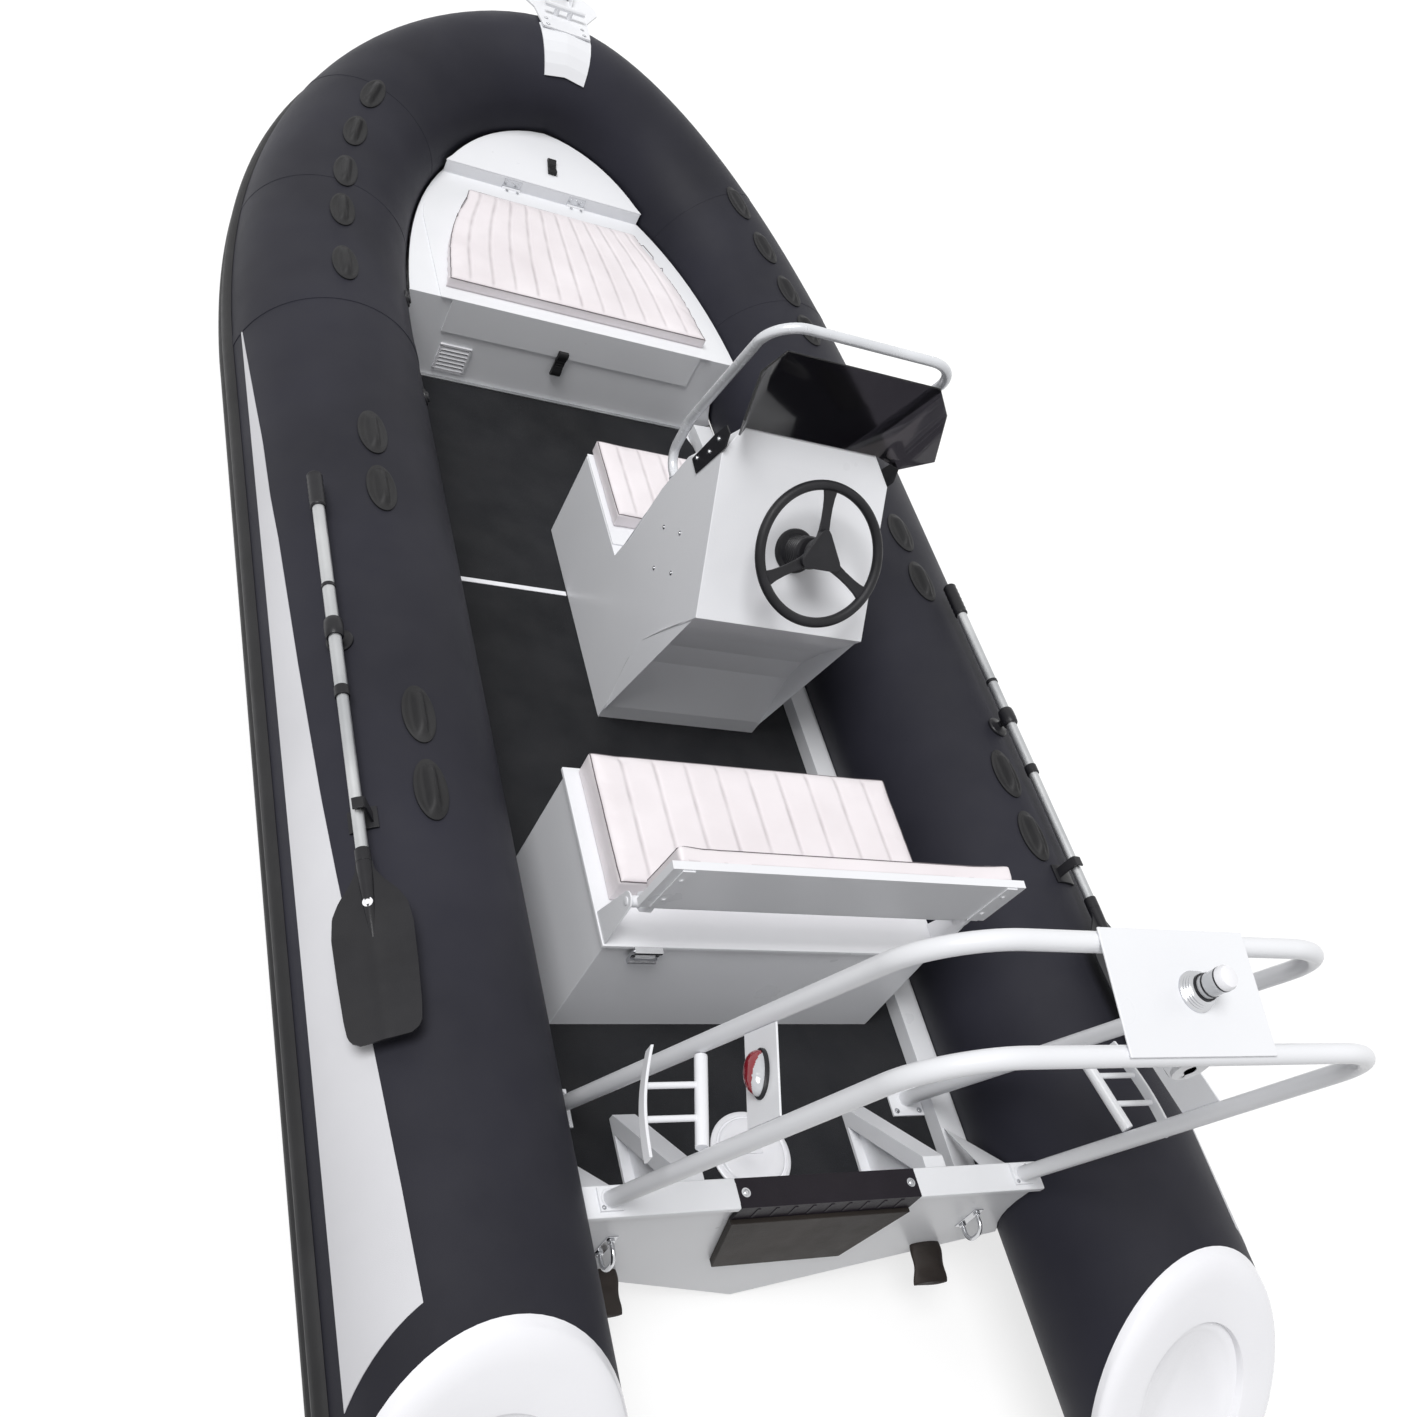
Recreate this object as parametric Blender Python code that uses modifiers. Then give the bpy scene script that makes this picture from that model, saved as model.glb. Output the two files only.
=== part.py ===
"""A rigid inflatable boat: aluminium V hull, three-chamber tube, helm console, seats, lockers and stern arch.

Lengths are in metres. Every piece is drawn in the boat's own frame: X to starboard, Y forward from the
transom's forward face, Z up from the deck. The empty named boat carries that frame, so that the world's
origin lies amidships under the keel strip.
"""

from math import asin, cos, degrees, pi, radians, sin, sqrt, tan

import bmesh
import bpy
from mathutils import Matrix, Vector

for old in list(bpy.data.objects):
    bpy.data.objects.remove(old, do_unlink=True)

# Driving dimensions
TUBE_RADIUS = 0.255
TUBE_HALF_SPACING = 0.793
TUBE_HEIGHT = 0.175
STRAIGHT_LENGTH = 2.448
BOW_REACH = 1.410
BOW_RISE = 0.322
BOW_FULLNESS = 1.413
BOW_BLUNTNESS = 0.208
BOW_TIP_RADIUS = 0.192
STERN_OVERHANG = 0.500
STERN_RAKE = radians(41)
HULL_DEPTH = 0.235
COAMING_INSET = 0.029
DECK_HALF_WIDTH = TUBE_HALF_SPACING - TUBE_RADIUS - COAMING_INSET
LOCKER_SETBACK = 1.095
SHEET = 0.004
GAP = 0.0003
SEAM = 0.0015
OVERRUN = 0.02

# Keel strip thickness belongs here because it sets the height of the deck over the ground.
KEEL_STRIP_THICKNESS = 0.010
DECK_HEIGHT = HULL_DEPTH + KEEL_STRIP_THICKNESS
BOW_CENTRE = STRAIGHT_LENGTH + BOW_REACH
LOCKER_FRONT = BOW_CENTRE - LOCKER_SETBACK
STERN_TIP = STERN_OVERHANG + TUBE_RADIUS * tan(STERN_RAKE)
MIDSHIP = (BOW_CENTRE + BOW_TIP_RADIUS - STERN_TIP) / 2

PORT = -1
STARBOARD = 1
SIDES = (PORT, STARBOARD)
SIDE_WORDS = ((PORT, "port"), (STARBOARD, "stbd"))

boat_collection = bpy.data.collections.new("rigid_inflatable_boat")
cutter_collection = bpy.data.collections.new("cutters")
bpy.context.scene.collection.children.link(boat_collection)
bpy.context.scene.collection.children.link(cutter_collection)

boat = bpy.data.objects.new("boat", None)
boat.location = (0, -MIDSHIP, DECK_HEIGHT)
boat_collection.objects.link(boat)


def material(name, colour, roughness, metallic=0.0):
    made = bpy.data.materials.new(name)
    made.use_nodes = True
    shader = made.node_tree.nodes["Principled BSDF"]
    shader.inputs["Base Color"].default_value = (*colour, 1)
    shader.inputs["Roughness"].default_value = roughness
    shader.inputs["Metallic"].default_value = metallic
    return made


WHITE_PAINT = material("white_paint", (0.86, 0.86, 0.87), 0.35)
BARE_ALUMINIUM = material("bare_aluminium", (0.62, 0.63, 0.64), 0.40, 0.9)
STAINLESS = material("stainless", (0.70, 0.70, 0.71), 0.25, 1.0)
TUBE_FABRIC = material("tube_fabric", (0.035, 0.035, 0.042), 0.55)
DECK_PAD = material("deck_pad", (0.018, 0.018, 0.020), 0.80)
WHITE_MOULDING = material("white_moulding", (0.88, 0.88, 0.89), 0.25)
BLACK_RUBBER = material("black_rubber", (0.02, 0.02, 0.02), 0.60)
BLACK_PLASTIC = material("black_plastic", (0.025, 0.025, 0.03), 0.40)
BROWN_BOARD = material("brown_board", (0.10, 0.075, 0.06), 0.60)
CUSHION_VINYL = material("cushion_vinyl", (0.80, 0.77, 0.78), 0.45)
SMOKED_SCREEN = material("smoked_screen", (0.02, 0.02, 0.025), 0.12)
RED_LENS = material("red_lens", (0.45, 0.02, 0.03), 0.15)


def finish_mesh(name, bm, paint, pivot=None, cutter=False, smooth=None):
    """Turn a bmesh drawn in the boat's frame into an object, with its origin at the pivot if one is given."""
    bmesh.ops.recalc_face_normals(bm, faces=bm.faces)
    if pivot is not None:
        bmesh.ops.translate(bm, verts=bm.verts, vec=-Vector(pivot))
    mesh = bpy.data.meshes.new(name)
    bm.to_mesh(mesh)
    bm.free()
    made = bpy.data.objects.new(name, mesh)
    made.parent = boat
    if pivot is not None:
        made.location = pivot
    if cutter:
        cutter_collection.objects.link(made)
        made.hide_render = True
        made.display_type = "WIRE"
        return made
    boat_collection.objects.link(made)
    mesh.materials.append(paint)
    if smooth:
        mesh.shade_smooth()
        mesh.set_sharp_from_angle(angle=smooth)
    return made


def add_prism(bm, outline, direction):
    """Extrude one flat outline of points along a direction, as a closed solid."""
    corners = [bm.verts.new(point) for point in outline]
    face = bm.faces.new(corners)
    swept = bmesh.ops.extrude_face_region(bm, geom=[face], use_keep_orig=True)
    moved = [item for item in swept["geom"] if isinstance(item, bmesh.types.BMVert)]
    bmesh.ops.translate(bm, verts=moved, vec=direction)


def add_box(bm, low, high):
    size = Vector(high) - Vector(low)
    centre = (Vector(high) + Vector(low)) / 2
    place = Matrix.Translation(centre) @ Matrix.Diagonal((*size, 1))
    bmesh.ops.create_cube(bm, size=1, matrix=place)


def facing(point, axis):
    """A matrix that puts local Z along an axis, with its origin at a point."""
    turn = Vector(axis).to_track_quat("Z", "Y").to_matrix().to_4x4()
    return Matrix.Translation(Vector(point)) @ turn


def add_rod(bm, start, end, radius, sides=12, end_radius=None):
    start = Vector(start)
    end = Vector(end)
    place = facing((start + end) / 2, end - start)
    bmesh.ops.create_cone(
        bm, cap_ends=True, segments=sides, radius1=radius,
        radius2=radius if end_radius is None else end_radius, depth=(end - start).length, matrix=place)


def add_loft(bm, rings, closed_rings=True, capped=True):
    """Join sections that have the same number of points."""
    made = [[bm.verts.new(point) for point in ring] for ring in rings]
    count = len(rings[0])
    last = count if closed_rings else count - 1
    for near, far in zip(made[:-1], made[1:]):
        for k in range(last):
            following = (k + 1) % count
            bm.faces.new((near[k], near[following], far[following], far[k]))
    if capped:
        bm.faces.new(list(reversed(made[0])))
        bm.faces.new(made[-1])


def add_sheet(bm, rows, thickness):
    """A closed skin between a grid of points and the same grid moved along each point's own normal."""
    outer = [[point + normal * thickness(i, j) for j, (point, normal) in enumerate(row)]
             for i, row in enumerate(rows)]
    low = [[bm.verts.new(point) for point, normal in row] for row in rows]
    high = [[bm.verts.new(point) for point in row] for row in outer]
    tall = len(rows)
    wide = len(rows[0])
    for i in range(tall - 1):
        for j in range(wide - 1):
            bm.faces.new((low[i][j], low[i][j + 1], low[i + 1][j + 1], low[i + 1][j]))
            bm.faces.new((high[i][j], high[i + 1][j], high[i + 1][j + 1], high[i][j + 1]))
    border = [(0, j) for j in range(wide)]
    border += [(i, wide - 1) for i in range(1, tall)]
    border += [(tall - 1, j) for j in range(wide - 2, -1, -1)]
    border += [(i, 0) for i in range(tall - 2, 0, -1)]
    for (i, j), (m, n) in zip(border, border[1:] + border[:1]):
        bm.faces.new((low[i][j], high[i][j], high[m][n], low[m][n]))


def solidify(made, thickness, offset=-1.0):
    shell = made.modifiers.new("wall", "SOLIDIFY")
    shell.thickness = thickness
    shell.offset = offset
    shell.use_even_offset = True


def finish_shell(name, bm, paint, thickness, inner):
    """Turn an open surface into an object with a wall inside it, its faces turned from an inner point."""
    bmesh.ops.recalc_face_normals(bm, faces=bm.faces)
    bm.faces.ensure_lookup_table()
    first = bm.faces[0]
    if first.normal.dot(first.calc_center_median() - Vector(inner)) < 0:
        bmesh.ops.reverse_faces(bm, faces=bm.faces)
    mesh = bpy.data.meshes.new(name)
    bm.to_mesh(mesh)
    bm.free()
    made = bpy.data.objects.new(name, mesh)
    made.parent = boat
    boat_collection.objects.link(made)
    mesh.materials.append(paint)
    solidify(made, thickness)
    return made


def bevel(made, width, segments=2, angle=radians(40)):
    edges = made.modifiers.new("rounded_edges", "BEVEL")
    edges.width = width
    edges.segments = segments
    edges.limit_method = "ANGLE"
    edges.angle_limit = angle


def boolean(made, other, operation):
    tool = made.modifiers.new(operation.lower(), "BOOLEAN")
    tool.operation = operation
    tool.object = other
    tool.solver = "EXACT"


def turned(name, profile, place, paint, steps=24):
    """Spin a profile of (radius, height) points, listed from the top down its outer side."""
    mesh = bpy.data.meshes.new(name)
    points = [(radius, 0, height) for radius, height in profile]
    mesh.from_pydata(points, [(k, k + 1) for k in range(len(points) - 1)], [])
    made = bpy.data.objects.new(name, mesh)
    boat_collection.objects.link(made)
    made.parent = boat
    made.matrix_local = place
    mesh.materials.append(paint)
    spin = made.modifiers.new("spin", "SCREW")
    spin.steps = steps
    spin.render_steps = steps
    spin.use_merge_vertices = True
    spin.merge_threshold = GAP / 10
    return made


def pipe(name, points, radius, paint, resolution=4):
    """A round bar along a chain of points, with filled ends."""
    curve = bpy.data.curves.new(name, "CURVE")
    curve.dimensions = "3D"
    curve.bevel_depth = radius
    curve.bevel_resolution = resolution
    curve.use_fill_caps = True
    spline = curve.splines.new("POLY")
    spline.points.add(len(points) - 1)
    for target, point in zip(spline.points, points):
        target.co = (*point, 1)
    curve.materials.append(paint)
    made = bpy.data.objects.new(name, curve)
    made.parent = boat
    boat_collection.objects.link(made)
    return made


def as_mesh(made):
    """Turn a curve into a mesh with welded caps, so that it can be joined to other solids."""
    name = made.name
    bpy.context.view_layer.update()
    place = made.matrix_local.copy()
    evaluated = made.evaluated_get(bpy.context.evaluated_depsgraph_get())
    mesh = bpy.data.meshes.new_from_object(evaluated)
    bpy.data.objects.remove(made, do_unlink=True)
    bm = bmesh.new()
    bm.from_mesh(mesh)
    bmesh.ops.remove_doubles(bm, verts=bm.verts, dist=GAP / 10)
    bmesh.ops.recalc_face_normals(bm, faces=bm.faces)
    bm.to_mesh(mesh)
    bm.free()
    solid = bpy.data.objects.new(name, mesh)
    solid.parent = boat
    boat_collection.objects.link(solid)
    solid.matrix_local = place
    return solid


def bent_path(corners, bend, steps=5):
    """Replace each inner corner of a chain with an arc of the given bend radius."""
    corners = [Vector(corner) for corner in corners]
    path = [corners[0]]
    for before, corner, after in zip(corners[:-2], corners[1:-1], corners[2:]):
        into = (corner - before).normalized()
        out = (after - corner).normalized()
        half_turn = into.angle(out) / 2
        reach = bend * tan(half_turn)
        centre = corner + (out - into).normalized() * (bend / cos(half_turn))
        start = corner - into * reach - centre
        end = corner + out * reach - centre
        for k in range(steps + 1):
            share = k / steps
            turn = half_turn * 2
            path.append(centre + (start * sin((1 - share) * turn) + end * sin(share * turn)) / sin(turn))
    path.append(corners[-1])
    return path


def mirrored(points):
    return [Vector((-x, y, z)) for x, y, z in points]


# The tube's centreline: straight runs, then a bow drawn as a cubic curve that rises while the tube tapers.
BOW_STEPS = 200
bow_controls = (
    Vector((TUBE_HALF_SPACING, STRAIGHT_LENGTH, TUBE_HEIGHT)),
    Vector((TUBE_HALF_SPACING, STRAIGHT_LENGTH + BOW_FULLNESS, TUBE_HEIGHT)),
    Vector((BOW_BLUNTNESS, BOW_CENTRE, TUBE_HEIGHT + BOW_RISE)),
    Vector((0, BOW_CENTRE, TUBE_HEIGHT + BOW_RISE)),
)


def bow_curve(t):
    a, b, c, d = bow_controls
    u = 1 - t
    return a * u ** 3 + b * (3 * t * u ** 2) + c * (3 * t ** 2 * u) + d * t ** 3


def bow_tangent(t):
    a, b, c, d = bow_controls
    u = 1 - t
    return ((b - a) * (3 * u ** 2) + (c - b) * (6 * t * u) + (d - c) * (3 * t ** 2)).normalized()


bow_lengths = [0.0]
for step in range(BOW_STEPS):
    piece = (bow_curve((step + 1) / BOW_STEPS) - bow_curve(step / BOW_STEPS)).length
    bow_lengths.append(bow_lengths[-1] + piece)
TUBE_END = STRAIGHT_LENGTH + bow_lengths[-1]


def bow_share(station):
    """How far along the bow curve a station lies: 0 up to its start, 1 at the tip."""
    wanted = max(min(station - STRAIGHT_LENGTH, bow_lengths[-1]), 0)
    low = next(k for k in range(BOW_STEPS) if bow_lengths[k + 1] >= wanted)
    part = (wanted - bow_lengths[low]) / (bow_lengths[low + 1] - bow_lengths[low])
    return (low + part) / BOW_STEPS


def tube_radius(station):
    return TUBE_RADIUS + (BOW_TIP_RADIUS - TUBE_RADIUS) * bow_share(station)


def tube_frame(station, side):
    """Centre, tangent, outboard and upward directions of the tube at a distance along it from the transom."""
    if station <= STRAIGHT_LENGTH:
        centre = Vector((TUBE_HALF_SPACING, station, TUBE_HEIGHT))
        tangent = Vector((0, 1, 0))
    else:
        centre = bow_curve(bow_share(station))
        tangent = bow_tangent(bow_share(station))
    outboard = Vector((tangent.y, -tangent.x, 0)).normalized()
    up = outboard.cross(tangent)
    if side == PORT:
        centre, tangent, outboard, up = mirrored((centre, tangent, outboard, up))
    return centre, tangent, outboard, up


def on_tube(station, angle, clearance, side):
    """A point over the tube's skin, its angle counted from outboard (0) over the top (90 degrees) inboard."""
    centre, tangent, outboard, up = tube_frame(station, side)
    normal = outboard * cos(angle) + up * sin(angle)
    return centre + normal * (tube_radius(station) + clearance)


def inner_edge(station, height, clearance, side=STARBOARD):
    """Where a level sheet at a height over the deck meets the tube's inboard face."""
    centre, tangent, outboard, up = tube_frame(station, side)
    drop = (height - centre.z) * up.z
    reach = sqrt(max(tube_radius(station) ** 2 - drop ** 2, 0)) + clearance
    edge = centre - outboard * reach
    return Vector((edge.x, edge.y, height))


def tube_patch(bm, station, angle, side, length, width, height, along=6, across=3):
    """A moulded fitting that follows the tube's skin; height is a function of shares 0 to 1 each way."""
    rows = []
    for i in range(along + 1):
        row = []
        for j in range(across + 1):
            place = station + length * (i / along - 1 / 2)
            turn = angle + (width / TUBE_RADIUS) * (j / across - 1 / 2)
            skin = on_tube(place, turn, GAP, side)
            row.append((skin, (skin - tube_frame(place, side)[0]).normalized()))
        rows.append(row)
    add_sheet(bm, rows, lambda i, j: height(i / along, j / across))


def cushion(name, outline_at, length, thickness, place, pivot, columns, rows, channels, crown, groove, tuck):
    """A sewn cushion over a place matrix: local X across, local Y along it, local Z up from its base.

    outline_at gives the half width at a share of the length; crown lifts the middle of the top, groove
    sinks the sewn channels and tuck draws the middle of the sides in.
    """
    levels = (0, 1 / 2, 1)
    bm = bmesh.new()

    def swell(u, v):
        across = 1 - abs(2 * u - 1) ** 4
        along = 1 - abs(2 * v - 1) ** 4
        sunk = (1 - abs(sin(pi * u * channels))) ** 2
        return (crown - groove * sunk) * across * along

    def point(u, v, level):
        half = outline_at(v)
        draw = tuck * sin(pi * level)
        x = (2 * u - 1) * (half - draw)
        y = length * v - draw * (2 * v - 1)
        z = thickness * level + (swell(u, v) if level == 1 else 0)
        return place @ Vector((x, y, z))

    grid = {}
    for level in levels:
        for i in range(columns + 1):
            for j in range(rows + 1):
                inside = 0 < i < columns and 0 < j < rows
                if level == 1 / 2 and inside:
                    continue
                grid[i, j, level] = bm.verts.new(point(i / columns, j / rows, level))
    for i in range(columns):
        for j in range(rows):
            for level in (0, 1):
                corners = [grid[i, j, level], grid[i + 1, j, level],
                           grid[i + 1, j + 1, level], grid[i, j + 1, level]]
                bm.faces.new(corners)
    border = [(i, 0) for i in range(columns)] + [(columns, j) for j in range(rows)]
    border += [(i, rows) for i in range(columns, 0, -1)] + [(0, j) for j in range(rows, 0, -1)]
    for low, high in zip(levels[:-1], levels[1:]):
        for (i, j), (m, n) in zip(border, border[1:] + border[:1]):
            bm.faces.new((grid[i, j, low], grid[m, n, low], grid[m, n, high], grid[i, j, high]))
    return finish_mesh(name, bm, CUSHION_VINYL, pivot=pivot, smooth=radians(50))


# Air chambers: two straight side chambers and one bow chamber, each a closed round body
TUBE_SIDES = 32
BOW_SECTIONS = 36
tube_angles = [2 * pi * k / TUBE_SIDES for k in range(TUBE_SIDES)]


def stern_plane(height):
    """Y of the raked stern cut at a height over the deck."""
    return -STERN_OVERHANG + (height - TUBE_HEIGHT) * tan(STERN_RAKE)


def stern_ring(side, radius, offset, lift=0):
    """A ring of the tube's section, laid on the raked stern plane and moved aft by an offset."""
    ring = []
    for angle in tube_angles:
        x = side * (TUBE_HALF_SPACING + radius * cos(angle))
        z = TUBE_HEIGHT + radius * sin(angle) + lift
        ring.append(Vector((x, stern_plane(z) - offset, z)))
    return ring


def section_ring(station, side):
    centre, tangent, outboard, up = tube_frame(station, side)
    radius = tube_radius(station)
    return [centre + outboard * (radius * cos(angle)) + up * (radius * sin(angle)) for angle in tube_angles]


for side, name in ((PORT, "tube_port"), (STARBOARD, "tube_stbd")):
    bm = bmesh.new()
    add_loft(bm, [stern_ring(side, TUBE_RADIUS, 0), section_ring(STRAIGHT_LENGTH - GAP, side)])
    finish_mesh(name, bm, TUBE_FABRIC, smooth=radians(40))

bm = bmesh.new()
bow_rings = []
for k in range(BOW_SECTIONS + 1):
    position = 2 * k / BOW_SECTIONS - 1
    station = TUBE_END - abs(position) * (TUBE_END - STRAIGHT_LENGTH)
    bow_rings.append(section_ring(station, PORT if position < 0 else STARBOARD))
add_loft(bm, bow_rings)
finish_mesh("tube_bow", bm, TUBE_FABRIC, smooth=radians(40))

# Stern cones' end caps: white mouldings with a rounded rim and an arched recess
CAP_DEPTH = 0.040
CAP_RIM = 0.030
CAP_RECESS_DEPTH = 0.018
CAP_RECESS_HALF = 0.135
CAP_RECESS_LOW = 0.120
cap_normal = Vector((0, -cos(STERN_RAKE), sin(STERN_RAKE)))
cap_up = Vector((0, sin(STERN_RAKE), cos(STERN_RAKE)))
for side, word in SIDE_WORDS:
    bm = bmesh.new()
    add_loft(bm, [
        stern_ring(side, TUBE_RADIUS, GAP),
        stern_ring(side, TUBE_RADIUS, CAP_DEPTH - CAP_RIM / 2),
        stern_ring(side, TUBE_RADIUS - CAP_RIM / 3, CAP_DEPTH - CAP_RIM / 6),
        stern_ring(side, TUBE_RADIUS - CAP_RIM, CAP_DEPTH),
    ])
    end_cap = finish_mesh("end_cap_" + word, bm, WHITE_MOULDING, smooth=radians(35))
    middle = Vector((side * TUBE_HALF_SPACING, -STERN_OVERHANG - CAP_DEPTH, TUBE_HEIGHT))
    arc = [pi * k / 10 for k in range(11)]
    outline = [middle + Vector((CAP_RECESS_HALF * cos(a), 0, 0)) + cap_up * (CAP_RECESS_HALF * sin(a))
               for a in arc]
    outline += [middle + Vector((-CAP_RECESS_HALF, 0, 0)) - cap_up * CAP_RECESS_LOW,
                middle + Vector((CAP_RECESS_HALF, 0, 0)) - cap_up * CAP_RECESS_LOW]
    bm = bmesh.new()
    add_prism(bm, [point - cap_normal * CAP_RECESS_DEPTH for point in outline],
              cap_normal * (CAP_RECESS_DEPTH + OVERRUN))
    recess = finish_mesh("cap_recess_cutter_" + word, bm, None, cutter=True)
    boolean(end_cap, recess, "DIFFERENCE")

# Rubbing strake: a ribbed rubber band round the outside of the tube, from one stern to the other
STRAKE_END = 0.030
STRAKE_HEIGHT = 0.020
tube_facet = degrees(tube_angles[1])
strake_angles = [radians(a) for a in (-13, -12, -8, -5, -2, 2, 6, 7, 0, -tube_facet)]
strake_height_shares = (0, 0.5, 0.7, 1, 1, 0.7, 0.5, 0, 0, 0)
strake_stations = [STRAKE_END - STERN_OVERHANG]
strake_stations += [STRAIGHT_LENGTH + (TUBE_END - STRAIGHT_LENGTH) * 2 * k / BOW_SECTIONS
                    for k in range(BOW_SECTIONS // 2 + 1)]
strake_rings = []
for side in SIDES:
    stations = strake_stations if side == PORT else list(reversed(strake_stations[:-1]))
    for station in stations:
        seat = 3 * GAP if station <= STRAIGHT_LENGTH else 6 * GAP
        strake_rings.append([on_tube(station, a, seat + STRAKE_HEIGHT * share, side)
                             for a, share in zip(strake_angles, strake_height_shares)])
bm = bmesh.new()
add_loft(bm, strake_rings)
finish_mesh("rubbing_strake", bm, BLACK_RUBBER, smooth=radians(50))

# Hull: a V of sheet metal whose chine follows the tube's underside
CHINE_ANGLE = radians(220)
CHINE_CLEARANCE = 0.006
KEEL_RISE_SETBACK = 0.448
KEEL_RISE_START = STRAIGHT_LENGTH - KEEL_RISE_SETBACK
HULL_BOW_TRIM = 0.120
HULL_STATIONS = 20
KEEL_SWEEP = 2.4


def chine_point(station):
    return on_tube(station, CHINE_ANGLE, CHINE_CLEARANCE, STARBOARD)


chine_tip = chine_point(TUBE_END)


def keel_height(y):
    share = max(0, (y - KEEL_RISE_START) / (chine_tip.y - KEEL_RISE_START))
    return -HULL_DEPTH + (chine_tip.z + HULL_DEPTH) * share ** KEEL_SWEEP


hull_stations = [0, KEEL_RISE_START]
hull_stations += [KEEL_RISE_START + (TUBE_END - HULL_BOW_TRIM - KEEL_RISE_START) * k / HULL_STATIONS
                  for k in range(1, HULL_STATIONS + 1)]
bm = bmesh.new()
hull_rings = []
for station in hull_stations:
    chine = chine_point(station)
    forward = max(chine.y, GAP)
    keel = Vector((0, forward, keel_height(forward)))
    chine = Vector((chine.x, forward, chine.z))
    hull_rings.append([mirrored([chine])[0], keel, chine])


def hull_half_width(y, z):
    """Half width inside the V at a height, for what is fitted between its two sides."""
    after = next(k for k in range(1, len(hull_rings)) if hull_rings[k][1].y >= y)
    near, far = hull_rings[after - 1], hull_rings[after]
    share = (y - near[1].y) / (far[1].y - near[1].y)
    keel = near[1].lerp(far[1], share)
    chine = near[2].lerp(far[2], share)
    slope = (chine.z - keel.z) / chine.x
    twist = (far[2].z - far[1].z) / far[2].x - (near[2].z - near[1].z) / near[2].x
    climb = (far[1].z - near[1].z + twist * (z - keel.z) / slope) / (far[1].y - near[1].y)
    wall = SHEET * sqrt(1 + slope ** 2 + climb ** 2)
    return (z - wall - keel.z) / slope


add_loft(bm, hull_rings, closed_rings=False, capped=False)
finish_shell("hull_bottom", bm, WHITE_PAINT, SHEET, (0, DECK_HALF_WIDTH, 0))

# Keel strip: the flat-soled bar along the V that the boat stands on
KEEL_STRIP_HALF = 0.055
chine_start = chine_point(0)
DEADRISE_SLOPE = (chine_start.z + HULL_DEPTH) / chine_start.x
keel_side = -HULL_DEPTH + DEADRISE_SLOPE * KEEL_STRIP_HALF - 2 * GAP
outline = [(-KEEL_STRIP_HALF, 0, -DECK_HEIGHT), (KEEL_STRIP_HALF, 0, -DECK_HEIGHT),
           (KEEL_STRIP_HALF, 0, keel_side), (0, 0, -HULL_DEPTH - 2 * GAP), (-KEEL_STRIP_HALF, 0, keel_side)]
bm = bmesh.new()
add_prism(bm, outline, (0, KEEL_RISE_START, 0))
finish_mesh("keel_strip", bm, BARE_ALUMINIUM)

# Deck: two padded sheets that meet at a joint strip
DECK_JOINT = 1.885
DECK_UNDER_LOCKER = 0.187
DECK_FORWARD_END = LOCKER_FRONT + DECK_UNDER_LOCKER
DECK_CLEARANCE = 0.018


def deck_outline(start, end, count):
    right = []
    for k in range(count + 1):
        y = start + (end - start) * k / count
        right.append(Vector((hull_half_width(y, -SHEET) - DECK_CLEARANCE, y, -SHEET)))
    return right + list(reversed(mirrored(right)))


bm = bmesh.new()
add_prism(bm, deck_outline(GAP, DECK_JOINT - GAP, 1), (0, 0, SHEET))
finish_mesh("deck_aft", bm, DECK_PAD)
bm = bmesh.new()
add_prism(bm, deck_outline(DECK_JOINT, DECK_FORWARD_END, 8), (0, 0, SHEET))
finish_mesh("deck_forward", bm, DECK_PAD)

# Side coamings: angle strips between the deck and the tubes, with a gusset at each stern corner
COAMING_HEIGHT = 0.045
COAMING_CLEARANCE = 0.003
COAMING_END = LOCKER_FRONT - COAMING_CLEARANCE
GUSSET_LENGTH = 0.200
GUSSET_HEIGHT = 0.225
GUSSET_WIDTH = 0.090
inward = TUBE_HALF_SPACING - DECK_HALF_WIDTH
flange_drop = TUBE_HEIGHT - COAMING_HEIGHT
flange_reach = sqrt(TUBE_RADIUS ** 2 - flange_drop ** 2) + SEAM
coaming_stations = [GAP, STRAIGHT_LENGTH]
coaming_stations += [STRAIGHT_LENGTH + (COAMING_END - STRAIGHT_LENGTH) * k / 3 for k in (1, 2, 3)]
for side, word in SIDE_WORDS:
    bm = bmesh.new()
    rings = []
    for station in coaming_stations:
        centre, tangent, outboard, up = tube_frame(station, side)
        foot = Vector((centre.x, centre.y, 0))
        section = ((inward, GAP), (inward, COAMING_HEIGHT), (flange_reach, COAMING_HEIGHT),
                   (flange_reach, COAMING_HEIGHT - SHEET), (inward - SHEET, COAMING_HEIGHT - SHEET),
                   (inward - SHEET, GAP))
        rings.append([foot - outboard * reach + Vector((0, 0, height)) for reach, height in section])
    add_loft(bm, rings)
    coaming = finish_mesh("side_coaming_" + word, bm, WHITE_PAINT)
    corner = TUBE_HALF_SPACING - TUBE_RADIUS - SHEET
    bm = bmesh.new()
    add_prism(bm, [Vector((side * (DECK_HALF_WIDTH + 2 * SHEET), GUSSET_LENGTH, COAMING_HEIGHT - SHEET / 2)),
                   Vector((side * (corner - GUSSET_WIDTH), GAP, GUSSET_HEIGHT)),
                   Vector((side * corner, GAP, GUSSET_HEIGHT))], (0, 0, SHEET))
    gusset = finish_mesh("stern_gusset_" + word, bm, None, cutter=True)
    boolean(coaming, gusset, "UNION")

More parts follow.
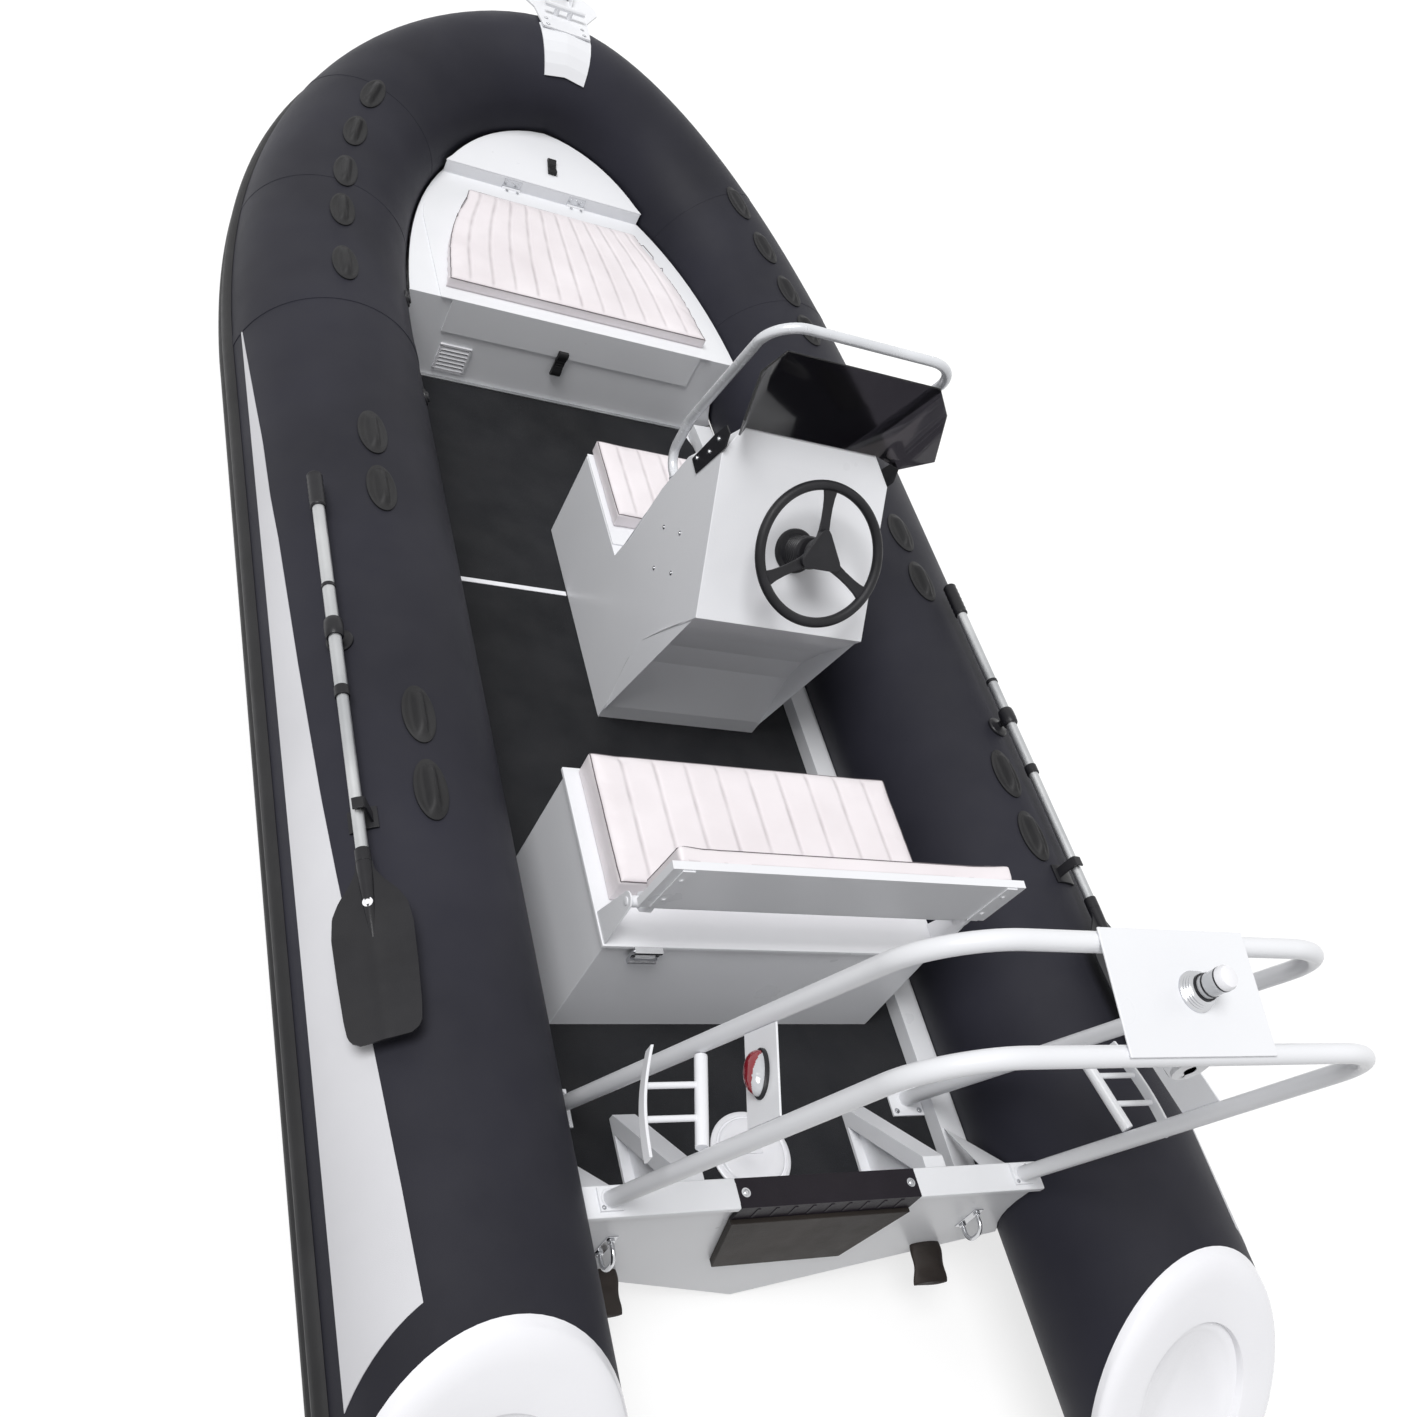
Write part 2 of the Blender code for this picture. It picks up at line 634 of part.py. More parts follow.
# Transom: the thick stern board, notched for the motor pad, with the motor board and the two knees
TRANSOM_THICKNESS = 0.045
TRANSOM_TOP = 0.246
SHOULDER_RISE = 0.016
MOTOR_PAD_HALF = 0.219
MOTOR_PAD_WALL = 0.009
MOTOR_PAD_SKIRT = 0.055
MOTOR_BOARD_THICKNESS = 0.018
MOTOR_BOARD_LOW = 0.012
MOTOR_BOARD_LOW_HALF = 0.160
shoulder_top = TRANSOM_TOP + SHOULDER_RISE
top_angle = pi - asin((shoulder_top - TUBE_HEIGHT) / (TUBE_RADIUS + SEAM))
transom_low_angle = CHINE_ANGLE - radians(4)
right = [Vector((0, 0, -HULL_DEPTH)), Vector((chine_start.x, 0, chine_start.z))]
for k in range(7):
    skin = on_tube(0, transom_low_angle + (top_angle - transom_low_angle) * k / 6, SEAM, STARBOARD)
    right.append(Vector((skin.x, 0, skin.z)))
right.append(Vector((MOTOR_PAD_HALF + GAP, 0, shoulder_top)))
right.append(Vector((MOTOR_PAD_HALF + GAP, 0, TRANSOM_TOP)))
outline = right + list(reversed(mirrored(right[1:])))
bm = bmesh.new()
add_prism(bm, outline, (0, -TRANSOM_THICKNESS, 0))
finish_mesh("transom", bm, WHITE_PAINT)

pad_top = shoulder_top
pad_low = pad_top - MOTOR_PAD_SKIRT
aft = -TRANSOM_THICKNESS
outline = [(aft - MOTOR_PAD_WALL, pad_low), (aft - MOTOR_PAD_WALL, pad_top),
           (MOTOR_PAD_WALL, pad_top), (MOTOR_PAD_WALL, pad_low),
           (GAP, pad_low), (GAP, TRANSOM_TOP + GAP), (aft - GAP, TRANSOM_TOP + GAP), (aft - GAP, pad_low)]
bm = bmesh.new()
add_prism(bm, [(-MOTOR_PAD_HALF, y, z) for y, z in outline], (2 * MOTOR_PAD_HALF, 0, 0))
finish_mesh("motor_pad", bm, BLACK_PLASTIC)

board_top = pad_low - GAP
outline = [(-MOTOR_PAD_HALF, board_top), (MOTOR_PAD_HALF, board_top),
           (MOTOR_BOARD_LOW_HALF, -MOTOR_BOARD_LOW), (-MOTOR_BOARD_LOW_HALF, -MOTOR_BOARD_LOW)]
bm = bmesh.new()
add_prism(bm, [(x, aft - GAP, z) for x, z in outline], (0, -MOTOR_BOARD_THICKNESS, 0))
finish_mesh("motor_board", bm, BROWN_BOARD)

KNEE_X = 0.300
KNEE_LENGTH = 0.275
KNEE_HEIGHT = 0.238
KNEE_WIDTH = 0.055
KNEE_WEB = 0.006
KNEE_RIM = 0.010
KNEE_TOE = 0.018
KNEE_HEAD = 0.045
knee_side = [(GAP, GAP), (KNEE_LENGTH, GAP), (KNEE_LENGTH, GAP + KNEE_TOE), (KNEE_HEAD, KNEE_HEIGHT),
             (GAP, KNEE_HEIGHT)]
knee_pocket = [(KNEE_RIM, KNEE_RIM), (KNEE_LENGTH - KNEE_HEAD, KNEE_RIM),
               (KNEE_HEAD - KNEE_RIM, KNEE_HEIGHT - KNEE_HEAD), (KNEE_RIM, KNEE_HEIGHT - KNEE_HEAD)]
for side, word in SIDE_WORDS:
    start = side * KNEE_X - KNEE_WIDTH / 2
    bm = bmesh.new()
    add_prism(bm, [(start, y, z) for y, z in knee_side], (KNEE_WIDTH, 0, 0))
    knee = finish_mesh("transom_knee_" + word, bm, WHITE_PAINT)
    depth = (KNEE_WIDTH - KNEE_WEB) / 2
    bm = bmesh.new()
    for low in (start - OVERRUN, start + KNEE_WIDTH - depth):
        add_prism(bm, [(low, y, z) for y, z in knee_pocket], (depth + OVERRUN, 0, 0))
    pockets = finish_mesh("knee_pocket_cutter_" + word, bm, None, cutter=True)
    boolean(knee, pockets, "DIFFERENCE")

# Towing eyes: U bolts on the stern face
EYE_INSET = 0.059
EYE_X = DECK_HALF_WIDTH - EYE_INSET
EYE_HEIGHT = 0.105
EYE_SPREAD = 0.060
EYE_BEND = 0.024
EYE_REACH = 0.045
EYE_ROD = 0.005
for side, word in SIDE_WORDS:
    corners = [(side * EYE_X, aft - GAP, EYE_HEIGHT + EYE_SPREAD / 2),
               (side * EYE_X, aft - EYE_REACH, EYE_HEIGHT + EYE_SPREAD / 2),
               (side * EYE_X, aft - EYE_REACH, EYE_HEIGHT - EYE_SPREAD / 2),
               (side * EYE_X, aft - GAP, EYE_HEIGHT - EYE_SPREAD / 2)]
    pipe("towing_eye_" + word, bent_path(corners, EYE_BEND, 4), EYE_ROD, STAINLESS, resolution=2)

# Drain hatch: a low round cover on the deck ahead of the motor well
HATCH_RADIUS = 0.100
HATCH_STATION = 0.180
HATCH_THICKNESS = 0.012
bm = bmesh.new()
add_rod(bm, (0, HATCH_STATION, GAP), (0, HATCH_STATION, HATCH_THICKNESS), HATCH_RADIUS, sides=32,
        end_radius=HATCH_RADIUS - HATCH_THICKNESS / 2)
finish_mesh("drain_hatch", bm, WHITE_MOULDING, smooth=radians(40))

# Bow locker: front panel, top sheet and step face, welded into one piece, with its openings cut through
LOCKER_TOP = 0.287
STEP_SETBACK = 0.393
STEP_STATION = BOW_CENTRE - STEP_SETBACK
STEP_HEIGHT = 0.040
LOCKER_CLEARANCE = 0.008
LOCKER_END_REACH = 0.095
LOCKER_END = STEP_STATION + LOCKER_END_REACH
FACE_LOW_ANGLE = CHINE_ANGLE - radians(6)
FACE_HIGH_ANGLE = radians(156)
BOW_CUSHION_INSET = 0.069
BOW_CUSHION_HALF = DECK_HALF_WIDTH - BOW_CUSHION_INSET
LOCKER_OPENING_INSET = 0.100
LOCKER_OPENING_HALF = BOW_CUSHION_HALF - LOCKER_OPENING_INSET
LOCKER_OPENING_SETBACK = 0.067
LOCKER_OPENING_START = LOCKER_FRONT + LOCKER_OPENING_SETBACK
LOCKER_OPENING_CLEARANCE = 0.205
LOCKER_OPENING_END = STEP_STATION - LOCKER_OPENING_CLEARANCE
FACE_OPENING_INSET = 0.060
LOCKER_FACE_OPENING_HALF = BOW_CUSHION_HALF - FACE_OPENING_INSET
LOCKER_FACE_OPENING_LOW = 0.190
WELL_HALF = 0.130
WELL_CLEARANCE = 0.025
WELL_LENGTH = 0.055
WELL_START = STEP_STATION + WELL_CLEARANCE
WELL_END = WELL_START + WELL_LENGTH
SEARCH_STEPS = 800


def first_station(y, height):
    """The station where the tube's inboard edge at a height reaches a distance forward."""
    stations = [TUBE_END * k / SEARCH_STEPS for k in range(SEARCH_STEPS + 1)]
    return next(station for station in stations if inner_edge(station, height, 0).y >= y)


def sheet_outline(start, end, height, clearance, count, rise=0.0):
    """A sheet's outline between the tubes, from a start line to an end line or to the bow, with any rise."""
    first = first_station(start, height)
    last = TUBE_END if end is None else first_station(end, height)
    right = []
    for k in range(count + 1):
        edge = inner_edge(first + (last - first) * k / count, height + rise * k / count, clearance)
        right.append(edge)
    right[0].y = start
    if end is not None:
        right[-1].y = end
        return right + list(reversed(mirrored(right)))
    right[-1].x = 0
    return right + list(reversed(mirrored(right[:-1])))


sheet_low = LOCKER_TOP - SHEET
bm = bmesh.new()
add_prism(bm, sheet_outline(LOCKER_FRONT, LOCKER_END, sheet_low, LOCKER_CLEARANCE, 14), (0, 0, SHEET))
bow_locker = finish_mesh("bow_locker", bm, WHITE_PAINT)

face_station = first_station(LOCKER_FRONT, TUBE_HEIGHT)
face_floor = hull_half_width(LOCKER_FRONT + SHEET, GAP) - DECK_CLEARANCE
right = [Vector((face_floor, LOCKER_FRONT, GAP))]
for k in range(7):
    angle = FACE_LOW_ANGLE + (FACE_HIGH_ANGLE - FACE_LOW_ANGLE) * k / 6
    skin = on_tube(face_station, angle, LOCKER_CLEARANCE, STARBOARD)
    right.append(Vector((skin.x, LOCKER_FRONT, min(skin.z, sheet_low + SHEET / 2))))
bm = bmesh.new()
add_prism(bm, right + list(reversed(mirrored(right))), (0, SHEET, 0))
step_edge = inner_edge(first_station(STEP_STATION, LOCKER_TOP), LOCKER_TOP + STEP_HEIGHT, LOCKER_CLEARANCE)
step_half = step_edge.x - LOCKER_CLEARANCE
step_low = LOCKER_TOP - SHEET / 2
add_box(bm, (-step_half, STEP_STATION, step_low), (step_half, STEP_STATION + SHEET, LOCKER_TOP + STEP_HEIGHT))
locker_panels = finish_mesh("locker_panels", bm, None, cutter=True)
boolean(bow_locker, locker_panels, "UNION")

bm = bmesh.new()
add_box(bm, (-LOCKER_OPENING_HALF, LOCKER_OPENING_START, sheet_low - OVERRUN),
        (LOCKER_OPENING_HALF, LOCKER_OPENING_END, LOCKER_TOP + OVERRUN))
add_box(bm, (-LOCKER_FACE_OPENING_HALF, LOCKER_FRONT - OVERRUN, LOCKER_FACE_OPENING_LOW),
        (LOCKER_FACE_OPENING_HALF, LOCKER_FRONT + OVERRUN, sheet_low - SHEET))
add_box(bm, (-WELL_HALF, WELL_START, sheet_low - OVERRUN), (WELL_HALF, WELL_END, LOCKER_TOP + OVERRUN))
locker_cutter = finish_mesh("locker_opening_cutter", bm, None, cutter=True)
boolean(bow_locker, locker_cutter, "DIFFERENCE")

# Bow locker's lid: a sheet under the cushion with a folded apron, hinged along the step
LID_CLEARANCE = 0.012
LID_HALF = BOW_CUSHION_HALF + LID_CLEARANCE
APRON_INSET = 0.037
APRON_HALF = LID_HALF - APRON_INSET
APRON_LOW = 0.172
HINGE_ROD = 0.005
BOW_LID_HINGE = (0, STEP_STATION - HINGE_ROD - SEAM, LOCKER_TOP + HINGE_ROD + GAP)
BOW_LID_END = BOW_LID_HINGE[1] - HINGE_ROD - SEAM
lid_low = LOCKER_TOP + GAP
apron_back = LOCKER_FRONT - SEAM
lid_outline = sheet_outline(LOCKER_FRONT, BOW_LID_END, lid_low, LID_CLEARANCE + 2 * SHEET, 9)
lid_outline = [Vector((max(-LID_HALF, min(LID_HALF, p.x)), p.y, p.z)) for p in lid_outline]
lid_outline[0].y = lid_outline[-1].y = apron_back - SHEET
bm = bmesh.new()
add_prism(bm, lid_outline, (0, 0, SHEET))
bow_locker_lid = finish_mesh("bow_locker_lid", bm, WHITE_PAINT, pivot=BOW_LID_HINGE)
bm = bmesh.new()
add_box(bm, (-APRON_HALF, apron_back - SHEET, APRON_LOW), (APRON_HALF, apron_back, lid_low + SHEET / 2))
lid_apron = finish_mesh("lid_apron", bm, None, cutter=True)
boolean(bow_locker_lid, lid_apron, "UNION")
HINGE_HALF = 0.030
HINGE_LEAF_LENGTH = 0.024
HINGE_SPACING = 0.115
leaves = bmesh.new()
knuckles = bmesh.new()
axis_y, axis_z = BOW_LID_HINGE[1], BOW_LID_HINGE[2]
for x in (-HINGE_SPACING, HINGE_SPACING):
    add_box(leaves, (x - HINGE_HALF, axis_y - HINGE_LEAF_LENGTH, lid_low + GAP),
            (x + HINGE_HALF, axis_y, lid_low + SHEET + GAP))
    knuckle_half = Vector((HINGE_HALF + GAP, 0, 0))
    spot = Vector((x, axis_y, axis_z))
    add_rod(knuckles, spot - knuckle_half, spot + knuckle_half, HINGE_ROD, sides=8)
hinge_leaves = finish_mesh("lid_hinge_leaves", leaves, None, cutter=True)
hinge_knuckles = finish_mesh("lid_hinge_knuckles", knuckles, None, cutter=True)
boolean(bow_locker_lid, hinge_leaves, "UNION")
boolean(bow_locker_lid, hinge_knuckles, "UNION")

BOW_CUSHION_SETBACK = 0.037
BOW_CUSHION_START = LOCKER_FRONT + BOW_CUSHION_SETBACK
BOW_CUSHION_LENGTH = 0.540
BOW_CUSHION_THICKNESS = 0.040
CUSHION_CROWN = 0.006
CUSHION_GROOVE = 0.004
CUSHION_TUCK = 0.004
bow_half_shares = (1.00, 0.98, 0.963, 0.945, 0.916, 0.88, 0.835, 0.78, 0.72, 0.68)


def bow_half(share):
    place = share * (len(bow_half_shares) - 1)
    k = min(int(place), len(bow_half_shares) - 2)
    near, far = bow_half_shares[k], bow_half_shares[k + 1]
    return BOW_CUSHION_HALF * (near + (far - near) * (place - k))


cushion_base = lid_low + SHEET + GAP
cushion("bow_cushion", bow_half, BOW_CUSHION_LENGTH, BOW_CUSHION_THICKNESS,
        Matrix.Translation((0, BOW_CUSHION_START, cushion_base)), pivot=BOW_LID_HINGE,
        columns=24, rows=9, channels=12, crown=CUSHION_CROWN, groove=CUSHION_GROOVE, tuck=CUSHION_TUCK)

# Anchor lid: a sheet that slopes up from the step to the bow tube, hinged along its aft edge
ANCHOR_RISE = 0.072
ANCHOR_CLEARANCE = 0.014
ANCHOR_HINGE = (0, STEP_STATION + SHEET / 2, LOCKER_TOP + STEP_HEIGHT + SHEET / 2 + GAP)
anchor_start = STEP_STATION + SHEET / 4
anchor_low = LOCKER_TOP + STEP_HEIGHT + GAP
anchor_front = inner_edge(TUBE_END, LOCKER_TOP + STEP_HEIGHT + ANCHOR_RISE, ANCHOR_CLEARANCE).y
anchor_slope = ANCHOR_RISE / (anchor_front - anchor_start)
outline = sheet_outline(anchor_start, None, anchor_low, ANCHOR_CLEARANCE, 12, rise=ANCHOR_RISE)
outline = [Vector((p.x, p.y, anchor_low + (p.y - anchor_start) * anchor_slope)) for p in outline]
bm = bmesh.new()
add_prism(bm, outline, (0, 0, SHEET))
finish_mesh("anchor_lid", bm, WHITE_PAINT, pivot=ANCHOR_HINGE)

# Toggle latches: rubber straps, each turning about a pin on the lid that it holds down
LATCH_THICKNESS = 0.014
latch_side_shares = ((0, 0), (1, 0), (1, 0.7), (0.8, 1), (0.45, 0.65), (0.2, 1), (0, 1))


def latch(name, foot, run, rise, length, half):
    """A black toggle from its pin at the foot: run is the strap's direction and rise points off the panel."""
    corner = Vector(foot) - Vector((half, 0, 0))
    bm = bmesh.new()
    add_prism(bm, [corner + run * (length * along) + rise * (LATCH_THICKNESS * height)
                   for along, height in latch_side_shares], (2 * half, 0, 0))
    made = finish_mesh(name, bm, BLACK_RUBBER, pivot=foot)
    bevel(made, LATCH_THICKNESS / 8, segments=1)


DOWNWARD = Vector((0, 0, -1))
AFTWARD = Vector((0, -1, 0))
BOW_LATCH_X = -0.025
BOW_LATCH_PIN = 0.198
BOW_LATCH_LENGTH = 0.090
BOW_LATCH_HALF = 0.016
bow_latch_foot = (BOW_LATCH_X, apron_back - SHEET - GAP, BOW_LATCH_PIN)
latch("bow_latch", bow_latch_foot, DOWNWARD, AFTWARD, BOW_LATCH_LENGTH, BOW_LATCH_HALF)

ANCHOR_LATCH_X = 0.020
ANCHOR_LATCH_SETBACK = 0.055
ANCHOR_LATCH_START = STEP_STATION + ANCHOR_LATCH_SETBACK
ANCHOR_LATCH_LENGTH = 0.060
ANCHOR_LATCH_HALF = 0.014
slope_length = sqrt(1 + anchor_slope ** 2)
run = Vector((0, 1 / slope_length, anchor_slope / slope_length))
rise = Vector((0, -anchor_slope / slope_length, 1 / slope_length))
anchor_latch_foot = (ANCHOR_LATCH_X, ANCHOR_LATCH_START,
                     anchor_low + SHEET + GAP * 2 + (ANCHOR_LATCH_START - anchor_start) * anchor_slope)
latch("anchor_latch", anchor_latch_foot, run, rise, ANCHOR_LATCH_LENGTH, ANCHOR_LATCH_HALF)

# Console: a folded sheet box, open below, with a seat locker forward and a sloping dash aft
CONSOLE_X = 0.130
CONSOLE_HALF = 0.239
CONSOLE_AFT = 1.290
CONSOLE_LENGTH = 0.865
CONSOLE_HEIGHT = 0.897
BROW_HALF = 0.190
console_side_shares = (
    (0.168, 0.000), (0.163, 0.057), (0.176, 0.254), (0.160, 0.345), (0.112, 0.440), (0.050, 0.530),
    (0.000, 0.613), (0.303, 0.942), (0.361, 1.000), (0.447, 0.802), (0.489, 0.645), (0.503, 0.530),
    (0.519, 0.412), (0.543, 0.321), (1.000, 0.321), (0.990, 0.000),
)
BROW_POINT = 8


def console_point(k, half):
    y, z = console_side_shares[k]
    return Vector((CONSOLE_X + half, CONSOLE_AFT + CONSOLE_LENGTH * y, GAP + CONSOLE_HEIGHT * z))


bm = bmesh.new()
console_points = range(len(console_side_shares))
halves = [BROW_HALF if k == BROW_POINT else CONSOLE_HALF for k in console_points]
left = [bm.verts.new(console_point(k, -half)) for k, half in enumerate(halves)]
right = [bm.verts.new(console_point(k, half)) for k, half in enumerate(halves)]
for k in list(console_points)[:-1]:
    bm.faces.new((left[k], right[k], right[k + 1], left[k + 1]))
for row in (left, right):
    bm.faces.new([vertex for k, vertex in enumerate(row) if k != BROW_POINT])
    bm.faces.new((row[BROW_POINT - 1], row[BROW_POINT], row[BROW_POINT + 1]))
bmesh.ops.triangulate(bm, faces=[face for face in bm.faces if len(face.verts) > 4])
console_inside = Vector((CONSOLE_X, CONSOLE_AFT + CONSOLE_LENGTH / 3, CONSOLE_HEIGHT / 2))
console_shell = finish_shell("console_shell", bm, WHITE_PAINT, SHEET, console_inside)

SEAT_OPENING_HALF = 0.190
seat_top = GAP + CONSOLE_HEIGHT * console_side_shares[14][1]
console_notch = CONSOLE_AFT + CONSOLE_LENGTH * console_side_shares[13][0]
console_front = CONSOLE_AFT + CONSOLE_LENGTH
SEAT_OPENING_INSET = 0.050
bm = bmesh.new()
add_box(bm, (CONSOLE_X - SEAT_OPENING_HALF, console_notch + 2 * SEAT_OPENING_INSET, seat_top - OVERRUN),
        (CONSOLE_X + SEAT_OPENING_HALF, console_front - SEAT_OPENING_INSET, seat_top + OVERRUN))
seat_opening_cutter = finish_mesh("console_seat_opening_cutter", bm, None, cutter=True)
boolean(console_shell, seat_opening_cutter, "DIFFERENCE")

# Console seat: a lid with a sewn cushion, hinged behind it
CONSOLE_LID_INSET = 0.040
CONSOLE_CUSHION_START = 1.860
CONSOLE_CUSHION_LENGTH = 0.320
CONSOLE_CUSHION_THICKNESS = 0.048
console_lid_aft = console_notch + CONSOLE_LID_INSET
CONSOLE_LID_HINGE = (CONSOLE_X, console_lid_aft, seat_top + SHEET / 2 + GAP)
lid_half = CONSOLE_HALF - SEAM
bm = bmesh.new()
add_box(bm, (CONSOLE_X - lid_half, console_lid_aft, seat_top + GAP),
        (CONSOLE_X + lid_half, console_front + SHEET, seat_top + GAP + SHEET))
finish_mesh("console_seat_lid", bm, WHITE_PAINT, pivot=CONSOLE_LID_HINGE)
cushion("console_cushion", lambda share: lid_half - SHEET, CONSOLE_CUSHION_LENGTH, CONSOLE_CUSHION_THICKNESS,
        Matrix.Translation((CONSOLE_X, CONSOLE_CUSHION_START, seat_top + SHEET + 2 * GAP)),
        pivot=CONSOLE_LID_HINGE, columns=18, rows=8, channels=7, crown=CUSHION_CROWN, groove=CUSHION_GROOVE,
        tuck=CUSHION_TUCK)

# Helm: a boss on the dash, square to it, and the wheel that turns on it
HELM_SHARE = 0.50
HELM_FLANGE_RADIUS = 0.055
HELM_FLANGE = 0.010
HELM_BOSS_RADIUS = 0.040
HELM_BOSS = 0.075
HELM_NECK_RADIUS = 0.018
HELM_NECK = 0.022
WHEEL_RADIUS = 0.164
WHEEL_ROD = 0.0125
WHEEL_HUB_RADIUS = 0.036
WHEEL_HUB_HALF = 0.016
WHEEL_SPOKE_THICKNESS = 0.008
dash_low = console_point(6, 0)
dash_high = console_point(7, 0)
dash_run = (dash_high - dash_low).normalized()
dash_normal = Vector((0, -dash_run.z, dash_run.y))
helm_foot = dash_low + (dash_high - dash_low) * HELM_SHARE + dash_normal * GAP
helm_place = facing(helm_foot, dash_normal)
helm_top = HELM_FLANGE + HELM_BOSS + HELM_NECK
turned("helm", [(0, helm_top), (HELM_NECK_RADIUS, helm_top), (HELM_NECK_RADIUS, HELM_FLANGE + HELM_BOSS),
                (HELM_BOSS_RADIUS, HELM_FLANGE + HELM_BOSS), (HELM_BOSS_RADIUS, HELM_FLANGE),
                (HELM_FLANGE_RADIUS, HELM_FLANGE), (HELM_FLANGE_RADIUS, 0), (0, 0)],
       helm_place, BLACK_PLASTIC)
wheel_centre = helm_foot + dash_normal * (helm_top + GAP + WHEEL_HUB_HALF)
wheel_place = Matrix((
    (1, dash_run.x, dash_normal.x, wheel_centre.x), (0, dash_run.y, dash_normal.y, wheel_centre.y),
    (0, dash_run.z, dash_normal.z, wheel_centre.z), (0, 0, 0, 1)))
spoke_half_shares = ((0.20, 0.098), (0.45, 0.070), (0.80, 0.080), (1.00, 0.120))
spoke_angles = [radians(a) for a in (90, 210, 330)]
bm = bmesh.new()
for angle in spoke_angles:
    outline = [(share * WHEEL_RADIUS, half * WHEEL_RADIUS) for share, half in spoke_half_shares]
    outline += [(x, -y) for x, y in reversed(outline)]
    turn = Matrix.Rotation(angle, 4, "Z")
    add_prism(bm, [wheel_place @ turn @ Vector((x, y, -WHEEL_SPOKE_THICKNESS / 2)) for x, y in outline],
              wheel_place.to_3x3() @ Vector((0, 0, WHEEL_SPOKE_THICKNESS)))
wheel_spokes = finish_mesh("wheel_spokes", bm, None, cutter=True)
bpy.ops.mesh.primitive_torus_add(major_radius=WHEEL_RADIUS, minor_radius=WHEEL_ROD, major_segments=36,
                                 minor_segments=10)
wheel_rim = bpy.context.object
wheel_rim.name = "wheel_rim"
for owner in list(wheel_rim.users_collection):
    owner.objects.unlink(wheel_rim)
cutter_collection.objects.link(wheel_rim)
wheel_rim.hide_render = True
wheel_rim.display_type = "WIRE"
wheel_rim.parent = boat
wheel_rim.matrix_local = wheel_place
steering_wheel = turned("steering_wheel", [(0, WHEEL_HUB_HALF), (WHEEL_HUB_RADIUS, WHEEL_HUB_HALF * 0.6),
                                           (WHEEL_HUB_RADIUS, -WHEEL_HUB_HALF), (0, -WHEEL_HUB_HALF)],
                        wheel_place, BLACK_PLASTIC)
boolean(steering_wheel, wheel_spokes, "UNION")
boolean(steering_wheel, wheel_rim, "UNION")

# Windscreen: a smoked sheet in three facets that stands on the brow, held by two black side brackets
SCREEN_THICKNESS = 0.005
SCREEN_HEIGHT = 0.255
SCREEN_LEAN = 0.035
SCREEN_TOP_HALF = 0.215
WING_TOP_HALF = 0.263
WING_MID_HALF = 0.271
WING_LOW_HALF = 0.231
wing_aft_shares = (0.78, 0.37, 0.06)
WING_REACH_TOP = 0.029
WING_REACH_MID = 0.095
WING_REACH_LOW = 0.057
brow = console_point(BROW_POINT, 0)
screen_foot = Vector((CONSOLE_X, brow.y, brow.z + SEAM / 2))


def screen_point(half, share, reach):
    """A point of the screen: half width, share of its height and distance aft of the centre facet."""
    return screen_foot + Vector((half, -SCREEN_LEAN * share - reach, SCREEN_HEIGHT * share))


bm = bmesh.new()
facets = []
for side in SIDES:
    low = bm.verts.new(screen_point(side * BROW_HALF, 0, 0))
    high = bm.verts.new(screen_point(side * SCREEN_TOP_HALF, 1, 0))
    wing = [bm.verts.new(screen_point(side * half, share, reach)) for half, share, reach in (
        (WING_TOP_HALF, wing_aft_shares[0], WING_REACH_TOP),
        (WING_MID_HALF, wing_aft_shares[1], WING_REACH_MID),
        (WING_LOW_HALF, wing_aft_shares[2], WING_REACH_LOW))]
    facets.append((low, high))
    bm.faces.new((low, high, wing[0]))
    bm.faces.new((low, wing[0], wing[1]))
    bm.faces.new((low, wing[1], wing[2]))
bm.faces.new((facets[0][0], facets[0][1], facets[1][1], facets[1][0]))
bmesh.ops.recalc_face_normals(bm, faces=bm.faces)
screen_mesh = bpy.data.meshes.new("windscreen")
bm.to_mesh(screen_mesh)
bm.free()
windscreen = bpy.data.objects.new("windscreen", screen_mesh)
windscreen.parent = boat
boat_collection.objects.link(windscreen)
screen_mesh.materials.append(SMOKED_SCREEN)
solidify(windscreen, SCREEN_THICKNESS, offset=0)

bracket_shares = (
    (0.418, 0.820), (0.362, 0.815), (0.297, 0.968), (0.312, 1.004), (0.345, 1.004), (0.372, 0.955),
)
for side, word in SIDE_WORDS:
    start = CONSOLE_X + side * (CONSOLE_HALF + GAP)
    outline = [(start, CONSOLE_AFT + CONSOLE_LENGTH * y, CONSOLE_HEIGHT * z) for y, z in bracket_shares]
    bm = bmesh.new()
    add_prism(bm, outline, (side * SHEET, 0, 0))
    finish_mesh("screen_bracket_" + word, bm, BLACK_PLASTIC)

# Console rail: a bent tube from the console's front face, up round the screen
RAIL_RADIUS = 0.0125
RAIL_HALF_LOW = 0.222
RAIL_HALF_TOP = 0.262
RAIL_FOOT_HEIGHT = 0.622
RAIL_REACH = 0.075
RAIL_TOP_HEIGHT = 1.200
RAIL_TOP_AFT = 0.110
RAIL_BEND = 0.050
RAIL_TOP_BEND = 0.085
front_low = console_point(10, 0)
front_high = console_point(9, 0)
front_share = (RAIL_FOOT_HEIGHT - front_low.z) / (front_high.z - front_low.z)
front_lean = (front_low.y - front_high.y) / (front_high.z - front_low.z)
rail_foot_y = front_low.y + (front_high.y - front_low.y) * front_share + GAP + RAIL_RADIUS * front_lean
rail_corners = [
    Vector((RAIL_HALF_LOW, rail_foot_y, RAIL_FOOT_HEIGHT)),
    Vector((RAIL_HALF_LOW, rail_foot_y + RAIL_REACH, RAIL_FOOT_HEIGHT)),
    Vector((RAIL_HALF_LOW + (RAIL_HALF_TOP - RAIL_HALF_LOW) / 4, rail_foot_y + RAIL_REACH * 0.8,
            RAIL_FOOT_HEIGHT + (RAIL_TOP_HEIGHT - RAIL_FOOT_HEIGHT) / 4)),
    Vector((RAIL_HALF_TOP, rail_foot_y - RAIL_TOP_AFT, RAIL_TOP_HEIGHT)),
]
rail_right = bent_path(rail_corners, RAIL_BEND, 4)
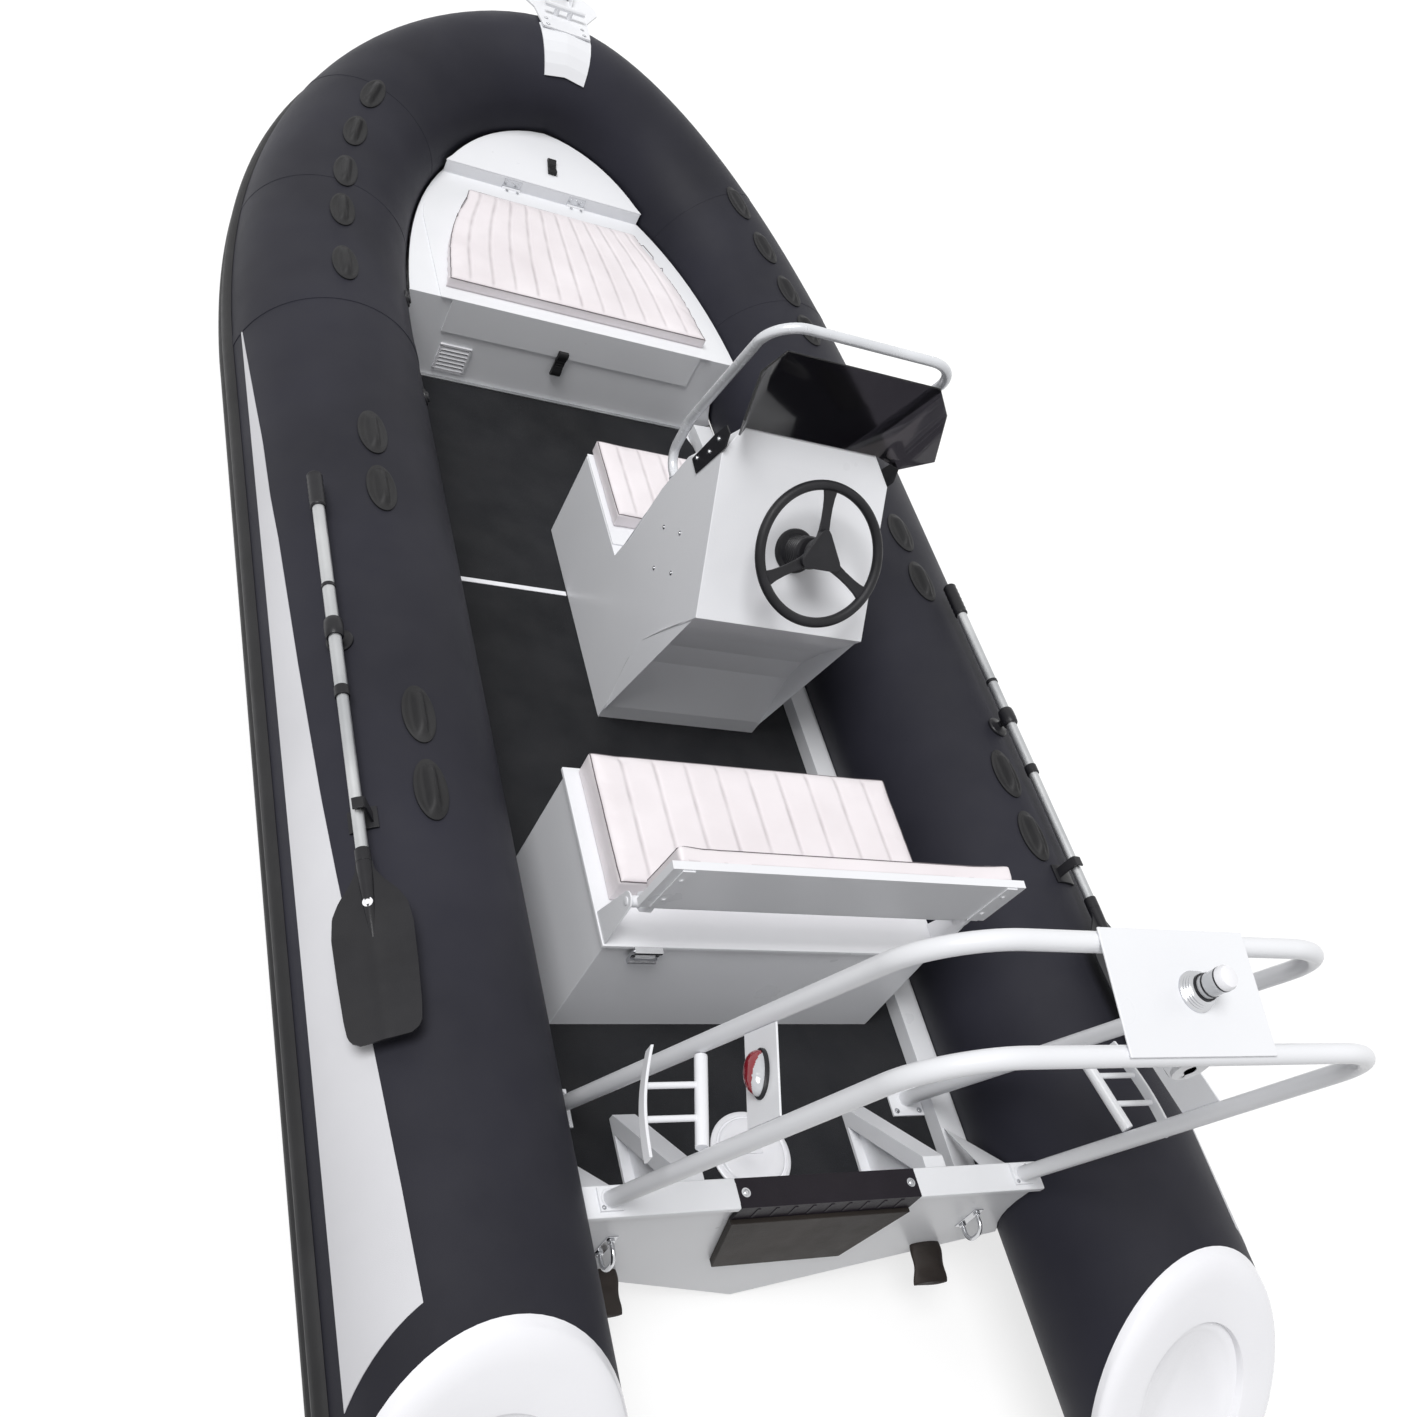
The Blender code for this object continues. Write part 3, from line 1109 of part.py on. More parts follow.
corner_turn = bent_path([rail_right[-2], rail_right[-1], Vector((-RAIL_HALF_TOP, *rail_right[-1][1:]))],
                        RAIL_TOP_BEND, 6)
rail_side = rail_right[:-1] + corner_turn[1:-1]
rail_path = rail_side + list(reversed(mirrored(rail_side)))
pipe("console_rail", [point + Vector((CONSOLE_X, 0, 0)) for point in rail_path], RAIL_RADIUS, WHITE_PAINT)

# Rear seat: a locker box with a hinged lid, a sewn cushion and a toggle latch aft
SEAT_SIDE_CLEARANCE = 0.084
SEAT_HALF = DECK_HALF_WIDTH - SEAT_SIDE_CLEARANCE
SEAT_AFT = 0.506
SEAT_FORWARD = 0.958
SEAT_BOX_HEIGHT = 0.329
SEAT_LID_THICKNESS = 0.010
SEAT_LID_LIP = 0.010
SEAT_CUSHION_THICKNESS = 0.075
SEAT_CUSHION_AFT = 0.600
SEAT_CUSHION_SET_IN = 0.016
bm = bmesh.new()
add_box(bm, (-SEAT_HALF, SEAT_AFT, GAP), (SEAT_HALF, SEAT_FORWARD, SEAT_BOX_HEIGHT))
bmesh.ops.delete(bm, geom=[max(bm.faces, key=lambda face: face.calc_center_median().z)], context="FACES_ONLY")
finish_shell("seat_box", bm, WHITE_PAINT, SHEET, (0, (SEAT_AFT + SEAT_FORWARD) / 2, SEAT_BOX_HEIGHT / 2))

seat_lid_low = SEAT_BOX_HEIGHT + GAP
seat_lid_top = seat_lid_low + SEAT_LID_THICKNESS
SEAT_HINGE = (0, SEAT_FORWARD + SEAT_LID_LIP / 2, seat_lid_low)
bm = bmesh.new()
add_box(bm, (-SEAT_HALF - SEAT_LID_LIP, SEAT_AFT - SEAT_LID_LIP, seat_lid_low),
        (SEAT_HALF + SEAT_LID_LIP, SEAT_FORWARD + SEAT_LID_LIP, seat_lid_top))
seat_lid = finish_mesh("seat_lid", bm, WHITE_PAINT, pivot=SEAT_HINGE)
cushion("seat_cushion", lambda share: SEAT_HALF - SEAT_CUSHION_SET_IN,
        SEAT_FORWARD + SEAT_LID_LIP - SEAT_CUSHION_AFT, SEAT_CUSHION_THICKNESS,
        Matrix.Translation((0, SEAT_CUSHION_AFT, seat_lid_top + GAP)), pivot=SEAT_HINGE,
        columns=24, rows=8, channels=10, crown=CUSHION_CROWN, groove=CUSHION_GROOVE, tuck=CUSHION_TUCK)

SEAT_LATCH_X = -0.329
SEAT_LATCH_LENGTH = 0.050
SEAT_LATCH_HALF = 0.033
seat_latch_foot = (SEAT_LATCH_X, SEAT_AFT - SEAT_LID_LIP - GAP, seat_lid_top)
latch("seat_latch", seat_latch_foot, DOWNWARD, AFTWARD, SEAT_LATCH_LENGTH, SEAT_LATCH_HALF)

# Flip backrest: brackets and a cross tube on the lid, and a board with arms that turns on the tube
PIVOT_STATION = 0.520
PIVOT_HEIGHT = 0.470
PIVOT_RADIUS = 0.0125
BACKREST_BRACKET_GAP = 0.003
BACKREST_BRACKET_X = SEAT_HALF + BACKREST_BRACKET_GAP
BACKREST_BRACKET_FOOT = 0.080
ARM_INSET = 0.025
ARM_X = SEAT_HALF - ARM_INSET
ARM_RUNNING = 0.0005
BOARD_THICKNESS = 0.018
BOARD_LEAN = radians(7.5)
BOARD_LOW = 0.050
BOARD_HEIGHT = 0.165
BOARD_OVERHANG = 0.011
BOARD_HALF = SEAT_HALF + BOARD_OVERHANG
BOARD_SETBACK = 0.020
PAD_THICKNESS = 0.042
PAD_SET_IN = 0.012
bm = bmesh.new()
for side in SIDES:
    x = side * BACKREST_BRACKET_X
    bracket = [(PIVOT_STATION - BACKREST_BRACKET_FOOT / 4, seat_lid_top + GAP),
               (PIVOT_STATION + BACKREST_BRACKET_FOOT * 0.75, seat_lid_top + GAP),
               (PIVOT_STATION + PIVOT_RADIUS * 1.5, PIVOT_HEIGHT + PIVOT_RADIUS),
               (PIVOT_STATION, PIVOT_HEIGHT + PIVOT_RADIUS * 2),
               (PIVOT_STATION - PIVOT_RADIUS * 1.5, PIVOT_HEIGHT + PIVOT_RADIUS)]
    add_prism(bm, [(x, y, z) for y, z in bracket], (side * SHEET, 0, 0))
backrest_frame = finish_mesh("backrest_frame", bm, WHITE_PAINT, pivot=SEAT_HINGE, smooth=radians(40))
bracket_end = BACKREST_BRACKET_X + SHEET / 2
bm = bmesh.new()
add_rod(bm, (-bracket_end, PIVOT_STATION, PIVOT_HEIGHT), (bracket_end, PIVOT_STATION, PIVOT_HEIGHT),
        PIVOT_RADIUS, sides=16)
pivot_tube = finish_mesh("backrest_pivot_tube", bm, None, pivot=SEAT_HINGE, cutter=True)
boolean(backrest_frame, pivot_tube, "UNION")

BACKREST_PIVOT = (0, PIVOT_STATION, PIVOT_HEIGHT)
board_place = Matrix.Translation((0, PIVOT_STATION - BOARD_SETBACK, PIVOT_HEIGHT)) @ Matrix.Rotation(
    BOARD_LEAN, 4, "X")
bm = bmesh.new()
add_prism(bm, [board_place @ Vector((x, 0, z)) for x, z in (
    (-BOARD_HALF, BOARD_LOW), (BOARD_HALF, BOARD_LOW), (BOARD_HALF, BOARD_LOW + BOARD_HEIGHT),
    (-BOARD_HALF, BOARD_LOW + BOARD_HEIGHT))], board_place.to_3x3() @ Vector((0, -BOARD_THICKNESS, 0)))
backrest_board = finish_mesh("backrest_board", bm, WHITE_PAINT, pivot=BACKREST_PIVOT)
bm = bmesh.new()
arm_eye = PIVOT_RADIUS + SHEET * 2
for side in SIDES:
    low = side * ARM_X - SHEET
    arm = [board_place @ Vector((low, y, z)) for y, z in (
        (-BOARD_THICKNESS / 2, BOARD_LOW + BOARD_HEIGHT * 0.7), (-BOARD_THICKNESS, BOARD_LOW / 2),
        (BOARD_SETBACK - arm_eye, -arm_eye * 0.4), (BOARD_SETBACK, -arm_eye), (BOARD_SETBACK + arm_eye, 0),
        (BOARD_SETBACK + arm_eye * 0.6, arm_eye), (-BOARD_THICKNESS / 3, BOARD_LOW - SHEET))]
    add_prism(bm, arm, (2 * SHEET, 0, 0))
backrest_arms = finish_mesh("backrest_arms", bm, None, pivot=BACKREST_PIVOT, cutter=True)
boolean(backrest_board, backrest_arms, "UNION")
bm = bmesh.new()
add_rod(bm, (-BOARD_HALF, PIVOT_STATION, PIVOT_HEIGHT), (BOARD_HALF, PIVOT_STATION, PIVOT_HEIGHT),
        PIVOT_RADIUS + ARM_RUNNING, sides=16)
arm_bore_cutter = finish_mesh("arm_bore_cutter", bm, None, cutter=True)
boolean(backrest_board, arm_bore_cutter, "DIFFERENCE")
pad_place = board_place @ Matrix.Translation((0, GAP, BOARD_LOW)) @ Matrix.Rotation(radians(90), 4, "X") @ (
    Matrix.Scale(-1, 4, (0, 0, 1)))
cushion("backrest_pad", lambda share: BOARD_HALF - PAD_SET_IN, BOARD_HEIGHT, PAD_THICKNESS, pad_place,
        pivot=BACKREST_PIVOT, columns=24, rows=5, channels=10, crown=CUSHION_CROWN, groove=CUSHION_GROOVE,
        tuck=CUSHION_TUCK)

# Oars: each lies along its tube in a swivel holder and a hook clip
OAR_RADIUS = 0.014
OAR_LIFT = 0.045
PORT_OAR_ANGLE = radians(58)
STARBOARD_OAR_ANGLE = radians(80)
OAR_NECK = 0.610
OAR_GRIP_END = 1.705
OAR_GRIP_LENGTH = 0.110
OAR_GRIP_RADIUS = 0.019
OAR_BLADE_LENGTH = 0.380
OAR_BLADE_HALF = 0.078
OAR_BLADE_THICKNESS = 0.014
PORT_HOLDER = 1.220
PORT_CLIP = 0.740
STARBOARD_SHIFT = -0.055
HOLDER_LENGTH = 0.050
HOLDER_WALL = 0.007
HOLDER_STEM = 0.009
HOLDER_FLANGE_RADIUS = 0.030
HOLDER_FLANGE = 0.008
OAR_RUNNING = 0.0004
CLIP_LENGTH = 0.026
CLIP_WALL = 0.005
CLIP_BASE = 0.008
CLIP_BASE_WIDTH = 0.060
CLIP_PLAY = 0.0025
blade_half_shares = (
    (0.00, 0.22), (0.05, 0.24), (0.26, 0.92), (0.40, 1.00), (0.86, 0.90), (0.97, 0.80), (1.00, 0.60),
)
for side, word, angle, shift in ((PORT, "port", PORT_OAR_ANGLE, 0),
                                 (STARBOARD, "stbd", STARBOARD_OAR_ANGLE, STARBOARD_SHIFT)):
    centre, tangent, outboard, up = tube_frame(0, side)
    normal = outboard * cos(angle) + up * sin(angle)
    inboard = up * cos(angle) - outboard * sin(angle)

    def oar_point(station, radial, across=0.0):
        along = centre + Vector((0, station, 0))
        return along + normal * (TUBE_RADIUS + OAR_LIFT + radial) + inboard * across

    neck = OAR_NECK + shift
    grip_end = OAR_GRIP_END + shift
    grip_start = grip_end - OAR_GRIP_LENGTH
    holder = PORT_HOLDER + shift
    clip = PORT_CLIP + shift
    pivot = oar_point(holder, 0)
    bm = bmesh.new()
    add_rod(bm, oar_point(neck, 0), oar_point(grip_start + GAP, 0), OAR_RADIUS, sides=12)
    oar = finish_mesh("oar_" + word, bm, BARE_ALUMINIUM, pivot=pivot, smooth=radians(40))
    bm = bmesh.new()
    add_rod(bm, oar_point(grip_start, 0), oar_point(grip_end, 0), OAR_GRIP_RADIUS, sides=16)
    grip = finish_mesh("oar_grip_" + word, bm, None, pivot=pivot, cutter=True)
    boolean(oar, grip, "UNION")
    shape = [(neck - GAP - OAR_BLADE_LENGTH * along, OAR_BLADE_HALF * half)
             for along, half in blade_half_shares]
    shape += [(y, -half) for y, half in reversed(shape)]
    bm = bmesh.new()
    add_prism(bm, [oar_point(y, -OAR_BLADE_THICKNESS / 2, across) for y, across in shape],
              normal * OAR_BLADE_THICKNESS)
    finish_mesh("oar_blade_" + word, bm, BLACK_PLASTIC, pivot=pivot, smooth=radians(40))

    bm = bmesh.new()
    add_rod(bm, oar_point(holder - HOLDER_LENGTH / 2, 0), oar_point(holder + HOLDER_LENGTH / 2, 0),
            OAR_RADIUS + HOLDER_WALL, sides=16)
    foot = oar_point(holder, GAP - OAR_LIFT)
    add_rod(bm, foot, foot + normal * HOLDER_FLANGE, HOLDER_FLANGE_RADIUS, sides=20)
    rowlock = finish_mesh("rowlock_" + word, bm, BLACK_PLASTIC, pivot=pivot, smooth=radians(40))
    bm = bmesh.new()
    stem_top = oar_point(holder, -OAR_RADIUS - HOLDER_WALL / 2)
    add_rod(bm, foot + normal * (HOLDER_FLANGE / 2), stem_top, HOLDER_STEM, sides=12)
    stem = finish_mesh("rowlock_stem_" + word, bm, None, pivot=pivot, cutter=True)
    boolean(rowlock, stem, "UNION")
    bm = bmesh.new()
    add_rod(bm, oar_point(holder - HOLDER_LENGTH, 0), oar_point(holder + HOLDER_LENGTH, 0),
            OAR_RADIUS + OAR_RUNNING, sides=12)
    bore = finish_mesh("rowlock_bore_" + word, bm, None, pivot=pivot, cutter=True)
    boolean(rowlock, bore, "DIFFERENCE")

    bm = bmesh.new()
    tube_patch(bm, clip, angle, side, 2 * CLIP_LENGTH, CLIP_BASE_WIDTH, lambda u, v: CLIP_BASE - GAP, 2, 4)
    oar_clip = finish_mesh("oar_clip_" + word, bm, BLACK_PLASTIC, smooth=radians(40))
    post = OAR_RADIUS + CLIP_PLAY
    hook_foot = CLIP_BASE / 2 - OAR_LIFT
    hook = [(post, hook_foot), (post + CLIP_WALL, hook_foot), (post + CLIP_WALL, post + CLIP_WALL),
            (-OAR_RADIUS / 3, post + CLIP_WALL), (-OAR_RADIUS / 3, post), (post, post)]
    bm = bmesh.new()
    add_prism(bm, [oar_point(clip - CLIP_LENGTH / 2, radial, across) for across, radial in hook],
              Vector((0, CLIP_LENGTH, 0)))
    hook_solid = finish_mesh("oar_hook_" + word, bm, None, cutter=True)
    boolean(oar_clip, hook_solid, "UNION")

# Stern arch: two bent hoops with welded feet, joined by a top plate and by racks at the sides
HOOP_RADIUS = 0.017
HOOP_BEND = 0.150
FRONT_FOOT_INSET = 0.047
FRONT_TOP_INSET = 0.076
REAR_FOOT_INSET = 0.009
REAR_TOP_INSET = 0.031
FRONT_FOOT = Vector((DECK_HALF_WIDTH - FRONT_FOOT_INSET, 0.300, 0))
FRONT_TOP = Vector((DECK_HALF_WIDTH - FRONT_TOP_INSET, -0.115, 1.332))
REAR_FOOT = Vector((DECK_HALF_WIDTH - REAR_FOOT_INSET, -0.020, shoulder_top))
REAR_TOP = Vector((DECK_HALF_WIDTH - REAR_TOP_INSET, -0.290, 1.294))
FOOT_PLATE_THICKNESS = 0.006
FRONT_FOOT_HALF = 0.045
REAR_FOOT_HALF = 0.024
ARCH_PLATE_HALF = 0.155
LAMP_PLATE_HEIGHT = 0.830
LAMP_PLATE_HALF = 0.050
RACK_HEIGHT = 0.625
RACK_REACH = 0.100
RACK_BOW = 0.012
RACK_BAR = 0.006
RACK_ROD = 0.0125
RUNG_RADIUS = 0.006
TAB_X = 0.020
TAB_HALF = 0.030
TAB_DROP = 0.052
TAB_BORE = 0.011


def leg_lean(foot, top):
    return (foot.y - top.y) / (top.z - foot.z)


def leg_clearance(foot, top):
    """Half the leg's width fore and aft in a level cut, and a gap."""
    return HOOP_RADIUS * sqrt(1 + leg_lean(foot, top) ** 2) + 2 * GAP


def leg_point(foot, top, height, side, forward=0.0):
    share = (height - foot.z) / (top.z - foot.z)
    point = foot + (top - foot) * share
    return Vector((side * point.x, point.y + forward, point.z))


def hoop(name, foot, top, plate_half):
    """A bent tube on two foot plates, as one weldment."""
    path = bent_path([foot, top, mirrored([top])[0], mirrored([foot])[0]], HOOP_BEND, 7)
    made = as_mesh(pipe(name, path, HOOP_RADIUS, WHITE_PAINT))
    trim_half = foot.x + 2 * HOOP_RADIUS
    bm = bmesh.new()
    add_box(bm, (-trim_half, foot.y - 2 * HOOP_RADIUS, foot.z - OVERRUN),
            (trim_half, foot.y + 2 * HOOP_RADIUS, foot.z + GAP + FOOT_PLATE_THICKNESS / 2))
    trim = finish_mesh(name + "_trim", bm, None, cutter=True)
    boolean(made, trim, "DIFFERENCE")
    bm = bmesh.new()
    for side in SIDES:
        add_box(bm, (side * foot.x - plate_half, foot.y - plate_half, foot.z + GAP),
                (side * foot.x + plate_half, foot.y + plate_half, foot.z + GAP + FOOT_PLATE_THICKNESS))
    feet = finish_mesh(name + "_feet", bm, None, cutter=True)
    boolean(made, feet, "UNION")
    return made


hoop("arch_front_hoop", FRONT_FOOT, FRONT_TOP, FRONT_FOOT_HALF)
rear_hoop = hoop("arch_rear_hoop", REAR_FOOT, REAR_TOP, REAR_FOOT_HALF)
tab_top = REAR_TOP.z - HOOP_RADIUS / 2
tab = [(TAB_X - TAB_HALF, tab_top - TAB_DROP / 2), (TAB_X - TAB_HALF, tab_top), (TAB_X + TAB_HALF, tab_top)]
tab += [(TAB_X + TAB_HALF * cos(pi * k / 8), tab_top - TAB_DROP / 2 - TAB_HALF * sin(pi * k / 8))
        for k in range(8)]
bm = bmesh.new()
add_prism(bm, [(x, REAR_TOP.y - SHEET, z) for x, z in tab], (0, 2 * SHEET, 0))
tow_tab = finish_mesh("tow_tab", bm, None, cutter=True)
boolean(rear_hoop, tow_tab, "UNION")
tab_eye = tab_top - TAB_DROP / 2 - TAB_HALF / 4
bm = bmesh.new()
tab_centre = Vector((TAB_X, REAR_TOP.y, tab_eye))
tab_through = Vector((0, OVERRUN, 0))
add_rod(bm, tab_centre - tab_through, tab_centre + tab_through, TAB_BORE, sides=16)
tab_cutter = finish_mesh("tab_bore_cutter", bm, None, cutter=True)
boolean(rear_hoop, tab_cutter, "DIFFERENCE")

plate_slope = REAR_TOP - FRONT_TOP
plate_slope.x = 0
plate_run = plate_slope.normalized()
plate_up = Vector((0, plate_run.z, -plate_run.y))
plate_lift = plate_up * (HOOP_RADIUS + GAP)
front_edge = Vector((0, FRONT_TOP.y, FRONT_TOP.z)) + plate_lift - plate_run * HOOP_RADIUS
rear_edge = Vector((0, REAR_TOP.y, REAR_TOP.z)) + plate_lift + plate_run * HOOP_RADIUS / 2
plate_side = Vector((ARCH_PLATE_HALF, 0, 0))
bm = bmesh.new()
add_prism(bm, [front_edge - plate_side, front_edge + plate_side,
               rear_edge + plate_side, rear_edge - plate_side], plate_up * SHEET)
finish_mesh("arch_top_plate", bm, WHITE_PAINT)

front_inset = leg_clearance(FRONT_FOOT, FRONT_TOP)
rear_inset = leg_clearance(REAR_FOOT, REAR_TOP)
strut_fore = front_inset + RACK_ROD * leg_lean(FRONT_FOOT, FRONT_TOP)
strut_aft = rear_inset + RACK_ROD * leg_lean(REAR_FOOT, REAR_TOP)
RACK_BAR_STEPS = 6
bar_overhang_share = 0.1
rung_place_shares = (0.32, 0.68)
for side, word in SIDE_WORDS:
    fore = leg_point(FRONT_FOOT, FRONT_TOP, RACK_HEIGHT, side, -strut_fore)
    rear = leg_point(REAR_FOOT, REAR_TOP, RACK_HEIGHT, side, strut_aft)
    bar = []
    for k in range(RACK_BAR_STEPS + 1):
        share = k / RACK_BAR_STEPS
        along = share * (1 + 2 * bar_overhang_share) - bar_overhang_share
        reach = RACK_REACH + RACK_BOW * sin(pi * share)
        bar.append(rear + (fore - rear) * along + Vector((side * reach, 0, 0)))
    outline = bar + [point + Vector((side * RACK_BAR, 0, 0)) for point in reversed(bar)]
    bm = bmesh.new()
    add_rod(bm, rear, fore, RACK_ROD, sides=12)
    add_prism(bm, [point - Vector((0, 0, RACK_ROD)) for point in outline], (0, 0, 2 * RACK_ROD))
    rack = finish_mesh("arch_rack_" + word, bm, WHITE_PAINT, smooth=radians(40))
    bm = bmesh.new()
    for share in rung_place_shares:
        spot = rear.lerp(fore, share)
        rung_end = spot + Vector((side * (RACK_REACH + RACK_BOW / 2 + RACK_BAR / 2), 0, 0))
        add_rod(bm, spot, rung_end, RUNG_RADIUS, sides=8)
    rungs = finish_mesh("rack_rungs_" + word, bm, None, cutter=True)
    boolean(rack, rungs, "UNION")

# Lamps: an oval lamp on a welded plate at each side, and the all-round light on the top plate
LAMP_LONG = 0.042
LAMP_SHORT = 0.024
LAMP_DEPTH = 0.030
LAMP_SIDES = 20
lamp_size_shares = ((1.0, -0.05), (1.0, 0.35), (0.86, 0.75), (0.45, 1.0))
for side, word in SIDE_WORDS:
    corners = [leg_point(FRONT_FOOT, FRONT_TOP, LAMP_PLATE_HEIGHT - LAMP_PLATE_HALF, side, -front_inset),
               leg_point(FRONT_FOOT, FRONT_TOP, LAMP_PLATE_HEIGHT + LAMP_PLATE_HALF, side, -front_inset),
               leg_point(REAR_FOOT, REAR_TOP, LAMP_PLATE_HEIGHT + LAMP_PLATE_HALF, side, rear_inset),
               leg_point(REAR_FOOT, REAR_TOP, LAMP_PLATE_HEIGHT - LAMP_PLATE_HALF, side, rear_inset)]
    bm = bmesh.new()
    add_prism(bm, corners, (side * SHEET, 0, 0))
    side_lamp = finish_mesh("side_lamp_" + word, bm, RED_LENS, smooth=radians(50))
    middle = sum(corners, Vector()) / 4
    along = (corners[0] - corners[3]).normalized()
    face_out = Vector((along.y, -along.x, 0)).normalized()
    face_out *= side if face_out.x > 0 else -side
    across = along.cross(face_out)
    start = middle + face_out * SHEET
    rings = []
    for share, depth in lamp_size_shares:
        turns = [2 * pi * k / LAMP_SIDES for k in range(LAMP_SIDES)]
        rings.append([start + face_out * (LAMP_DEPTH * depth) + along * (LAMP_LONG * share * cos(turn))
                      + across * (LAMP_SHORT * share * sin(turn)) for turn in turns])
    bm = bmesh.new()
    add_loft(bm, rings)
    lamp_body = finish_mesh("lamp_body_" + word, bm, None, cutter=True)
    boolean(side_lamp, lamp_body, "UNION")

LIGHT_RADIUS = 0.034
LIGHT_BASE = 0.022
LIGHT_NECK_RADIUS = 0.020
LIGHT_DOME = 0.006
LIGHT_GLASS = 0.055
LIGHT_X = 0.013
plate_middle = (front_edge + rear_edge) / 2 + Vector((LIGHT_X, 0, 0)) + plate_up * (SHEET + GAP)
light_top = LIGHT_BASE + LIGHT_GLASS
turned("all_round_light",
       [(0, light_top), (LIGHT_NECK_RADIUS - LIGHT_DOME / 2, light_top - LIGHT_DOME / 3),
        (LIGHT_NECK_RADIUS, light_top - LIGHT_DOME), (LIGHT_NECK_RADIUS, LIGHT_BASE),
        (LIGHT_RADIUS, LIGHT_BASE), (LIGHT_RADIUS, 0), (0, 0)],
       facing(plate_middle, plate_up), STAINLESS)

# Bow step: a strap and plate over the bow tube with a cleat, and the anchor roller between its cheeks
STEP_PLATE = 0.006
BOW_STRAP_SHARE = 0.6
BOW_PLATE_WIDE = 0.150
BOW_PLATE_LEAD = 0.270
CHEEK_HEIGHT = 0.050
CHEEK_LENGTH = 0.110
ROLLER_RADIUS = 0.024
ROLLER_WAIST = 0.015
ROLLER_HALF = 0.050
CLEAT_HALF = 0.070
CLEAT_ROD = 0.009
CLEAT_LIFT = 0.030
section_step = 2 * (TUBE_END - STRAIGHT_LENGTH) / BOW_SECTIONS
crest_vertex = TUBE_SIDES // 4
strap_low_vertex = crest_vertex + 5
crest = section_ring(TUBE_END, STARBOARD)
crest_centre = tube_frame(TUBE_END, STARBOARD)[0]
rows = []
for share in (-BOW_STRAP_SHARE, -BOW_STRAP_SHARE / 2, 0, BOW_STRAP_SHARE / 2, BOW_STRAP_SHARE):
    beside = section_ring(TUBE_END - section_step, PORT if share < 0 else STARBOARD)
    row = []
    for k in range(strap_low_vertex, crest_vertex - 1, -1):
        normal = (crest[k] - crest_centre).normalized()
        row.append((crest[k].lerp(beside[k], abs(share)) + normal * (2 * GAP), normal))
    rows.append(row)
bm = bmesh.new()
add_sheet(bm, rows, lambda i, j: STEP_PLATE)
bow_step = finish_mesh("bow_step", bm, WHITE_PAINT)

plate_low = crest_centre.z + BOW_TIP_RADIUS + 3 * GAP
plate_top = plate_low + STEP_PLATE
lead_y = BOW_CENTRE + BOW_PLATE_LEAD
bow_plate_shares = ((-0.12, 0.56), (0.30, 0.64), (0.62, 1.00), (0.78, 1.00), (1.00, 0.70))
right = [Vector((BOW_PLATE_WIDE * x, BOW_CENTRE + BOW_PLATE_LEAD * y, plate_low))
         for y, x in bow_plate_shares]
bm = bmesh.new()
add_prism(bm, right + list(reversed(mirrored(right))), (0, 0, STEP_PLATE))
bow_plate = finish_mesh("bow_plate", bm, None, cutter=True)
boolean(bow_step, bow_plate, "UNION")
bm = bmesh.new()
cheek_low = plate_top - STEP_PLATE / 2
for side in SIDES:
    cheek = [(lead_y - CHEEK_LENGTH, cheek_low), (lead_y - SHEET, cheek_low),
             (lead_y - SHEET, plate_top + CHEEK_HEIGHT * 0.8),
             (lead_y - CHEEK_LENGTH / 3, plate_top + CHEEK_HEIGHT),
             (lead_y - CHEEK_LENGTH * 0.8, plate_top + CHEEK_HEIGHT / 2)]
    add_prism(bm, [(side * (ROLLER_HALF + GAP), y, z) for y, z in cheek], (side * SHEET, 0, 0))
cleat_y = BOW_CENTRE + BOW_PLATE_LEAD * 0.25
for x in (-CLEAT_HALF / 3, CLEAT_HALF / 3):
    add_rod(bm, (x, cleat_y, cheek_low), (x, cleat_y, plate_top + CLEAT_LIFT), CLEAT_ROD, sides=12)
step_extras = finish_mesh("bow_step_extras", bm, None, cutter=True)
boolean(bow_step, step_extras, "UNION")
bm = bmesh.new()
cleat_top = plate_top + CLEAT_LIFT
add_rod(bm, (-CLEAT_HALF, cleat_y, cleat_top), (CLEAT_HALF, cleat_y, cleat_top), CLEAT_ROD, sides=10)
cleat_horns = finish_mesh("cleat_horns", bm, None, cutter=True)
boolean(bow_step, cleat_horns, "UNION")

ROLLER_SIDES = 16
roller_axis = Vector((0, lead_y - CHEEK_LENGTH / 2.5, plate_top + ROLLER_RADIUS + SEAM))
roller_sections = ((-ROLLER_HALF, ROLLER_RADIUS), (-ROLLER_HALF / 3, ROLLER_WAIST),
                   (ROLLER_HALF / 3, ROLLER_WAIST), (ROLLER_HALF, ROLLER_RADIUS))
rings = []
for x, radius in roller_sections:
    turns = [2 * pi * k / ROLLER_SIDES for k in range(ROLLER_SIDES)]
    rings.append([roller_axis + Vector((x, radius * cos(turn), radius * sin(turn))) for turn in turns])
bm = bmesh.new()
add_loft(bm, rings)
finish_mesh("bow_roller", bm, BLACK_RUBBER, pivot=roller_axis, smooth=radians(40))
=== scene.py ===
"""A rigid inflatable boat as it looks: its fabrics, paint, fittings and cushions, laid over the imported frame.

Lengths are in metres. New pieces are drawn in the boat's own frame: X to starboard, Y forward from the
transom's forward face, Z up from the deck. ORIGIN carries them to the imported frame.
"""

from math import cos, exp, pi, radians, sin, sqrt, tan

import bmesh
import bpy
from mathutils import Matrix, Vector, noise
from mathutils.bvhtree import BVHTree


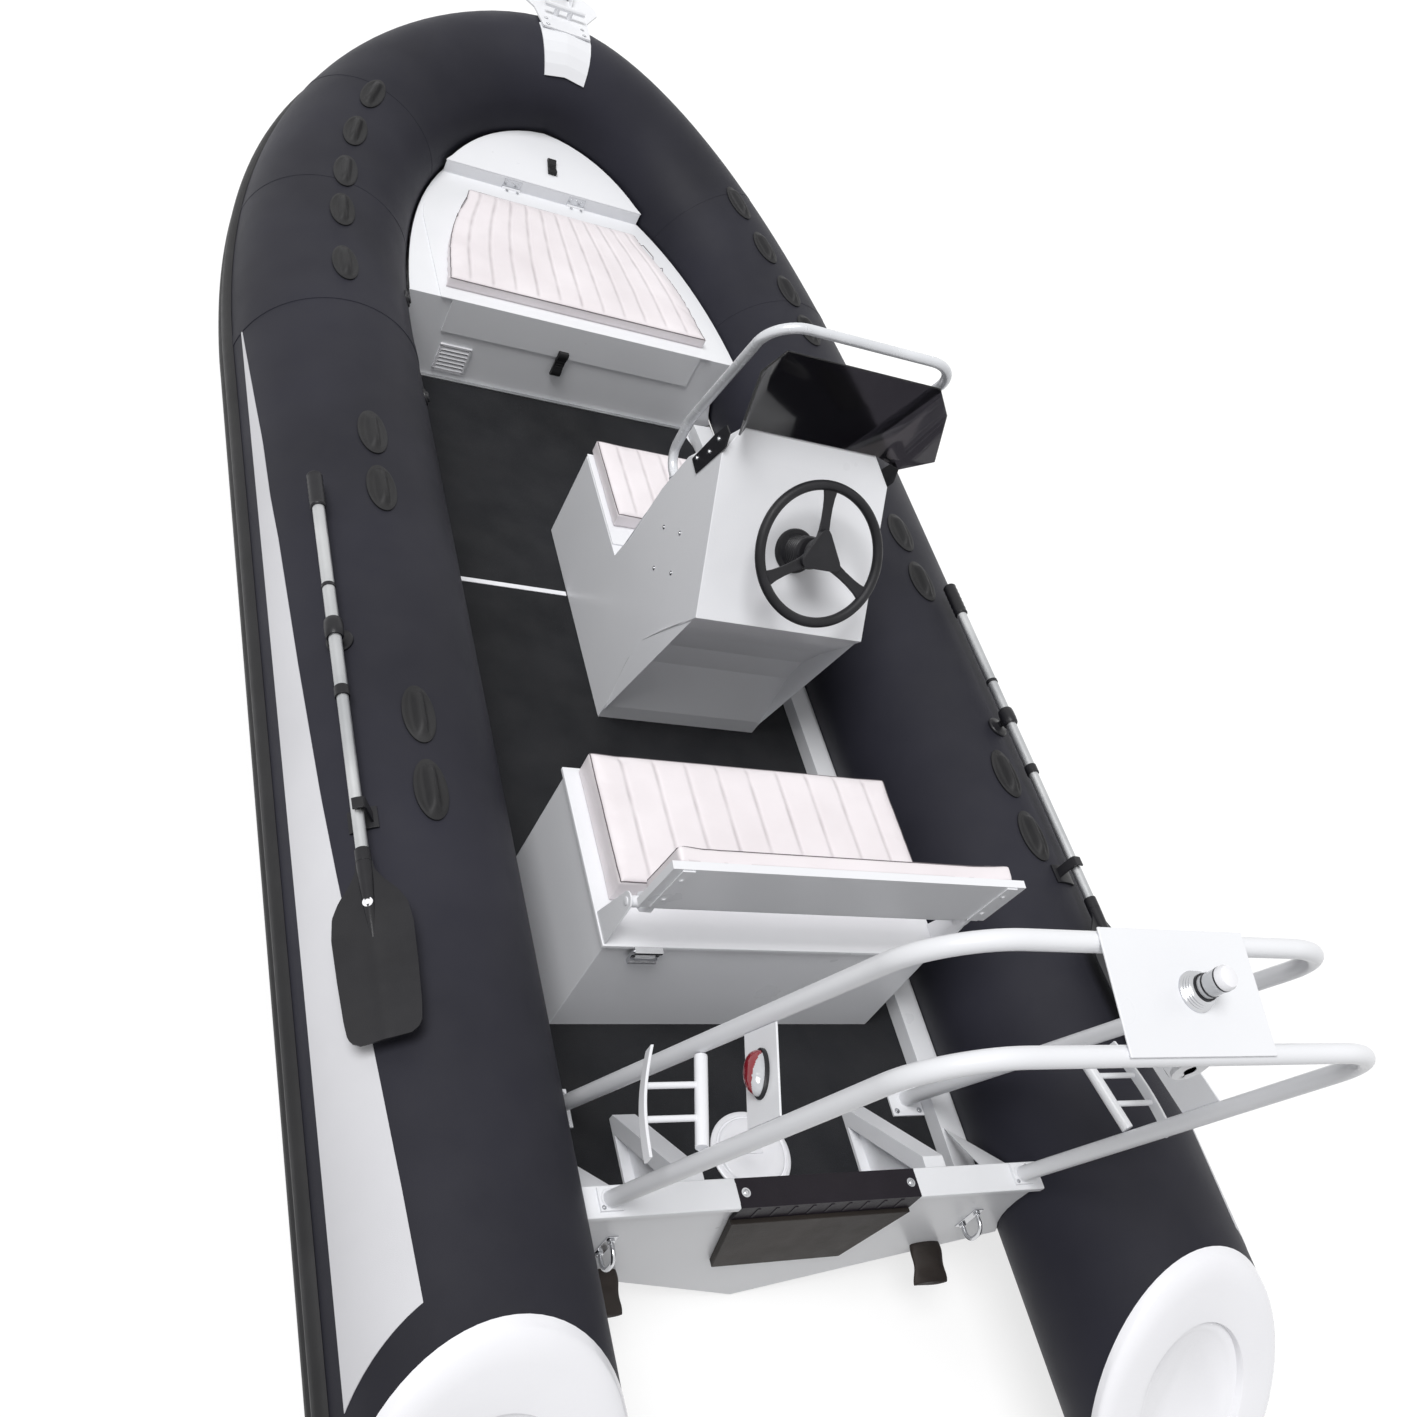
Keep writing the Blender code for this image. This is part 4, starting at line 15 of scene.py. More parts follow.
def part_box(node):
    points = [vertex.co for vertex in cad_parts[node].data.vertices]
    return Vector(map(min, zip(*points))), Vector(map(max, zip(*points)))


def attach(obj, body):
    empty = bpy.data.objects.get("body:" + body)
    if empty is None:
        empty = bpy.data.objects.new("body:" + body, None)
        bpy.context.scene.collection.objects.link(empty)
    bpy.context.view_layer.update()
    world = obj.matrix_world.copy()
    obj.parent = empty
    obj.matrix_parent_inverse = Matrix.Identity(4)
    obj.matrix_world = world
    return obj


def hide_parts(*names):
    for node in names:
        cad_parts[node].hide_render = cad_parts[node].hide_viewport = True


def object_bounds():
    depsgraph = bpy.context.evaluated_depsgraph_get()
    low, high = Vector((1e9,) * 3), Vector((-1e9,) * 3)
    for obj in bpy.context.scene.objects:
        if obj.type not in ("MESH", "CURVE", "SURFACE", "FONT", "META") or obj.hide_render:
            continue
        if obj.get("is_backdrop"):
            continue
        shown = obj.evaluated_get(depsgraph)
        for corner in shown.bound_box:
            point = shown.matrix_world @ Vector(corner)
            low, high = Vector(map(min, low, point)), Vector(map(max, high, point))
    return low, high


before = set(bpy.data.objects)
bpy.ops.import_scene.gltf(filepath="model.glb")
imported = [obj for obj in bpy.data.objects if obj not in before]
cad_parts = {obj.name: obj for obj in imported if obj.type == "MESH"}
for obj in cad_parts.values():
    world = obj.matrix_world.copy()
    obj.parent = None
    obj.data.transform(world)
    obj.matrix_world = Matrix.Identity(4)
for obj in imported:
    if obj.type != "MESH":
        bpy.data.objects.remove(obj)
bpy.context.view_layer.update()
ORIGIN = Vector((0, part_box("transom")[1].y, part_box("deck_aft")[1].z))

# The view: a camera above the port quarter that looks forward and down over the whole boat.
# Its lens takes in the boat from the stern arch to the bow step.
CAMERA_PLACE = Vector((-1.8329, -1.1373, 2.8655))
CAMERA_RIGHT = Vector((0.86183, -0.25238, 0.43995))
CAMERA_FORWARD = Vector((0.49762, 0.58850, -0.63721))
CAMERA_LENS = 39.97
CAMERA_SENSOR = 36
CAMERA_SHIFT = (-0.0339, 0.0039)
camera_data = bpy.data.cameras.new("camera")
camera_data.lens = CAMERA_LENS
camera_data.sensor_width = CAMERA_SENSOR
camera_data.shift_x, camera_data.shift_y = CAMERA_SHIFT
camera = bpy.data.objects.new("camera", camera_data)
camera_axes = Matrix((CAMERA_RIGHT, CAMERA_RIGHT.cross(CAMERA_FORWARD), -CAMERA_FORWARD)).transposed()
camera.matrix_world = Matrix.Translation(ORIGIN + CAMERA_PLACE) @ camera_axes.to_4x4()
bpy.context.scene.collection.objects.link(camera)
bpy.context.scene.camera = camera
bpy.context.scene.view_settings.view_transform = "Standard"

# The studio: a broad soft sun high over the port side, an even sky and a white floor.
# Seen straight, in gloss or through glass, floor and sky are white; the floor keeps the boat's shadow.
SUN_TOWARDS = Vector((-0.44, -0.14, 0.89))
SUN_STRENGTH = 2.3
SUN_SPREAD = radians(28)
SKY_STRENGTH = 0.48
FLOOR_SIZE = 60
FLOOR_LIT = 0.34
FLOOR_GLOW = 0.72


def feed(tree, value, socket):
    """Link a node's output to a socket, or set the socket where the value is a plain one."""
    if isinstance(value, bpy.types.NodeSocket):
        tree.links.new(value, socket)
    else:
        socket.default_value = value


def add_math(tree, operation, first, second, clamp=False):
    node = tree.nodes.new("ShaderNodeMath")
    node.operation = operation
    node.use_clamp = clamp
    feed(tree, first, node.inputs[0])
    feed(tree, second, node.inputs[1])
    return node.outputs[0]


def light_path_switch(tree):
    """A value of 1 where a ray comes from the camera, a glossy surface or glass, and else 0."""
    path = tree.nodes.new("ShaderNodeLightPath").outputs
    both = add_math(tree, "ADD", path["Is Camera Ray"], path["Is Glossy Ray"])
    return add_math(tree, "ADD", both, path["Is Transmission Ray"], clamp=True)


def switch_shaders(tree, lit, seen, output):
    """Let one shader light the boat, and another be seen straight, in gloss or through glass."""
    mix = tree.nodes.new("ShaderNodeMixShader")
    for value, socket in zip((light_path_switch(tree), lit, seen), mix.inputs):
        tree.links.new(value, socket)
    tree.links.new(mix.outputs[0], tree.nodes[output].inputs["Surface"])


sun_data = bpy.data.lights.new("sun", "SUN")
sun_data.energy = SUN_STRENGTH
sun_data.angle = SUN_SPREAD
sun = bpy.data.objects.new("sun", sun_data)
sun.rotation_euler = SUN_TOWARDS.to_track_quat("Z", "Y").to_euler()
bpy.context.scene.collection.objects.link(sun)

sky = bpy.data.worlds.new("sky")
sky.use_nodes = True
sky_tree = sky.node_tree
sky_light = sky_tree.nodes["Background"]
sky_light.inputs["Color"].default_value = (1, 1, 1, 1)
sky_light.inputs["Strength"].default_value = SKY_STRENGTH
sky_seen = sky_tree.nodes.new("ShaderNodeBackground")
sky_seen.inputs["Color"].default_value = (1, 1, 1, 1)
switch_shaders(sky_tree, sky_light.outputs[0], sky_seen.outputs[0], "World Output")
bpy.context.scene.world = sky

floor_paint = bpy.data.materials.new("studio_floor")
floor_paint.use_nodes = True
floor_tree = floor_paint.node_tree
floor_tree.nodes.remove(floor_tree.nodes["Principled BSDF"])
floor_lit = floor_tree.nodes.new("ShaderNodeBsdfDiffuse")
floor_lit.inputs["Color"].default_value = (FLOOR_LIT, FLOOR_LIT, FLOOR_LIT, 1)
floor_glow = floor_tree.nodes.new("ShaderNodeEmission")
floor_glow.inputs["Strength"].default_value = FLOOR_GLOW
floor_seen = floor_tree.nodes.new("ShaderNodeAddShader")
floor_tree.links.new(floor_lit.outputs[0], floor_seen.inputs[0])
floor_tree.links.new(floor_glow.outputs[0], floor_seen.inputs[1])
switch_shaders(floor_tree, floor_lit.outputs[0], floor_seen.outputs[0], "Material Output")
floor_bm = bmesh.new()
bmesh.ops.create_grid(floor_bm, x_segments=1, y_segments=1, size=FLOOR_SIZE / 2)
floor_mesh = bpy.data.meshes.new("floor")
floor_bm.to_mesh(floor_mesh)
floor_bm.free()
floor_mesh.materials.append(floor_paint)
floor = bpy.data.objects.new("floor", floor_mesh)
bpy.context.scene.collection.objects.link(floor)
floor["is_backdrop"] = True

# Air chambers: two straight side chambers and a bow chamber of coated fabric, matt and nearly black.
# They are welded from panels, and tapes cover the joints where one chamber meets the next.
TUBE_RADIUS = 0.255
TUBE_SPACING = 0.793
TUBE_HEIGHT = 0.175
STRAIGHT_LENGTH = 2.448
BOW_CENTRE = 3.858
BOW_RISE = 0.322
BOW_FULLNESS = 1.413
BOW_BLUNTNESS = 0.208
BOW_TIP_RADIUS = 0.192
STERN_OVERHANG = 0.500
STERN_RAKE = radians(41)
TUBE_SIDES = 72
TUBE_STEP = 0.090
BOW_RINGS = 96
CURVE_STEPS = 200
SEAM_GAP = 0.0004
TAPE_WIDTH = 0.044
TAPE_LIFT = 0.0016
BOW_SEAMS = (3.020, 3.560)
SIDES = ((-1, "port"), (1, "starboard"))
TAGS = {-1: "port", 1: "stbd"}
bow_controls = (Vector((TUBE_SPACING, STRAIGHT_LENGTH, TUBE_HEIGHT)),
                Vector((TUBE_SPACING, STRAIGHT_LENGTH + BOW_FULLNESS, TUBE_HEIGHT)),
                Vector((BOW_BLUNTNESS, BOW_CENTRE, TUBE_HEIGHT + BOW_RISE)),
                Vector((0, BOW_CENTRE, TUBE_HEIGHT + BOW_RISE)))


def bow_curve(t):
    a, b, c, d = bow_controls
    u = 1 - t
    return a * u ** 3 + b * (3 * t * u ** 2) + c * (3 * t ** 2 * u) + d * t ** 3


def bow_tangent(t):
    a, b, c, d = bow_controls
    u = 1 - t
    return ((b - a) * (3 * u ** 2) + (c - b) * (6 * t * u) + (d - c) * (3 * t ** 2)).normalized()


bow_lengths = [0.0]
for step in range(CURVE_STEPS):
    piece = (bow_curve((step + 1) / CURVE_STEPS) - bow_curve(step / CURVE_STEPS)).length
    bow_lengths.append(bow_lengths[-1] + piece)
TUBE_END = STRAIGHT_LENGTH + bow_lengths[-1]


def bow_share(station):
    """How far along the bow's curve a distance along the tube comes, from 0 to 1."""
    wanted = max(min(station - STRAIGHT_LENGTH, bow_lengths[-1]), 0)
    low = next(k for k in range(CURVE_STEPS) if bow_lengths[k + 1] >= wanted)
    part = (wanted - bow_lengths[low]) / (bow_lengths[low + 1] - bow_lengths[low])
    return (low + part) / CURVE_STEPS


def tube_radius(station):
    return TUBE_RADIUS + (BOW_TIP_RADIUS - TUBE_RADIUS) * bow_share(station)


def tube_frame(station, side):
    """Centre, outboard and upward directions of the tube at a distance along it from the transom."""
    if station <= STRAIGHT_LENGTH:
        centre, tangent = Vector((TUBE_SPACING, station, TUBE_HEIGHT)), Vector((0, 1, 0))
    else:
        centre, tangent = bow_curve(bow_share(station)), bow_tangent(bow_share(station))
    outboard = Vector((tangent.y, -tangent.x, 0)).normalized()
    up = outboard.cross(tangent)
    return [Vector((side * v.x, v.y, v.z)) for v in (centre, outboard, up)]


def on_tube(station, angle, lift, side):
    """A point over the tube's skin, its angle counted from outboard (0) over the top (90 degrees) inboard."""
    centre, outboard, up = tube_frame(station, side)
    return centre + (outboard * cos(angle) + up * sin(angle)) * (tube_radius(station) + lift)


def stern_plane(height):
    """Where the raked end of a side chamber cuts a height."""
    return -STERN_OVERHANG + (height - TUBE_HEIGHT) * tan(STERN_RAKE)


def shade(red, green, blue):
    """A colour given as it shows on a screen, 0 to 255, as the linear light a shader takes."""
    return [((value / 255 + 0.055) / 1.055) ** 2.4 if value > 10 else value / 3295
            for value in (red, green, blue)] + [1]


def make_group(name, inputs, outputs):
    group = bpy.data.node_groups.new(name, "ShaderNodeTree")
    for label, kind, value in inputs:
        group.interface.new_socket(name=label, in_out="INPUT", socket_type=kind).default_value = value
    for label, kind in outputs:
        group.interface.new_socket(name=label, in_out="OUTPUT", socket_type=kind)
    return group, group.nodes.new("NodeGroupInput"), group.nodes.new("NodeGroupOutput")


def add_noise(tree, coordinates, scale, detail):
    texture = tree.nodes.new("ShaderNodeTexNoise")
    texture.inputs["Detail"].default_value = detail
    tree.links.new(coordinates.outputs["Object"], texture.inputs["Vector"])
    tree.links.new(scale, texture.inputs["Scale"])
    return texture.outputs[0]


def add_mix(tree, factor, first, second):
    """A blend of two colours by a factor."""
    node = tree.nodes.new("ShaderNodeMix")
    node.data_type = "RGBA"
    feed(tree, factor, node.inputs["Factor"])
    feed(tree, first, node.inputs[6])
    feed(tree, second, node.inputs[7])
    return node.outputs[2]


# Worn skin: clouds between two colours and two roughnesses, and a fine grain for the bump
WORN_SKIN, skin_in, skin_out = make_group(
    "worn_skin",
    (("Dark", "NodeSocketColor", (0, 0, 0, 1)), ("Light", "NodeSocketColor", (1, 1, 1, 1)),
     ("Gloss", "NodeSocketFloat", 0.3), ("Matt", "NodeSocketFloat", 0.5),
     ("Cloud scale", "NodeSocketFloat", 3), ("Grain scale", "NodeSocketFloat", 200)),
    (("Colour", "NodeSocketColor"), ("Roughness", "NodeSocketFloat"), ("Height", "NodeSocketFloat")))
places = WORN_SKIN.nodes.new("ShaderNodeTexCoord")
cloud = add_noise(WORN_SKIN, places, skin_in.outputs["Cloud scale"], 5)
spread = WORN_SKIN.nodes.new("ShaderNodeMapRange")
spread.inputs["From Min"].default_value = 0.3
spread.inputs["From Max"].default_value = 0.7
WORN_SKIN.links.new(cloud, spread.inputs["Value"])
tint = add_mix(WORN_SKIN, spread.outputs[0], skin_in.outputs["Dark"], skin_in.outputs["Light"])
WORN_SKIN.links.new(tint, skin_out.inputs["Colour"])
finer = add_math(WORN_SKIN, "MULTIPLY", skin_in.outputs["Cloud scale"], 6)
smear = add_noise(WORN_SKIN, places, finer, 3)
sheen = WORN_SKIN.nodes.new("ShaderNodeMapRange")
WORN_SKIN.links.new(smear, sheen.inputs["Value"])
WORN_SKIN.links.new(skin_in.outputs["Gloss"], sheen.inputs["To Min"])
WORN_SKIN.links.new(skin_in.outputs["Matt"], sheen.inputs["To Max"])
WORN_SKIN.links.new(sheen.outputs[0], skin_out.inputs["Roughness"])
grain = add_noise(WORN_SKIN, places, skin_in.outputs["Grain scale"], 2)
WORN_SKIN.links.new(grain, skin_out.inputs["Height"])

# Dust: a pale film that settles on what faces up, in patches
DUST, dust_in, dust_out = make_group(
    "settled_dust",
    (("Colour", "NodeSocketColor", (0, 0, 0, 1)), ("Dust", "NodeSocketColor", shade(190, 188, 182)),
     ("Amount", "NodeSocketFloat", 0.1), ("Scale", "NodeSocketFloat", 9)),
    (("Colour", "NodeSocketColor"),))
upward = DUST.nodes.new("ShaderNodeNewGeometry")
axes = DUST.nodes.new("ShaderNodeSeparateXYZ")
DUST.links.new(upward.outputs["Normal"], axes.inputs[0])
patches = add_noise(DUST, DUST.nodes.new("ShaderNodeTexCoord"), dust_in.outputs["Scale"], 6)
settled = add_math(DUST, "MULTIPLY", axes.outputs["Z"], patches, clamp=True)
film = add_math(DUST, "MULTIPLY", settled, dust_in.outputs["Amount"])
dusted = add_mix(DUST, film, dust_in.outputs["Colour"], dust_in.outputs["Dust"])
DUST.links.new(dusted, dust_out.inputs["Colour"])


def skin_material(name, dark, light, gloss, matt, clouds, grains, depth, dust=0.0, metallic=0.0, coat=0.0,
                  shine=0.5):
    """A finish with cloudy colour, uneven gloss, a grain of a given depth and some dust."""
    made = bpy.data.materials.new(name)
    made.use_nodes = True
    tree = made.node_tree
    shader = tree.nodes["Principled BSDF"]
    shader.inputs["Metallic"].default_value = metallic
    shader.inputs["Coat Weight"].default_value = coat
    shader.inputs["Specular IOR Level"].default_value = shine
    skin = tree.nodes.new("ShaderNodeGroup")
    skin.node_tree = WORN_SKIN
    for label, value in (("Dark", shade(*dark)), ("Light", shade(*light)), ("Gloss", gloss), ("Matt", matt),
                         ("Cloud scale", clouds), ("Grain scale", grains)):
        skin.inputs[label].default_value = value
    film = tree.nodes.new("ShaderNodeGroup")
    film.node_tree = DUST
    film.inputs["Amount"].default_value = dust
    tree.links.new(skin.outputs["Colour"], film.inputs["Colour"])
    tree.links.new(film.outputs["Colour"], shader.inputs["Base Color"])
    tree.links.new(skin.outputs["Roughness"], shader.inputs["Roughness"])
    bump = tree.nodes.new("ShaderNodeBump")
    bump.inputs["Distance"].default_value = depth
    tree.links.new(skin.outputs["Height"], bump.inputs["Height"])
    tree.links.new(bump.outputs["Normal"], shader.inputs["Normal"])
    return made


def sweep(bm, rings, closed=False):
    """Bridge a chain of rings that have the same number of points; an open chain gets flat ends."""
    loops = []
    for ring in rings:
        circle = bmesh.ops.create_circle(bm, segments=len(ring), radius=1)["verts"]
        for vertex, point in zip(circle, ring):
            vertex.co = point
        loops.append({edge for vertex in circle for edge in vertex.link_edges})
    for near, far in list(zip(loops[:-1], loops[1:])) + ([(loops[-1], loops[0])] if closed else []):
        bmesh.ops.bridge_loops(bm, edges=list(near | far))
    if not closed:
        for end in (loops[0], loops[-1]):
            bmesh.ops.edgeloop_fill(bm, edges=list(end))


def round_edges(made, width):
    """Break a piece's edges with a small round."""
    edges = made.modifiers.new("rounded_edges", "BEVEL")
    edges.width = width
    edges.segments = 3
    edges.limit_method = "ANGLE"
    edges.angle_limit = radians(35)
    edges.harden_normals = True


def finish(name, bm, paint, body, slot, *nodes, sharp=35, rounded=0.0):
    """Turn a bmesh drawn in the boat's frame into a piece that rides on a body."""
    bmesh.ops.recalc_face_normals(bm, faces=bm.faces)
    bmesh.ops.translate(bm, verts=bm.verts, vec=ORIGIN)
    mesh = bpy.data.meshes.new(name)
    bm.to_mesh(mesh)
    bm.free()
    mesh.materials.append(paint)
    mesh.shade_smooth()
    made = bpy.data.objects.new(name, mesh)
    bpy.context.scene.collection.objects.link(made)
    if rounded:
        round_edges(made, rounded)
    else:
        mesh.set_sharp_from_angle(angle=radians(sharp))
    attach(made, body)
    if nodes:
        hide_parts(*nodes)
    return made


tube_fabric = skin_material(
    "tube_fabric", (33, 33, 40), (44, 44, 53), 0.44, 0.58, 1.6, 900, 0.0004, dust=0.02, shine=0.12)
tube_turns = [2 * pi * k / TUBE_SIDES for k in range(TUBE_SIDES)]


def tube_ring(station, side):
    return [on_tube(station, turn, 0, side) for turn in tube_turns]


def raked_ring(side, size_at, offset):
    """A ring on the raked stern plane; size_at gives its radius at an angle, offset moves it aft."""
    ring = []
    for turn in tube_turns:
        size = size_at(turn)
        height = TUBE_HEIGHT + size * sin(turn)
        ring.append(Vector((side * (TUBE_SPACING + size * cos(turn)), stern_plane(height) - offset, height)))
    return ring


def tape(bm, side, station, width=TAPE_WIDTH, lift=TAPE_LIFT):
    """A flat band welded round the tube over a joint."""
    edges = ((-1, -lift), (-0.94, lift), (0, lift * 1.1), (0.94, lift), (1, -lift), (0, -lift * 2))
    sweep(bm, [[on_tube(station + width / 2 * place, turn, rise, side) for place, rise in edges]
               for turn in tube_turns], closed=True)


rake_top = stern_plane(TUBE_HEIGHT + TUBE_RADIUS)
ring_count = int((STRAIGHT_LENGTH - rake_top) / TUBE_STEP)
first_station = rake_top + TUBE_STEP / 9
straight_run = STRAIGHT_LENGTH - SEAM_GAP - first_station
for side, word in SIDES:
    rings = [raked_ring(side, lambda turn: TUBE_RADIUS, 0)]
    rings += [tube_ring(first_station + straight_run * k / ring_count, side) for k in range(ring_count + 1)]
    bm = bmesh.new()
    sweep(bm, rings)
    finish(word + "_chamber", bm, tube_fabric, "hull", "tube_fabric", "tube_" + TAGS[side])

rings = []
for k in range(BOW_RINGS + 1):
    share = 2 * k / BOW_RINGS - 1
    station = TUBE_END - abs(share) * (TUBE_END - STRAIGHT_LENGTH)
    ring = tube_ring(station, -1 if share < 0 else 1)
    if share >= 0:
        # the starboard rings run the other way round, so that they follow the port ones
        ring = ring[TUBE_SIDES // 2::-1] + ring[:TUBE_SIDES // 2:-1]
        ring = ring[1:] + ring[:1]
    rings.append(ring)
bm = bmesh.new()
sweep(bm, rings)
finish("bow_chamber", bm, tube_fabric, "hull", "tube_fabric", "tube_bow")

bm = bmesh.new()
for side in (-1, 1):
    tape(bm, side, STRAIGHT_LENGTH)
    for station in BOW_SEAMS:
        tape(bm, side, station, width=TAPE_WIDTH / 2, lift=TAPE_LIFT / 2)
finish("chamber_tapes", bm, tube_fabric, "hull", "tube_fabric")

# Side stripes: one pale grey panel a side, glued over the outboard shoulder of the straight tube.
# Each is widest at the stern and tapers to a point where the bow starts to turn in.
STRIPE_LIFT = 0.0012
STRIPE_LOW = radians(18)
STRIPE_SETBACK = 0.085
STRIPE_POINT = 2.430
stripe_top_angles = ((0, 57), (0.075, 54.5), (0.15, 51.5), (0.21, 49), (0.33, 43), (0.41, 39.5), (0.55, 35),
                     (0.70, 31), (0.755, 28.5), (0.83, 27), (1, 19))
stripe_fabric = skin_material(
    "stripe_fabric", (196, 196, 200), (214, 214, 218), 0.40, 0.55, 1.4, 900, 0.0004)


def between(table, share):
    """A value read between the rows of a table of shares and values."""
    for (low, value), (high, following) in zip(table[:-1], table[1:]):
        if share <= high:
            return value + (following - value) * (share - low) / (high - low)
    return table[-1][1]


def slab(bm, along, across, place):
    """A closed slab whose every point is put in place by a function of its shares along, across and up."""
    low = bmesh.ops.create_grid(bm, x_segments=along, y_segments=across, size=0.5)["verts"]
    faces = list({face for vertex in low for face in vertex.link_faces})
    raised = bmesh.ops.extrude_face_region(bm, geom=faces, use_keep_orig=True)["geom"]
    high = [item for item in raised if isinstance(item, bmesh.types.BMVert)]
    for level, vertices in enumerate((low, high)):
        for vertex in vertices:
            vertex.co = place(vertex.co.x + 0.5, vertex.co.y + 0.5, level)


for side, word in SIDES:
    def stripe_place(u, v, level):
        angle = STRIPE_LOW + (radians(between(stripe_top_angles, u)) - STRIPE_LOW) * v
        start = stern_plane(TUBE_HEIGHT + TUBE_RADIUS * sin(angle)) + STRIPE_SETBACK
        lift = STRIPE_LIFT if level else -STRIPE_LIFT
        return on_tube(start + (STRIPE_POINT - start) * u, angle, lift, side)

    bm = bmesh.new()
    slab(bm, 80, 12, stripe_place)
    finish(word + "_stripe", bm, stripe_fabric, "hull", "tube_fabric")

# End caps: glossy white mouldings glued over the raked ends of the side chambers.
# Each has a broad rounded rim, an arched recess and a second, smaller recess above a ledge.
CAP_DEPTH = 0.040
CAP_OVER_TUBE = 0.0015
CAP_SEAT = 0.0005
CAP_RIM = 0.034
CAP_RIM_DEPTH = CAP_RIM * 0.6
CAP_RIM_STEPS = 5
RECESS_HALF = 0.155
RECESS_LOW = 0.165
RECESS_DEPTH = 0.021
RECESS_ROUND = 0.010
RECESS_SQUARENESS = 8
LEDGE_HALF = RECESS_HALF * 0.80
LEDGE_LOW = RECESS_LOW * 0.55
white_moulding = skin_material(
    "white_moulding", (236, 236, 240), (243, 243, 247), 0.16, 0.26, 3, 150, 0.0002, dust=0.03, coat=0.4)


def arch_size(half, low):
    """The radius, at an angle, of an arch: a half round over a box with a level foot."""
    def size_at(turn):
        if sin(turn) >= 0:
            return half
        across, down = abs(cos(turn) / half), abs(sin(turn) / low)
        return (across ** RECESS_SQUARENESS + down ** RECESS_SQUARENESS) ** (-1 / RECESS_SQUARENESS)
    return size_at


opening = arch_size(RECESS_HALF, RECESS_LOW)
ledge = arch_size(LEDGE_HALF, LEDGE_LOW)
# outline, inset and depth of each ring of the recess; no two rings lie at one depth
recess_rows = ((opening, -RECESS_ROUND, RECESS_ROUND / 9), (opening, 0, RECESS_ROUND / 3),
               (opening, RECESS_ROUND / 2, RECESS_ROUND), (opening, RECESS_ROUND, RECESS_DEPTH),
               (ledge, -RECESS_ROUND, RECESS_DEPTH * 1.12), (ledge, 0, RECESS_DEPTH * 1.24),
               (ledge, RECESS_ROUND, RECESS_DEPTH * 1.6))
for side, word in SIDES:
    rings = [raked_ring(side, lambda turn: TUBE_RADIUS + CAP_OVER_TUBE, CAP_SEAT)]
    for k in range(CAP_RIM_STEPS + 1):
        roll = pi / 2 * k / CAP_RIM_STEPS
        rings.append(raked_ring(side, lambda turn: TUBE_RADIUS + CAP_OVER_TUBE - CAP_RIM * (1 - cos(roll)),
                                CAP_DEPTH - CAP_RIM_DEPTH * (1 - sin(roll))))
    for size_at, inset, depth in recess_rows:
        rings.append(raked_ring(side, lambda turn: size_at(turn) - inset, CAP_DEPTH - depth))
    bm = bmesh.new()
    sweep(bm, rings)
    finish(word + "_end_cap", bm, white_moulding, "hull", "white_moulding", "end_cap_" + TAGS[side])

# Rubbing strake: an extruded black rubber band with two ribs, glued round the outside of the tube.
# It runs from one end cap round the bow to the other, and takes the knocks of a quay.
STRAKE_START = 0.030
STRAKE_LOW = radians(-13)
STRAKE_HIGH = radians(7)
STRAKE_HEIGHT = 0.020
STRAKE_SEAT = 0.0008
STRAKE_STEPS = 30
STRAKE_BOW_STEPS = 48
strake_shares = ((0, 0), (0.03, 0.38), (0.09, 0.72), (0.18, 0.97), (0.28, 1), (0.38, 0.90), (0.45, 0.62),
                 (0.50, 0.50), (0.55, 0.62), (0.62, 0.86), (0.72, 0.92), (0.83, 0.80), (0.92, 0.50),
                 (0.97, 0.24), (1, 0), (0.5, 0))
black_rubber = skin_material(
    "black_rubber", (26, 26, 28), (38, 38, 40), 0.38, 0.55, 6, 700, 0.0005, dust=0.03, shine=0.2)
strake_run = STRAIGHT_LENGTH - STRAKE_START + STERN_OVERHANG
stations = [STRAKE_START - STERN_OVERHANG + strake_run * k / STRAKE_STEPS for k in range(STRAKE_STEPS)]
stations += [STRAIGHT_LENGTH + (TUBE_END - STRAIGHT_LENGTH) * k / STRAKE_BOW_STEPS
             for k in range(STRAKE_BOW_STEPS + 1)]
rings = []
for side, run in ((-1, stations), (1, list(reversed(stations[:-1])))):
    for station in run:
        rings.append([on_tube(station, STRAKE_LOW + (STRAKE_HIGH - STRAKE_LOW) * v,
                              STRAKE_SEAT + STRAKE_HEIGHT * height, side) for v, height in strake_shares])
bm = bmesh.new()
sweep(bm, rings)
finish("strake_band", bm, black_rubber, "hull", "black_rubber", "rubbing_strake", sharp=50)

# Grab handles: moulded black rubber pads glued along the top of the tubes, each with a raised grip.
# Nine sit on each side, in line with the seats and close together at the bow.
HANDLE_HALF_LENGTH = 0.078
HANDLE_HALF_WIDTH = 0.036
HANDLE_BASE = 0.004
HANDLE_RISE = 0.020
HANDLE_RIM = 0.88
HANDLE_RIM_WIDTH = 0.08
GRIP_LONG = 0.82
GRIP_WIDE = 0.42
handle_stations = (3.50, 3.28, 3.06, 2.86, 2.60, 1.90, 1.70, 1.00, 0.80)


def handle_height(x, y):
    """The pad's height at a place given in shares of its half length and half width."""
    grip = max(0, 1 - (x / GRIP_LONG) ** 4) * max(0, 1 - (y / GRIP_WIDE) ** 2)
    rim = exp(-((sqrt(x * x + y * y) - HANDLE_RIM) / HANDLE_RIM_WIDTH) ** 2)
    return HANDLE_BASE + HANDLE_RISE * grip + HANDLE_BASE / 2 * rim


